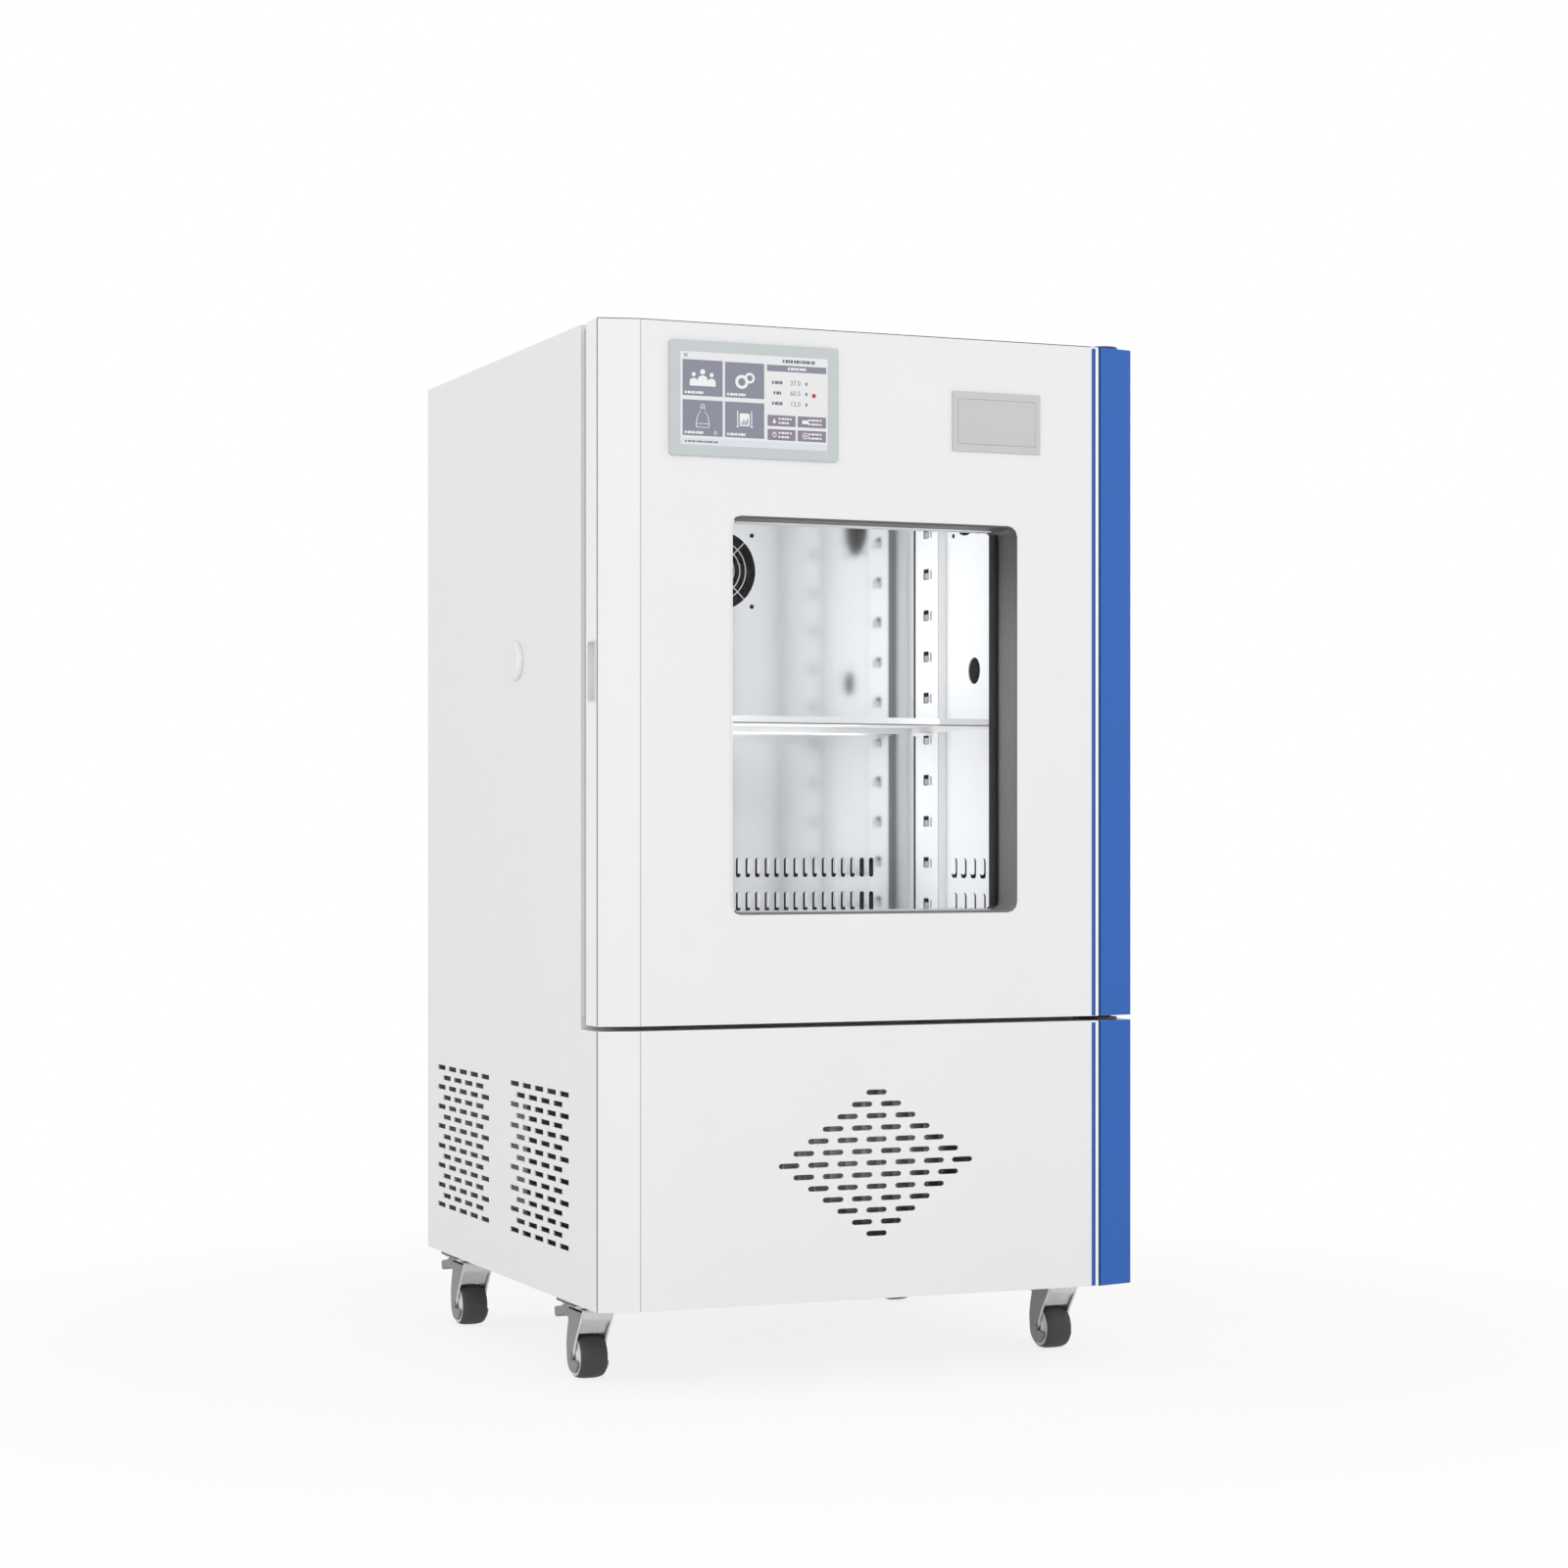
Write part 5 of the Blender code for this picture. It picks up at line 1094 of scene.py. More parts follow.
@dataclass
class Cabinet(SubAssembly):
    """Outer shell: finishes of the CAD nodes, stripes, folded edges and the back panel's screws."""

    stripe_left: float = 0.276
    stripe_width: float = 0.005
    stripe_lift: float = 0.00025
    stripe_foot: float = 0.0005
    stripe_head: float = 0.002
    trim_shade_edge: float = 0.0017
    trim_lift: float = 0.0011
    sunk: float = 0.0002
    screw: ScrewHead = ScrewHead(0.0035, 0.0018)
    screw_margin: float = 0.022
    screw_rows: tuple[float, ...] = (0.13, 0.42, 0.74, 1.16)
    bevel_width: float = 0.0468
    bevel_depth: float = 0.0115
    line: float = 0.00045
    line_lift: float = 0.0001
    fold_share: float = 0.7
    fold_end: float = 0.0004
    corner_end: float = 0.0003

    def build(self) -> Pieces:
        """Dress every CAD node, then add the stripes, the folded edges' lines and the fasteners.

        Returns:
            The pieces.
        """
        for finish, nodes in DRESSED.items():
            for name in nodes:
                node = frame["nodes"][name]
                node.data.materials.clear()
                node.data.materials.append(finish.material())
        return [*self.stripes(), *self.folds(), self.back_screws()]

    def folds(self) -> Pieces:
        """Lines of shade along the folded edges of the door and of the panel below it.

        Returns:
            The pieces.
        """
        made = []
        for panel, body in (("door_panel", Body.DOOR), ("lower_front_panel", Body.CABINET)):
            low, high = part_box(panel)
            crease = low.x + self.bevel_width
            edge = low.y + self.bevel_depth
            half = self.line * self.fold_share
            fold = Shape().block((crease - half, low.y - self.line_lift, low.z + self.fold_end),
                                 (crease + half, low.y + self.sunk, high.z - self.fold_end))
            made.append(fold.piece(f"fold_line_{body.value}", body.value, FOLD))
            lines = [[(low.x, edge, low.z + self.corner_end), (low.x, edge, high.z - self.corner_end)]]
            if body is Body.DOOR:
                lines.append([(crease, low.y, high.z), (self.stripe_left - 0.001, low.y, high.z)])
                lines.append([(low.x, edge, high.z), (crease, low.y, high.z)])
            corner = Shape()
            for line in lines:
                corner.tube(line, self.line)
            made.append(corner.piece(f"corner_line_{body.value}", body.value, EDGE))
        return made

    def stripes(self) -> Pieces:
        """Blue stripe, a gap painted whiter than the door as painted light, and the trim's edge painted dark as
        painted shade, on the door and below it.

        Returns:
            The pieces.
        """
        made = []
        for panel, trim, body in (("door_panel", "door_trim", Body.DOOR),
                                  ("lower_front_panel", "lower_trim", Body.CABINET)):
            low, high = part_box(panel)
            trim_low, trim_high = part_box(trim)
            ends = (low.z + self.stripe_foot, high.z - self.stripe_head)
            stripe_end = self.stripe_left + self.stripe_width
            gap_end = trim_low.x - self.trim_shade_edge
            for name, left, right, lift, (foot, head), finish in (
                ("stripe", self.stripe_left, stripe_end, self.stripe_lift, ends, STRIPE),
                # Painted light: the gap is painted whiter than the door's own white.
                ("stripe_gap", stripe_end, gap_end, self.stripe_lift, ends, GAP_PAINTED_LIGHT),
                # Painted shade: a dark strip along the trim's edge.
                ("trim_shade_edge", gap_end, trim_low.x, self.trim_lift, (trim_low.z, trim_high.z), NAVY_EDGE_SHADE),
            ):
                strip = Shape().block((left, low.y - lift, foot), (right, low.y + self.sunk, head))
                made.append(strip.piece(f"{name}_{body.value}", body.value, finish))
        return made

    def back_screws(self) -> Piece:
        """Screws that hold the back panel along its two sides.

        Returns:
            The screws.
        """
        low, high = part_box("back_panel")
        shape = Shape()
        for x in (low.x + self.screw_margin, high.x - self.screw_margin):
            for z in self.screw_rows:
                self.screw.add(shape, (x, high.y, z), (0, 1, 0))
        return shape.piece("back_panel_screws", Body.CABINET.value, ZINC)


@dataclass
class Hinges(SubAssembly):
    """Screws and pin cap of the hinge plate on the roof."""

    screw: ScrewHead = ScrewHead(0.0042, 0.0001)
    screw_depths: Point = (0.078, 0.104)
    cap_radius: float = 0.0062
    cap_depth: float = 0.0006

    def build(self) -> Pieces:
        """Flush screws in the plate, and the cap that closes its pin.

        Returns:
            The pieces.
        """
        low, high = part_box("upper_hinge")
        middle = (low.x + high.x) / 2
        door = next(joint for joint in frame["record"]["behaviour"]["joints"] if joint["name"] == "door_hinge")
        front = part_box("door_panel")[0].y
        shape = Shape()
        for depth in self.screw_depths:
            self.screw.add(shape, (middle, front + depth, high.z - self.screw.height), (0, 0, 1))
        screws = shape.piece("hinge_screws", Body.CABINET.value, ZINC)
        profile = [(0, 0.0), (self.cap_radius, 0.0), (self.cap_radius, -self.cap_depth), (0, -self.cap_depth)]
        cap = Shape().turned(profile, Matrix.Translation((middle, door["pos_m"][1], high.z)), 28)
        return [screws, cap.piece("hinge_pin_cap", Body.CABINET.value, ZINC)]


@dataclass
class WindowUnit(SubAssembly):
    """Double glazing: two panes that fill the reveal, with the black seal along the hinge side."""

    pane: float = 0.004
    seal: float = 0.0040
    seal_reach: float = 0.0026
    seal_lift: float = 0.0004
    seal_edge: float = 0.0003
    seal_end: float = 0.0038
    inset: float = 0.0002
    corner: float = 0.0095

    def build(self) -> Pieces:
        """Panes in place of the CAD pane, and the seal before their edge.

        Returns:
            The pieces.
        """
        low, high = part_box("window_glass")
        outline = rounded((low.x + self.inset, low.z + self.inset),
                          (high.x - self.seal + self.seal_reach, high.z - self.inset), self.corner)
        panes = Shape()
        panes.prism(outline, low.y, low.y + self.pane)
        panes.prism(outline, high.y - self.pane, high.y)
        glass = panes.piece("window_panes", Body.DOOR.value, GLASS)
        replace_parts(glass, "window_glass")
        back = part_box("window_frame")[1].y
        seal = Shape().block((high.x - self.seal, low.y - self.seal_lift, low.z + self.seal_end),
                             (high.x, back - self.inset, high.z - self.seal_end), self.seal_edge)
        return [glass, seal.piece("window_side_seal", Body.DOOR.value, GASKET)]


@dataclass
class TouchScreen(SubAssembly):
    """Lit picture of the touch screen, whose places are shares of its width and of its height from the top."""

    layer: float = 0.00008
    gap: float = 0.00002
    corner: float = 0.0008
    tiles: tuple[Bar, ...] = (
        (0.015, 0.087, 0.283, 0.475),
        (0.299, 0.091, 0.564, 0.474),
        (0.015, 0.519, 0.283, 0.905),
        (0.299, 0.520, 0.564, 0.905),
    )
    title: Bar = (0.583, 0.095, 0.989, 0.165)
    buttons: tuple[Bar, ...] = (
        (0.587, 0.640, 0.778, 0.760),
        (0.792, 0.640, 0.987, 0.760),
        (0.587, 0.793, 0.778, 0.913),
        (0.792, 0.793, 0.987, 0.913),
    )
    status: Bar = (0.0, 0.932, 1.0, 0.998)
    alarm: Point = (0.904, 0.410)
    alarm_radius: float = 0.0025
    readings: tuple[float, ...] = (0.285, 0.398, 0.512)
    values: tuple[str, ...] = ("37.0", "60.5", "12.0")
    value_across: float = 0.777
    value_size: float = 0.0075
    word_widths: tuple[float, ...] = (0.012, 0.020, 0.009, 0.016)
    word_gaps: tuple[float, ...] = (0.007, 0.003, 0.003)
    button_indent: float = 0.075
    button_lines: Outline = ((-0.022, 0.02), (0.022, 0.03))
    caption_start: Point = (0.014, 0.035)
    caption_reach: tuple[float, ...] = (0.16, 0.14, 0.16, 0.14)
    caption_tall: float = 0.026
    title_words: Place = (0.725, 0.13, 0.865)
    menu: Bar = (0.023, 0.026, 0.048, 0.033)
    menu_pitch: float = 0.012
    heading_words: Place = (0.690, 0.050, 0.915)
    heading_tall: float = 0.035
    status_words: Place = (0.030, 0.966, 0.330)
    status_tall: float = 0.018
    name_words: Outline = ((0.618, 0.695), (0.628, 0.695), (0.618, 0.695))
    unit_words: Point = (0.846, 0.868)
    reading_tall: float = 0.034
    users: tuple[Place, ...] = ((-0.060, 0.03, 0.8), (0.060, 0.03, 0.8), (0.0, 0.0, 1.0))
    user_head: Place = (0.149, 0.215, 0.0030)
    user_body: Place = (0.034, 0.255, 0.368)
    user_round: float = 0.45
    ring_left: Bar = (0.412, 0.300, 0.0078, 0.0044)
    ring_right: Bar = (0.466, 0.255, 0.0060, 0.0034)
    page: Bar = (0.398, 0.640, 0.465, 0.778)
    page_corner: float = 0.0016
    bracket: Bar = (0.4315, 0.612, 0.047, 0.790)
    bracket_stem: float = 0.003
    bracket_foot: Point = (0.010, 0.008)
    chart_tops: tuple[float, ...] = (0.030, 0.055, 0.042, 0.070)
    chart_start: Point = (0.408, 0.765)
    chart_pitch: float = 0.013
    chart_width: float = 0.008
    flask_span: Place = (0.149, 0.600, 0.815)
    flask_body: Outline = ((0.0075, 0.0), (0.0082, 0.0035), (0.0066, 0.013))
    flask_neck: Outline = ((0.0028, -0.0045), (0.0028, 0.0))
    flask_wall: Point = (0.90, 0.945)
    flask_level: Outline = ((-0.0070, 0.004), (0.0070, 0.004), (0.0070, 0.0046), (-0.0070, 0.0046))
    flask_stopper: Place = (0.0016, 0.0024, 0.0017)
    flask_dot: Bar = (0.235, 0.866, 0.0019, 0.0012)
    arrow_at: Point = (0.633, 0.700)
    arrow: Outline = ((-0.0022, -0.0026), (0.0022, -0.0026), (0.0, 0.0030))
    card: Bar = (0.823, 0.682, 0.868, 0.722)
    switch_at: Point = (0.633, 0.853)
    switch_ring: Point = (0.0028, 0.0021)
    switch_bar: Outline = ((-0.0004, 0.0), (0.0004, 0.0), (0.0004, 0.0034), (-0.0004, 0.0034))
    dial_at: Point = (0.845, 0.853)
    dial_ring: Point = (0.0036, 0.0028)
    dial_dot: float = 0.0012

    def spot(self, across: float, down: float) -> Point:
        """Place on the screen's face from shares of its width and of its height down from the top."""
        low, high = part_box("screen_display")
        return low.x + across * (high.x - low.x), high.z - down * (high.z - low.z)

    def face(self, level: int) -> tuple[float, float]:
        """Front and back of a layer of the picture, counted out from the glass."""
        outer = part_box("screen_display")[0].y - self.layer * level
        return outer, outer + self.layer - self.gap

    def bar(self, shape: Shape, box: Bar, level: int, corner: float = 0.0) -> None:
        """Add a rectangle of the picture.

        Args:
            shape: Shape that takes it.
            box: Left, top, right and bottom as shares of the screen.
            level: Layer of the picture.
            corner: Radius of its corners, or 0 for square ones.
        """
        left, bottom = self.spot(box[0], box[3])
        right, top = self.spot(box[2], box[1])
        outline = [(left, bottom), (right, bottom), (right, top), (left, top)]
        if corner > 0:
            outline = rounded((left, bottom), (right, top), corner)
        shape.prism(outline, *self.face(level))

    def disc(self, shape: Shape, centre: Point, radius: float, hole: float = 0.0, level: int = 2) -> None:
        """Add a disc or a ring.

        Args:
            shape: Shape that takes it.
            centre: Centre in the frame's X and Z.
            radius: Outer radius.
            hole: Inner radius, or 0 for a disc.
            level: Layer of the picture.
        """
        outer = circle(centre, radius, 28)
        if hole > 0:
            shape.ring(outer, circle(centre, hole, 28), *self.face(level))
        else:
            shape.prism(outer, *self.face(level))

    def words(self, shape: Shape, left: float, middle: float, right: float, level: int, tall: float = 0.02) -> None:
        """Add a row of short bars that stands for a line of words.

        Args:
            shape: Shape that takes it.
            left: Left end as a share of the width.
            middle: Middle line as a share of the height from the top.
            right: Right end as a share of the width.
            level: Layer of the picture.
            tall: Height as a share of the screen's height.
        """
        cursor = left
        for step in range(12):
            width = self.word_widths[step % len(self.word_widths)]
            if cursor + width > right:
                break
            self.bar(shape, (cursor, middle - tall / 2, cursor + width, middle + tall / 2), level)
            cursor += width + self.word_gaps[step % len(self.word_gaps)]

    def build(self) -> Pieces:
        """Layers of the picture, each in its own colour.

        Returns:
            The pieces.
        """
        tiles, buttons, marks, ink, strip, alarm = (Shape() for _ in range(6))
        for box in (*self.tiles, self.title):
            self.bar(tiles, box, 1)
        for box in self.buttons:
            self.bar(buttons, box, 1, self.corner)
            middle = (box[1] + box[3]) / 2
            for drop, margin in self.button_lines:
                self.words(marks, box[0] + self.button_indent, middle + drop, box[2] - margin, 2)
        for box, reach in zip(self.tiles, self.caption_reach):
            left, down = box[0] + self.caption_start[0], box[3] - self.caption_start[1]
            self.words(marks, left, down, box[0] + reach, 2, self.caption_tall)
        self.words(marks, *self.title_words, 2, self.caption_tall)
        for icon in (self.people, self.rings, self.flask, self.chart, self.button_icons):
            icon(marks)
        left, top, right, bottom = self.menu
        for drop in (self.menu_pitch * row for row in range(3)):
            self.bar(ink, (left, top + drop, right, bottom + drop), 1)
        self.words(ink, *self.heading_words, 1, self.heading_tall)
        for (left, right), down in zip(self.name_words, self.readings):
            self.words(ink, left, down, right, 1, self.reading_tall)
            self.words(ink, self.unit_words[0], down, self.unit_words[1], 1, self.reading_tall)
        self.words(ink, *self.status_words, 2, self.status_tall)
        self.bar(strip, self.status, 1)
        self.disc(alarm, self.spot(*self.alarm), self.alarm_radius, level=1)
        door = Body.DOOR.value
        return [
            tiles.piece("screen_tiles", door, TILE),
            buttons.piece("screen_buttons", door, BUTTON),
            marks.piece("screen_icons", door, MARK),
            ink.piece("screen_ink", door, INK),
            strip.piece("screen_status", door, STRIP),
            alarm.piece("screen_alarm_dot", door, ALARM),
            self.chart_bars(),
            *self.numbers(),
        ]

    def people(self, shape: Shape) -> None:
        """Icon of three users in the first tile.

        Args:
            shape: Shape that takes it.
        """
        centre, head, head_radius = self.user_head
        half, shoulder, foot = self.user_body
        for shift, drop, size in self.users:
            level = 2 if size < 1 else 3
            across = centre + shift
            self.disc(shape, self.spot(across, head + drop), head_radius * size, level=level)
            left, bottom = self.spot(across - half * size, foot)
            right, top = self.spot(across + half * size, shoulder + drop)
            radius = (right - left) * self.user_round
            body = [(left, bottom), (right, bottom)] + arc((right - radius, top - radius), radius, 0, 90, 6)
            body += arc((left + radius, top - radius), radius, 90, 180, 6)
            shape.prism(body, *self.face(level))

    def rings(self, shape: Shape) -> None:
        """Icon of two rings in the second tile."""
        for level, (across, down, radius, hole) in ((2, self.ring_left), (3, self.ring_right)):
            self.disc(shape, self.spot(across, down), radius, hole, level)

    def flask(self, shape: Shape) -> None:
        """Icon of a round-shouldered flask in the third tile, drawn as an outline.

        Args:
            shape: Shape that takes it.
        """
        across, head, foot = self.flask_span
        x, top = self.spot(across, head)
        bottom = self.spot(across, foot)[1]
        half = [(u, bottom + v) for u, v in self.flask_body] + [(u, top + v) for u, v in self.flask_neck]
        outer = [(x - half[0][0], bottom)] + [(x + u, v) for u, v in half]
        outer += [(x - u, v) for u, v in reversed(half[1:])]
        middle = (bottom + top) / 2
        inner = [(x + (u - x) * self.flask_wall[0], middle + (v - middle) * self.flask_wall[1]) for u, v in outer]
        shape.ring(outer, inner, *self.face(2))
        shape.prism(shifted((x, bottom), self.flask_level), *self.face(2))
        rise, *stopper = self.flask_stopper
        self.disc(shape, (x, top + rise), *stopper)
        across, down, *dot = self.flask_dot
        self.disc(shape, self.spot(across, down), *dot)

    def chart(self, shape: Shape) -> None:
        """Icon of a page with a chart between two brackets in the fourth tile.

        Args:
            shape: Shape that takes it.
        """
        middle, top, half, bottom = self.bracket
        reach, tall = self.bracket_foot
        for x in (middle - half, middle + half):
            self.bar(shape, (x - self.bracket_stem, top, x + self.bracket_stem, bottom), 2)
            self.bar(shape, (x - reach, bottom - tall, x + reach, bottom), 2)
        self.bar(shape, self.page, 2, self.page_corner)

    def chart_bars(self) -> Piece:
        """Dark bars on the chart's page.

        Returns:
            The bars.
        """
        dark = Shape()
        start, foot = self.chart_start
        for step, tall in enumerate(self.chart_tops):
            left = start + self.chart_pitch * step
            self.bar(dark, (left, foot - tall, left + self.chart_width, foot), 3)
        return dark.piece("screen_chart_bars", Body.DOOR.value, TILE)

    def button_icons(self, shape: Shape) -> None:
        """Icons at the left of the four buttons.

        Args:
            shape: Shape that takes them.
        """
        shape.prism(shifted(self.spot(*self.arrow_at), self.arrow), *self.face(2))
        self.bar(shape, self.card, 2)
        switch, dial = self.spot(*self.switch_at), self.spot(*self.dial_at)
        self.disc(shape, switch, *self.switch_ring)
        shape.prism(shifted(switch, self.switch_bar), *self.face(3))
        self.disc(shape, dial, *self.dial_ring)
        self.disc(shape, dial, self.dial_dot)

    def numbers(self) -> Pieces:
        """Plain readings as meshes of figures.

        Returns:
            One piece for each reading.
        """
        made = []
        outer, inner = self.face(1)
        for row, (down, value) in enumerate(zip(self.readings, self.values)):
            text = bpy.data.curves.new(f"screen_reading_{row}", "FONT")
            text.body = value
            text.size = self.value_size
            text.extrude = self.layer * 0.45
            text.resolution_u = 2
            text.align_x = "CENTER"
            text.align_y = "CENTER"
            holder = bpy.data.objects.new("holder", text)
            mesh = bpy.data.meshes.new_from_object(holder)
            bpy.data.objects.remove(holder)
            bpy.data.curves.remove(text)
            mesh.name = f"screen_reading_{row}"
            across, up = self.spot(self.value_across, down)
            place = Matrix.Translation((across, (outer + inner) / 2, up))
            mesh.transform(place @ Matrix.Rotation(math.pi / 2, 4, "X"))
            made.append(as_piece(mesh, Body.DOOR.value, INK))
        return made


@dataclass
class PanelPrinter(SubAssembly):
    """Details of the panel printer: the cover's raised skin, its tear edge and the shadow round it."""

    skin_margin: float = 0.0006
    skin_lift: float = 0.00021
    skin_sunk: float = 0.0004
    skin_head: float = 0.0022
    skin_edge: float = 0.0003
    tooth: float = 0.0016
    tooth_margin: float = 0.012
    tooth_foot: float = 0.0012
    tooth_tip: float = 0.0004
    tooth_depth: Point = (-0.0001, 0.0006)
    shadow_reach: tuple[float, float] = (0.00028, 0.00002)
    shadow_depth: Point = (0.0006, 0.0016)

    def build(self) -> Pieces:
        """Skin and tear edge on the flap, and the shadow that stays on the frame.

        Returns:
            The pieces.
        """
        low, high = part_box("printer_cover")
        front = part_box("printer_frame")[0].y
        skin = Shape().block(
            (low.x + self.skin_margin, low.y - self.skin_lift, low.z + self.skin_margin),
            (high.x - self.skin_margin, low.y + self.skin_sunk, high.z - self.skin_head), self.skin_edge)
        teeth = Shape()
        x = low.x + self.tooth_margin
        while x < high.x - self.tooth_margin:
            teeth.prism([(x, high.z - self.tooth_foot), (x + self.tooth, high.z - self.tooth_foot),
                         (x + self.tooth / 2, high.z - self.tooth_tip)],
                        low.y + self.tooth_depth[0], low.y + self.tooth_depth[1])
            x += self.tooth
        outlines = [rounded((low.x - reach, low.z - reach), (high.x + reach, high.z + reach), self.skin_edge, 1)
                    for reach in self.shadow_reach]
        shadow = Shape().ring(*outlines, front + self.shadow_depth[0], front + self.shadow_depth[1])
        return [skin.piece("printer_cover_skin", Body.FLAP.value, PRINTER),
                teeth.piece("printer_tear_edge", Body.FLAP.value, BRUSHED),
                shadow.piece("printer_shadow_gap", Body.DOOR.value, BLACK)]


@dataclass
class Handle(SubAssembly):
    """Soft-edged rim of the finger recess in the door's left edge."""

    rim: float = 0.0016
    lift: float = 0.0009
    sunk: float = 0.0004
    outer_corner: float = 0.004
    inner_corner: float = 0.003

    def build(self) -> Pieces:
        """Rim ring round the recess.

        Returns:
            The pieces.
        """
        low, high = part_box("handle_cup")
        outer = rounded((low.y, low.z), (high.y, high.z), self.outer_corner)
        inner = rounded((low.y + self.rim, low.z + self.rim), (high.y - self.rim, high.z - self.rim),
                        self.inner_corner)
        rim = Shape().ring(outer, inner, low.x - self.lift, low.x + self.sunk, Plane.SIDE)
        return [rim.piece("handle_rim", Body.DOOR.value, WHITE_PLASTIC)]


@dataclass
class Fan(SubAssembly):
    """Axial fan with swept blades on a domed hub."""

    node: str
    body: Body
    out: Place
    blades: int = 7
    hub_share: float = 0.42
    root_share: float = 0.96
    sweep: float = 0.34
    root_pitch: float = 38.0
    pitch_gain: float = 18.0
    root_chord: float = 0.95
    chord_gain: float = 0.35
    camber: float = 0.10
    stations: int = 6
    section: Outline = ((-1, 0.0), (-0.4, 0.0007), (0.3, 0.0009), (1, 0.0002), (0.3, -0.0007),
                                  (-0.4, -0.0006))

    def build(self) -> Pieces:
        """Rotor in place of the CAD rotor.

        Returns:
            The pieces.
        """
        low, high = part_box(self.node)
        along = Vector(self.out)
        span = high - low
        half = abs(span.dot(along)) / 2
        reach = max(span.x, span.z) / 2 if abs(along.y) > 0.5 else span.y / 2
        hub = reach * self.hub_share
        place = Matrix.Translation(middle_of(self.node)) @ Vector((0, 0, 1)).rotation_difference(
            along).to_matrix().to_4x4()
        shape = Shape().turned([(0, half), (hub * 0.7, half), (hub * 0.95, half - 0.002), (hub, half - 0.006),
                                (hub, -half), (0, -half)], place, 40)
        for blade in range(self.blades):
            turn = place @ Matrix.Rotation(math.tau * blade / self.blades, 4, "Z")
            shape.skin(self.blade(turn, hub * self.root_share, reach, half), Matrix.Identity(4))
        rotor = shape.piece(f"{self.node}_blades", self.body.value, BLACK)
        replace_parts(rotor, self.node)
        return [rotor]

    def blade(self, turn: Matrix, root: float, reach: float, half: float) -> list[list[Vector]]:
        """Sections of one swept and twisted blade, from root to tip.

        Args:
            turn: Placing of the fan's axis, turned to the blade.
            root: Radius of the root.
            reach: Radius of the tip.
            half: Half of the fan's thickness.

        Returns:
            Loops of points.
        """
        loops = []
        for step in range(self.stations + 1):
            share = step / self.stations
            radius = root + (reach - root) * share
            pitch = math.radians(self.root_pitch + self.pitch_gain * share)
            chord = half * (self.root_chord + self.chord_gain * share)
            loop = []
            for side, thick in self.section:
                camber = self.camber * chord * (1 - side * side)
                around = side * chord * math.sin(pitch) + thick + camber
                up = side * chord * math.cos(pitch) * 0.86 - thick
                angle = self.sweep * share**1.5 + around / radius
                loop.append(turn @ Vector((radius * math.cos(angle), radius * math.sin(angle), up)))
            loops.append(loop)
        return loops


@dataclass
class FanGuard(SubAssembly):
    """Wire guard before the rear fan, with the dark screws of both chamber fans."""

    rings: tuple[float, ...] = (0.014, 0.022, 0.030, 0.038)
    wire: float = 0.0008
    spoke_gap: float = 0.001
    screw: ScrewHead = ScrewHead(0.0030, 0.0016)
    rear_screw: float = 0.0455
    side_screw: float = 0.03575

    def build(self) -> Pieces:
        """Rings and spokes in place of the CAD guard, and the black screws of both fans.

        Returns:
            The pieces.
        """
        low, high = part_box("rear_fan_guard")
        middle = middle_of("rear_fan_guard")
        shape = Shape()
        for radius in self.rings:
            shape.tube([(x, middle.y, z) for x, z in circle((middle.x, middle.z), radius, 48)], self.wire,
                       closed=True)
        reach = (high.x - low.x) / 2 - self.spoke_gap
        for side in (-1, 1):
            shape.tube([(middle.x - reach, middle.y, middle.z - side * reach), tuple(middle),
                        (middle.x + reach, middle.y, middle.z + side * reach)], self.wire)
        guard = shape.piece("fan_guard_wires", Body.CABINET.value, WIRE_STEEL)
        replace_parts(guard, "rear_fan_guard")
        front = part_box("duct_panel")[0].y
        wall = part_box("chamber_liner")[1].x - LINER_SHEET
        fan = middle_of("side_fan_frame")
        corners = [(u, v) for u in (-1, 1) for v in (-1, 1)]
        heads = Shape()
        for u, v in corners:
            spot = (middle.x + u * self.rear_screw, front, middle.z + v * self.rear_screw)
            self.screw.add(heads, spot, (0, -1, 0))
        for u, v in corners:
            spot = (wall, fan.y + u * self.side_screw, fan.z + v * self.side_screw)
            self.screw.add(heads, spot, (-1, 0, 0))
        return [guard, heads.piece("fan_screws", Body.CABINET.value, BLACK)]


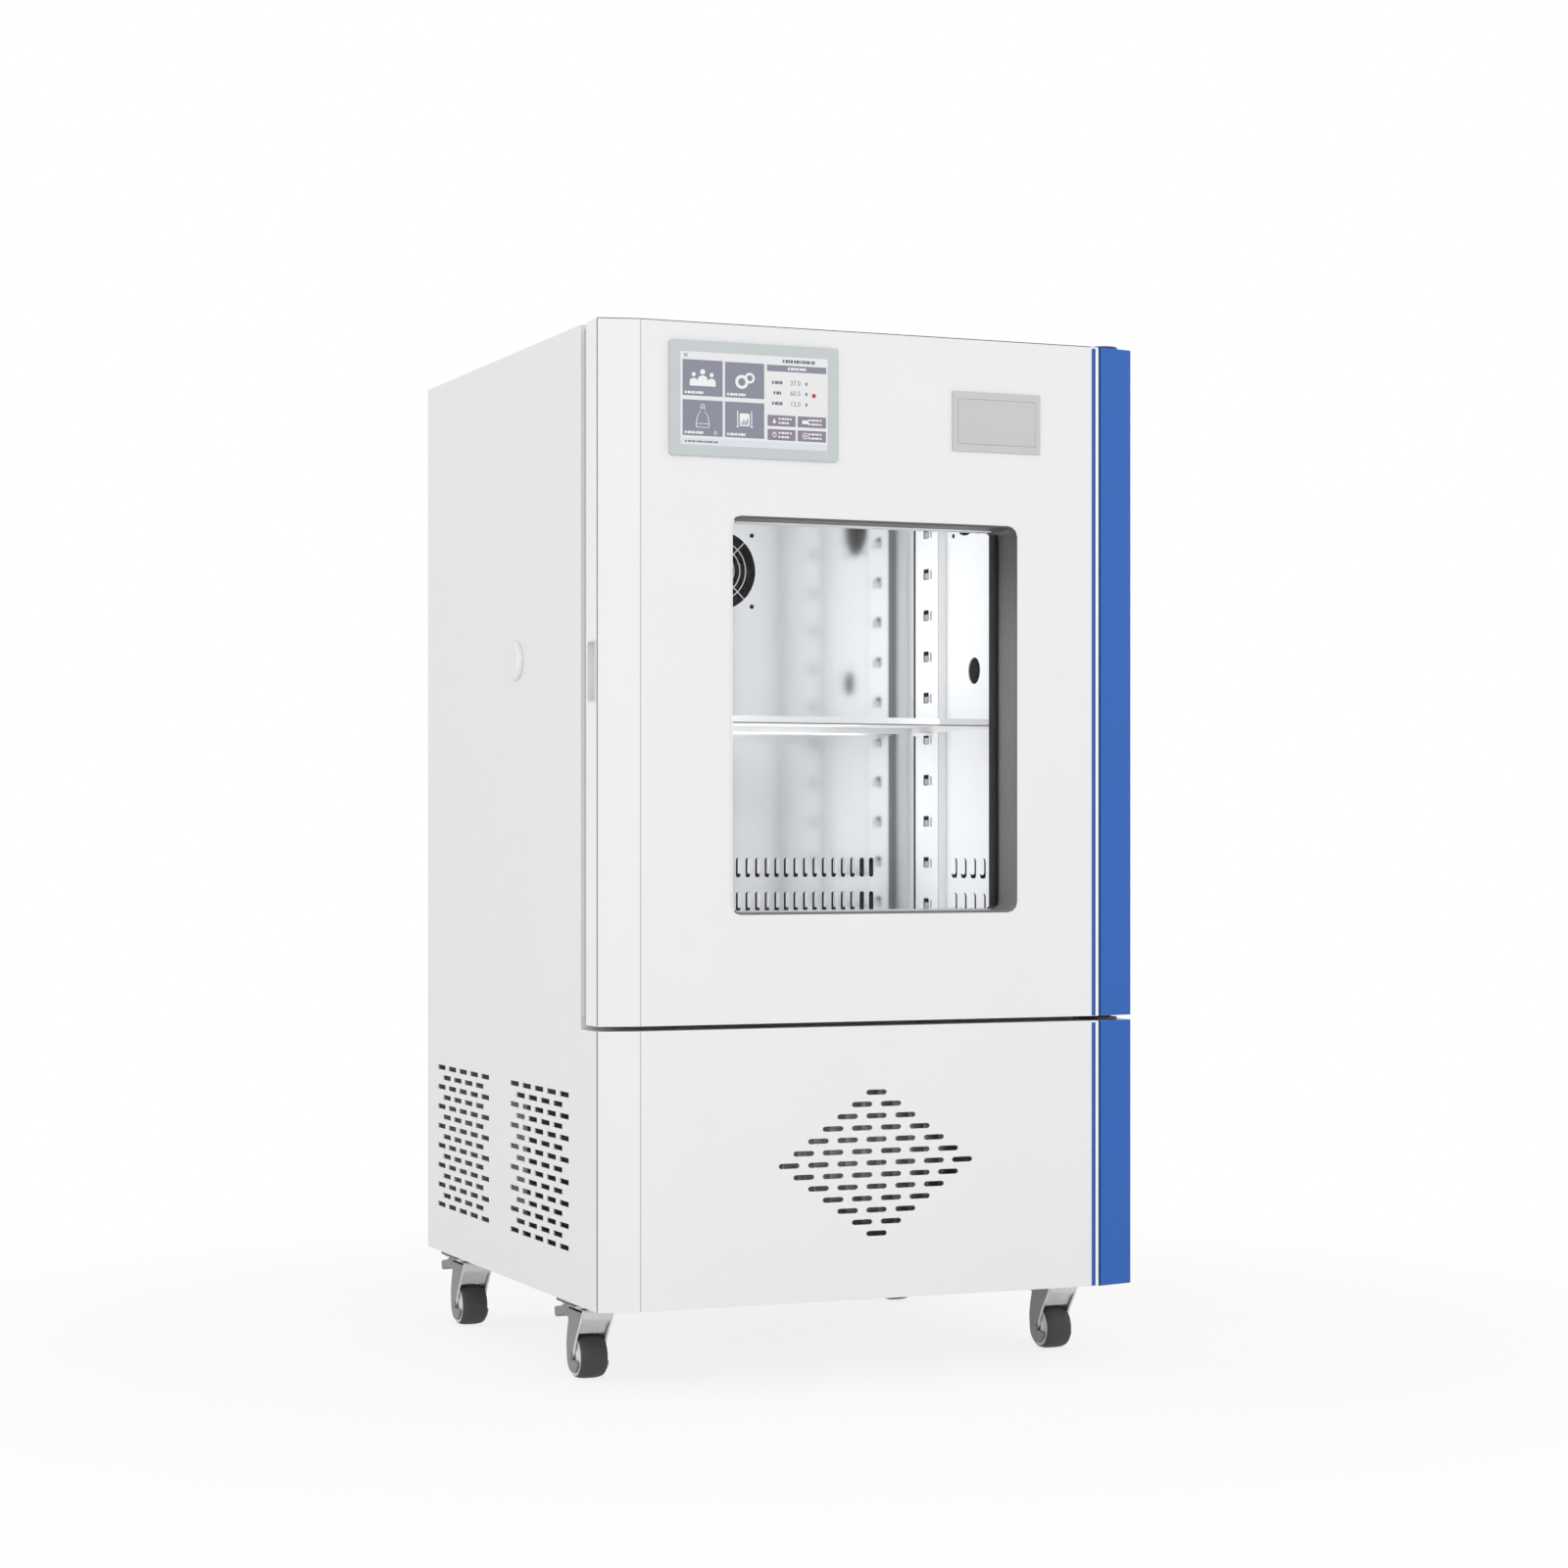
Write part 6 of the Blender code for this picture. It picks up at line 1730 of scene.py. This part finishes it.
@dataclass
class Uprights(SubAssembly):
    """Hook slots of the four shelf uprights: painted shade in the slots, pressed tabs and lances painted lighter as
    painted light, and painted shade and reflection along the web's edge and the flanks.
    """

    pitch: float = 0.0528
    count: int = 11
    top: float = 1.0618
    sheet: float = 0.0012
    web_depth: float = 0.0097
    half_web: float = 0.0375
    half_foot: float = 0.0405
    slot: Point = (0.0150, 0.0130)
    tab: Point = (0.0110, 0.0078)
    tab_gap: float = 0.0004
    lance_shift: float = 0.0150
    lance: Point = (0.0036, 0.0110)
    line: float = 0.0012
    near_line: float = 0.0010
    far_line: float = 0.0014
    shade: float = 0.0050
    flank_gap: float = 0.0004
    end: float = 0.001
    skin: float = 0.0002

    def build(self) -> Pieces:
        """Dress each upright in turn."""
        sides = {node: 1 if "_right_" in node else -1 for node in UPRIGHTS}
        return [piece for node in UPRIGHTS for piece in self.dress(node, sides[node], "_rear" in node)]

    def dress(self, node: str, side: int, rear: bool) -> Pieces:
        """Slots, with their painted shade and light, and the painted shade on the flanks of one upright.

        Args:
            node: CAD node of the upright.
            side: 1 on the right wall and -1 on the left one.
            rear: Whether it is the rear one of its side.

        Returns:
            The pieces.
        """
        low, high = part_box(node)
        middle = (low.y + high.y) / 2
        wall = high.x if side > 0 else low.x
        web = wall - side * self.web_depth
        # Painted shade: black grounds in the slots and a black bar along the web's rear edge.
        shade_grounds, lit_tabs, marks = Shape(), Shape(), Shape()
        start = middle - self.slot[0] / 2
        lance = middle + (-1 if rear else 1) * self.lance_shift - self.lance[0] / 2
        lance_end = lance + self.lance[0]
        for row in range(self.count):
            foot = self.top - row * self.pitch - self.slot[1] / 2
            for shape, lift, spot, end in (
                (shade_grounds, 1, (start, foot), (start + self.slot[0], foot + self.slot[1])),
                (lit_tabs, 2.5, (start + self.tab_gap, foot + self.tab_gap),
                 (start + self.tab_gap + self.tab[0], foot + self.tab[1])),
                (lit_tabs, 4, (lance, foot), (lance_end, foot + self.lance[1])),
                (marks, 2, (lance_end, foot), (lance_end + self.line, foot + self.lance[1])),
            ):
                self.sheet_bar(shape, side, (web, 0.0, self.skin * lift), spot, end)
        foot, head = low.z + self.end, high.z - self.end
        # Painted shade and reflection: dark lines along the web's edge and the wall feet.
        for shape, base, lift, left, right in (
            (marks, web, 0.0, middle - self.half_web, middle - self.half_web + self.line),
            (marks, wall, self.sheet, middle - self.half_foot, middle - self.half_foot + self.near_line),
            (marks, wall, self.sheet, middle + self.half_foot - self.far_line, middle + self.half_foot),
            (shade_grounds, web, 0.0, middle + self.half_web - self.shade, middle + self.half_web),
        ):
            self.sheet_bar(shape, side, (base, lift, lift + self.skin), (left, foot), (right, head))
        cabinet = Body.CABINET.value
        # Painted light: the tabs and lances take a lighter steel than the upright they are pressed from.
        made = [shade_grounds.piece(f"{node}_slots", cabinet, SHADOW), lit_tabs.piece(f"{node}_tabs", cabinet, BRUSHED),
                marks.piece(f"{node}_edges", cabinet, FLANK_SHADE)]
        if rear:
            # Painted shade and reflection: a dark grey strip on the rear flank.
            near, far = sorted((web + side * self.flank_gap, wall - side * self.sheet))
            flank = Shape().block((near, middle + self.half_web, foot),
                                  (far, middle + self.half_web + self.skin, head))
            made.append(flank.piece(f"{node}_flank", cabinet, FLANK_SHADE))
        return made

    def sheet_bar(self, shape: Shape, side: int, depth: Place, low: Point, high: Point) -> None:
        """Add a thin bar that lies on a face of the upright.

        Args:
            shape: Shape that takes it.
            side: 1 on the right wall and -1 on the left one.
            depth: X of the face, then the bar's nearest and farthest distance from it, towards the chamber.
            low: Lowest Y and Z.
            high: Highest Y and Z.
        """
        base, start, end = depth
        near, far = sorted((base - side * start, base - side * end))
        shape.block((near, *low), (far, *high))


@dataclass
class ChamberVents(SubAssembly):
    """Vent slots in the duct panel and the side walls, with painted shade in them and the lit duct behind painted on
    lighter inserts.
    """

    rear_pitch: float = 0.0133
    rear_count: int = 33
    side_pitch: float = 0.0274
    side_count: int = 4
    side_middle: float = -0.0199
    rows: Point = (0.5362, 0.5799)
    size: Point = (0.0060, 0.0250)
    side_width: float = 0.0156
    shade_edge: Point = (0.0025, 0.0046)
    side_shade: Point = (0.0034, 0.0005)
    shade_from: float = 0.195
    skin: float = 0.0003

    def build(self) -> Pieces:
        """Slot grounds painted black as shade, with inserts painted light for the lit duct behind, which leave their
        left and lower edges in painted shade.

        Returns:
            The pieces.
        """
        shade_grounds, painted_lit_views = Shape(), Shape()
        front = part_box("duct_panel")[0].y
        width = self.size[0]
        for z in self.rows:
            for column in range(self.rear_count):
                x = (column - (self.rear_count - 1) / 2) * self.rear_pitch
                start, end = x - width / 2, x + width / 2
                shade_grounds.prism(self.slot(start, end, z, width * 0.45), front - self.skin, front)
                # Painted light: the lit duct behind the slot, painted on an insert that leaves the slot's left and
                # lower edges in painted shade.
                if abs(x) < self.shade_from:
                    outline = self.slot(start + self.shade_edge[0], end, z, width * 0.35, self.shade_edge[1])
                    painted_lit_views.prism(outline, front - self.skin * 2, front - self.skin)
        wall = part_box("chamber_liner")[1].x - LINER_SHEET
        width = self.side_width
        for side in (-1, 1):
            face = side * wall
            levels = [face, face - side * self.skin, face - side * self.skin * 2]
            for z in self.rows:
                for column in range(self.side_count):
                    y = self.side_middle + (column - (self.side_count - 1) / 2) * self.side_pitch
                    start, end = y - width / 2, y + width / 2
                    shade_grounds.prism(self.slot(start, end, z, width * 0.3), *sorted(levels[:2]), Plane.SIDE)
                    outline = self.slot(start + self.side_shade[0], end - self.side_shade[1], z, width * 0.25,
                                        self.shade_edge[1])
                    painted_lit_views.prism(outline, *sorted(levels[1:]), Plane.SIDE)
        cabinet = Body.CABINET.value
        return [shade_grounds.piece("vent_shade_grounds", cabinet, SHADOW), painted_lit_views.piece("vent_painted_lit_views", cabinet, VENT_PAINTED_LIGHT)]

    def slot(self, start: float, end: float, middle: float, radius: float, foot: float = 0.0) -> list[Point]:
        """Outline of an upright slot."""
        tall = self.size[1]
        return rounded((start, middle - tall / 2 + foot), (end, middle + tall / 2), radius, 3)


@dataclass
class ChamberPorts(SubAssembly):
    """Black silicone stems of the port plugs, and the dark edge of the side fan's duct."""

    stem: float = 0.0166
    stem_edge: float = 0.0008
    inner: float = 0.2676
    overlap: float = 0.001
    rim_radii: tuple[float, float] = (0.0385, 0.0330)
    rim_depth: tuple[float, float] = (-0.0006, 0.0016)

    def build(self) -> Pieces:
        """A stem that fills each bore, and the rim of the side fan's opening.

        Returns:
            The pieces.
        """
        made = []
        for side, body, name in ((-1, Body.LEFT_PLUG, "left"), (1, Body.RIGHT_PLUG, "right")):
            low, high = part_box(f"port_plug_{name}")
            middle = middle_of(f"port_plug_{name}")
            length = abs(low.x if side > 0 else high.x) - self.inner + self.overlap
            place = Matrix.Translation((side * self.inner, middle.y, middle.z))
            profile = [(0, 0.0), (self.stem - self.stem_edge, 0.0), (self.stem, self.stem_edge),
                       (self.stem, length), (0, length)]
            stem = Shape().turned(profile, place @ Matrix.Rotation(side * math.pi / 2, 4, "Y"), 32)
            made.append(stem.piece(f"port_stem_{name}", body.value, SHADOW))
        fan = middle_of("side_fan_frame")
        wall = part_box("chamber_liner")[1].x - LINER_SHEET
        outlines = [circle((fan.y, fan.z), radius, 8, 22.5) for radius in self.rim_radii]
        rim = Shape().ring(*outlines, wall + self.rim_depth[0], wall + self.rim_depth[1], Plane.SIDE)
        made.append(rim.piece("side_fan_rim", Body.CABINET.value, SHADOW))
        return made


@dataclass
class ShelfTrim(SubAssembly):
    """Thin line of shade along the foot of the shelf's folded front."""

    edge: float = 0.0009
    end: float = 0.001

    def build(self) -> Pieces:
        """Line along the foot of the front fold.

        Returns:
            The pieces.
        """
        low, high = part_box("shelf")
        height = low.z + self.edge
        line = Shape().tube([(low.x + self.end, low.y, height), (high.x - self.end, low.y, height)], self.edge)
        return [line.piece("shelf_front_line", Body.CABINET.value, FLANK_SHADE)]


@dataclass
class MainsInlet(SubAssembly):
    """Three contacts in the socket of the mains inlet and its two screws."""

    blade: Point = (0.0032, 0.0010)
    blade_edge: float = 0.0003
    contacts: Outline = ((-0.0055, -0.002), (0.0, 0.002), (0.0055, -0.002))
    start: float = 0.0185
    end: float = 0.005
    screw: ScrewHead = ScrewHead(0.0028, 0.0004)
    screw_shift: float = 0.020

    def build(self) -> Pieces:
        """Contacts and screws.

        Returns:
            The pieces.
        """
        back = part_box("mains_inlet")[1].y
        middle = middle_of("mains_inlet")
        tall, half = self.blade
        pins = Shape()
        for x, z in self.contacts:
            pins.block((middle.x + x - half, back - self.start, middle.z + z - tall / 2),
                       (middle.x + x + half, back - self.end, middle.z + z + tall / 2), self.blade_edge)
        screws = Shape()
        for side in (-1, 1):
            spot = (middle.x + side * self.screw_shift, back - self.screw.height, middle.z)
            self.screw.add(screws, spot, (0, 1, 0))
        return [pins.piece("inlet_contacts", Body.CABINET.value, ZINC),
                screws.piece("inlet_screws", Body.CABINET.value, ZINC)]


@dataclass
class Caster(SubAssembly):
    """Braked swivel caster: tyred wheel, pressed fork, brake lever and plate bolts.

    Outlines in the side view are given from the axle, or as shares of the part's own box.
    """

    corner: str
    axle: float = 0.004
    sheet: float = 0.0025
    sheet_lap: float = 0.0002
    gap: float = 0.0003
    crown: float = 0.0046
    crown_edge: float = 0.0012
    crown_back: float = 0.0125
    foot_radius: float = 0.0184
    rivet: Point = (0.0042, 0.0030)
    rivet_edge: float = 0.0008
    lip: Point = (0.0009, 0.0004)
    hub_inset: float = 0.0002
    hub_gap: float = 0.0006
    slant_head: Point = (0.0015, -0.0010)
    slant: Outline = ((-0.0250, 0.0395), (-0.0130, 0.0235), (-0.0045, 0.0075), (-0.0005, -0.0030))
    notch: Point = (-0.0090, -0.0036)
    foot_turn: Point = (195, 352)
    heel: Outline = ((0.0190, 0.0045), (0.0196, 0.0150), (0.0165, 0.0300), (0.0128, 0.0420))
    heel_head: Point = (0.0120, -0.0012)
    crown_inset: float = 0.0004
    sheet_head: Outline = ((0.0012, -0.0045), (0.0070, -0.0120))
    sheet_foot: Outline = ((-0.0200, 0.0375), (-0.0110, 0.0272))
    sheet_under: Place = (0.0002, 0.0001, 0.0001)
    axle_share: float = 0.9
    strip_inset: Point = (0.0004, 0.0001)
    tread: Outline = (
        (1.0, 0.12), (0.996, 0.36), (0.984, 0.58), (0.960, 0.78), (0.925, 0.93), (0.885, 1.0), (0.865, 1.0),
        (0.76, 0.99), (0.72, 0.95), (0.36, 0.94), (0.33, 1.0))
    pedal_half: float = 0.0150
    pedal_extra: float = 0.006
    pedal_droop: float = 0.008
    pedal_edge: float = 0.0006
    pedal_top: Outline = (
        (0.01, 0.45), (0.04, 0.10), (0.20, 0.02), (0.38, 0.10), (0.62, 0.36), (0.82, 0.44), (1.0, 0.56))
    pedal_foot: Outline = (
        (0.99, 0.10), (0.91, 0.0), (0.72, 0.20), (0.45, 0.28), (0.20, 0.20), (0.05, 0.30))
    rib: Place = (0.002, 0.0012, 0.0010)
    rib_first: Point = (0.66, 0.36)
    rib_pitch: Point = (0.08, 0.05)
    rib_edge: float = 0.0003
    bolt_margin: float = 0.010
    bolt_radius: float = 0.0055
    bolt_height: float = 0.0035
    plate: float = 0.003

    def build(self) -> Pieces:
        """Smooth wheel, fork and lever in place of the CAD ones, and the bolts of the plate."""
        return [self.wheel(), *self.fork(), self.pedal(), self.bolts()]

    def wheel(self) -> Piece:
        """Wheel with a crowned tread and a dished hub.

        Returns:
            The wheel.
        """
        node = f"caster_wheel_{self.corner}"
        low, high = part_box(node)
        middle = middle_of(node)
        half = (high.x - low.x) / 2 - self.hub_inset
        side = [(middle.z * share, half * level) for share, level in self.tread] + [(self.axle + self.hub_gap, half)]
        profile = side[::-1] + [(r, -h) for r, h in side]
        place = Matrix.Translation(middle) @ Matrix.Rotation(math.pi / 2, 4, "Y")
        item = Shape().turned(profile, place, 64).piece(node + "_round", f"wheel_{self.corner}", TYRE, 50)
        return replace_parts(item, node)

    def cheek(self, front: float, top: float, axle: Point) -> tuple[list[Point], list[Point]]:
        """Side outline of the fork's cheek: a slanted front edge, a notch at the axle and a round foot.

        Args:
            front: Y of the crown's front edge.
            top: Z of the crown's top.
            axle: Y and Z of the axle.

        Returns:
            The slanted front edge, and the rest of the outline.
        """
        slant = smooth_line(shifted((front, top), [self.slant_head]) + shifted(axle, self.slant), 4, closed=False)
        back = smooth_line(shifted(axle, self.heel) + shifted((axle[0], top), [self.heel_head]), 4, closed=False)
        foot = arc(axle, self.foot_radius, *self.foot_turn, 18)
        return slant, shifted(axle, [self.notch]) + foot + back

    def fork(self) -> Pieces:
        """Pressed fork: crown, hollowed front sheet and front edges painted light, with cheeks and riveted axle ends
        painted grey as shade.

        Returns:
            The pieces.
        """
        node, body = f"caster_fork_{self.corner}", f"swivel_{self.corner}"
        low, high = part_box(node)
        wheel_low, wheel_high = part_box(f"caster_wheel_{self.corner}")
        x = (low.x + high.x) / 2
        axle = tuple(middle_of(f"caster_wheel_{self.corner}"))[1:]
        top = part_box(f"caster_plate_{self.corner}")[0].z - self.gap
        front = low.y
        inner = (wheel_high.x - wheel_low.x) / 2 + self.gap
        outer = inner + self.sheet
        crown = Shape().block((x - outer, front + self.crown_inset, top - self.crown),
                              (x + outer, axle[0] + self.crown_back, top), self.crown_edge)
        sheet = smooth_line(shifted((front, top), self.sheet_head) + shifted(axle, self.sheet_foot), 5, closed=False)
        step, spread, lift = self.sheet_under
        under = [(u + step + spread * rank, v + lift) for rank, (u, v) in enumerate(reversed(sheet))]
        crown.prism(sheet + under, x - inner - self.sheet_lap, x + inner + self.sheet_lap, Plane.SIDE)
        # Painted light on the crown and front sheet.
        pressing = crown.piece(node + "_pressing", body, LIT_ZINC, 40)
        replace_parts(pressing, node)
        cheeks, edges = Shape(), Shape()
        slant, rest = self.cheek(front, top, axle)
        for side in (-1, 1):
            near, far = sorted((x + side * inner, x + side * outer))
            cheeks.prism(slant + rest, near, far, Plane.SIDE)
        reach = (high.x - low.x) / 2
        wide, narrow = self.rivet
        end = [(0, reach), (narrow, reach), (wide, reach - self.rivet_edge), (wide, outer - self.sheet_lap),
               (self.axle * self.axle_share, outer - self.sheet_lap)]
        cheeks.turned(end + [(r, -h) for r, h in reversed(end)],
                      Matrix.Translation((x, *axle)) @ Matrix.Rotation(math.pi / 2, 4, "Y"), 24)
        # Painted shade on the cheeks and axle ends.
        plates = cheeks.piece(node + "_cheeks", body, SHADED_ZINC, 40)
        strip = slant + [(u - self.lip[0], v - self.lip[1]) for u, v in reversed(slant)]
        near_inset, far_inset = self.strip_inset
        for side in (-1, 1):
            near, far = sorted((x + side * (inner + near_inset), x + side * (outer + far_inset)))
            edges.prism(strip, near, far, Plane.SIDE)
        # Painted highlight along the cheeks' slanted front edges.
        return [pressing, plates, edges.piece(node + "_edges", body, LIT_ZINC, 40)]

    def pedal(self) -> Piece:
        """Brake lever with a drooping nose and ribs for the toe.

        Returns:
            The lever.
        """
        node = f"brake_pedal_{self.corner}"
        low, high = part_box(node)
        length = high.y - low.y + self.pedal_extra
        tall = high.z - low.z + self.pedal_droop
        foot = high.z - tall
        x = (low.x + high.x) / 2
        line = smooth_line([(low.y + length * across, high.z - tall * down) for across, down in self.pedal_top]
                           + [(low.y + length * across, foot + tall * up) for across, up in self.pedal_foot], 5)
        shape = Shape().prism(line, x - self.pedal_half, x + self.pedal_half, Plane.SIDE, self.pedal_edge)
        margin, wide, deep = self.rib
        for step in range(3):
            y = low.y + length * (self.rib_first[0] + self.rib_pitch[0] * step)
            z = high.z - tall * (self.rib_first[1] + self.rib_pitch[1] * step)
            shape.block((x - self.pedal_half + margin, y, z - deep), (x + self.pedal_half - margin, y + wide, z),
                        self.rib_edge)
        # Painted shade: the lever takes the grey copy of the zinc.
        item = shape.piece(node + "_lever", f"brake_{self.corner}", SHADED_ZINC, 40)
        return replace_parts(item, node)

    def bolts(self) -> Piece:
        """Hexagon heads under the corners of the mounting plate.

        Returns:
            The bolt heads.
        """
        low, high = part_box(f"caster_plate_{self.corner}")
        under = high.z - self.plate
        shape = Shape()
        for x in (low.x + self.bolt_margin, high.x - self.bolt_margin):
            for y in (low.y + self.bolt_margin, high.y - self.bolt_margin):
                shape.prism(circle((x, y), self.bolt_radius, 6), under - self.bolt_height, under, Plane.PLAN, 0.0004)
        return shape.piece(f"caster_bolts_{self.corner}", Body.CABINET.value, ZINC)


@dataclass(frozen=True)
class Lamp:
    """Square soft lamp."""

    name: str
    place: Place
    target: Place
    size: float
    power: float
    glossy: bool = True

    def add(self) -> None:
        """Put the lamp in the scene, turned to its target."""
        light = bpy.data.lights.new(self.name, "AREA")
        light.size = self.size
        light.energy = self.power
        item = bpy.data.objects.new(self.name, light)
        item.location = self.place
        item.rotation_euler = (Vector(self.target) - Vector(self.place)).to_track_quat("-Z", "Y").to_euler()
        item.visible_camera = False
        item.visible_glossy = self.glossy
        bpy.context.scene.collection.objects.link(item)


@dataclass
class Studio:
    """White sweep, soft lamps and the camera at the photograph's viewpoint."""

    lens: float = 76.82
    shift: float = 0.0319
    eye: Place = (-1.5610, -3.8135, 0.6230)
    yaw: float = 22.5703
    white: Colour = (1.0, 1.0, 1.0)
    world_light: float = 0.72
    floor_half: float = 30.0
    floor_colour: Colour = (0.92, 0.92, 0.92)
    shadow_share: float = 0.20
    shadow_ends: Point = (0.6, 1.6)
    lamps: tuple[Lamp, ...] = (
        Lamp("key", (-1.2, -3.4, 2.2), (0.0, 0.0, 0.6), 2.4, 27.0),
        Lamp("fill", (2.6, -2.4, 1.6), (0.0, 0.0, 0.6), 2.2, 12.0),
        Lamp("side", (-3.2, 0.4, 1.6), (0.0, 0.0, 0.6), 2.0, 12.0),
        Lamp("low", (-1.3, -2.6, 0.35), (0.0, 0.0, 0.05), 0.6, 3.0),
    )
    chamber_front: float = 0.10
    chamber_side: float = 0.15
    chamber_back: float = 0.15
    chamber_gap: float = 0.02
    mouth_gap: float = 0.004

    def build(self) -> None:
        """Set the view, then add the sweep, the lamps and the camera."""
        bpy.context.scene.view_settings.view_transform = "Standard"
        self.world()
        self.floor()
        for lamp in (*self.lamps, *self.chamber_lamps()):
            lamp.add()
        self.camera()

    def seen_white(self, tree: ShaderTree) -> Signal:
        """Mask of the rays that see the white background.

        Args:
            tree: Tree that takes the nodes.

        Returns:
            The mask.
        """
        rays = [tree.node("ShaderNodeLightPath", {}, output=name)
                for name in ("Is Camera Ray", "Is Transmission Ray", "Is Glossy Ray")]
        total = rays[0] + rays[1] + rays[2]
        return tree.node("ShaderNodeMath", {0: total, 1: 1.0}, {"operation": "MINIMUM"})

    def world(self) -> None:
        """World that is white to the camera and a soft light to the rest."""
        bpy.context.scene.world = bpy.data.worlds.new("studio")
        tree = ShaderTree(bpy.context.scene.world)
        level = self.seen_white(tree) * (1 - self.world_light) + self.world_light
        tree.close(tree.node("ShaderNodeBackground", {"Color": self.white, "Strength": level}))

    def floor(self) -> None:
        """Pale floor that keeps a faint shadow near the object and is white further off."""
        tree = ShaderTree(bpy.data.materials.new("studio_floor"))
        place = tree.place() * (1.0, 1.0, 0.0)
        far = tree.node("ShaderNodeVectorMath", {0: place}, {"operation": "LENGTH"}, output="Value")
        share = self.seen_white(tree) * (1 - self.shadow_share + far.between(*self.shadow_ends) * self.shadow_share)
        diffuse = tree.node("ShaderNodeBsdfDiffuse", {"Color": self.floor_colour})
        white = tree.node("ShaderNodeEmission", {"Color": self.white, "Strength": 1.0})
        material = tree.close(tree.node("ShaderNodeMixShader", {0: share, 1: diffuse, 2: white}))
        half = self.floor_half
        mesh = bpy.data.meshes.new("studio_floor")
        mesh.from_pydata([(-half, -half, 0), (half, -half, 0), (half, half, 0), (-half, half, 0)], [], [(0, 1, 2, 3)])
        mesh.materials.append(material)
        item = bpy.data.objects.new("studio_floor", mesh)
        bpy.context.scene.collection.objects.link(item)

    def chamber_lamps(self) -> list[Lamp]:
        """Soft lamps that fill the chamber with light, as its own lamp does.

        Returns:
            The lamps, which mirrors don't show.
        """
        low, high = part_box("chamber_liner")
        middle = middle_of("chamber_liner")
        front, side = middle.y - self.chamber_front, self.chamber_side
        return [
            Lamp("chamber_top", (0, front, high.z - self.chamber_gap), (0, front, 0), 0.32, 0.22, False),
            Lamp("chamber_foot", (0, front, low.z + self.chamber_gap), (0, front, 2.0), 0.32, 0.34, False),
            Lamp("chamber_mouth", (0, low.y - self.mouth_gap, middle.z), (0, high.y, middle.z), 0.36, 0.25, False),
            Lamp("chamber_back", (0, self.chamber_back, middle.z), (0, low.y, middle.z), 0.44, 1.25, False),
            Lamp("chamber_left", (-side, front, middle.z), (high.x, front, middle.z), 0.32, 0.48, False),
            Lamp("chamber_right", (side, front, middle.z), (low.x, front, middle.z), 0.32, 0.52, False),
        ]

    def camera(self) -> None:
        """Level camera with the photograph's lens, place and shift."""
        camera = bpy.data.cameras.new("camera")
        camera.lens = self.lens
        camera.sensor_width = 36.0
        camera.shift_y = self.shift
        camera.clip_end = 100.0
        item = bpy.data.objects.new("camera", camera)
        item.location = self.eye
        item.rotation_euler = (math.pi / 2, 0, math.radians(-self.yaw))
        bpy.context.scene.collection.objects.link(item)
        bpy.context.scene.camera = item


def main() -> None:
    """Build the sub-assemblies in order, then the studio."""
    logging.basicConfig(level=logging.INFO, format="%(message)s")
    assemblies: list[SubAssembly] = [
        Cabinet(),
        Hinges(),
        WindowUnit(),
        TouchScreen(),
        PanelPrinter(),
        Handle(),
        Fan("rear_fan_rotor", Body.REAR_FAN, (0, 1, 0)),
        Fan("side_fan_rotor", Body.SIDE_FAN, (1, 0, 0)),
        FanGuard(),
        Uprights(),
        ChamberVents(),
        ChamberPorts(),
        ShelfTrim(),
        MainsInlet(),
        *(Caster(corner) for corner in CORNERS),
    ]
    for assembly in assemblies:
        assembly.report()
    Studio().build()


if __name__ == "__main__":
    main()
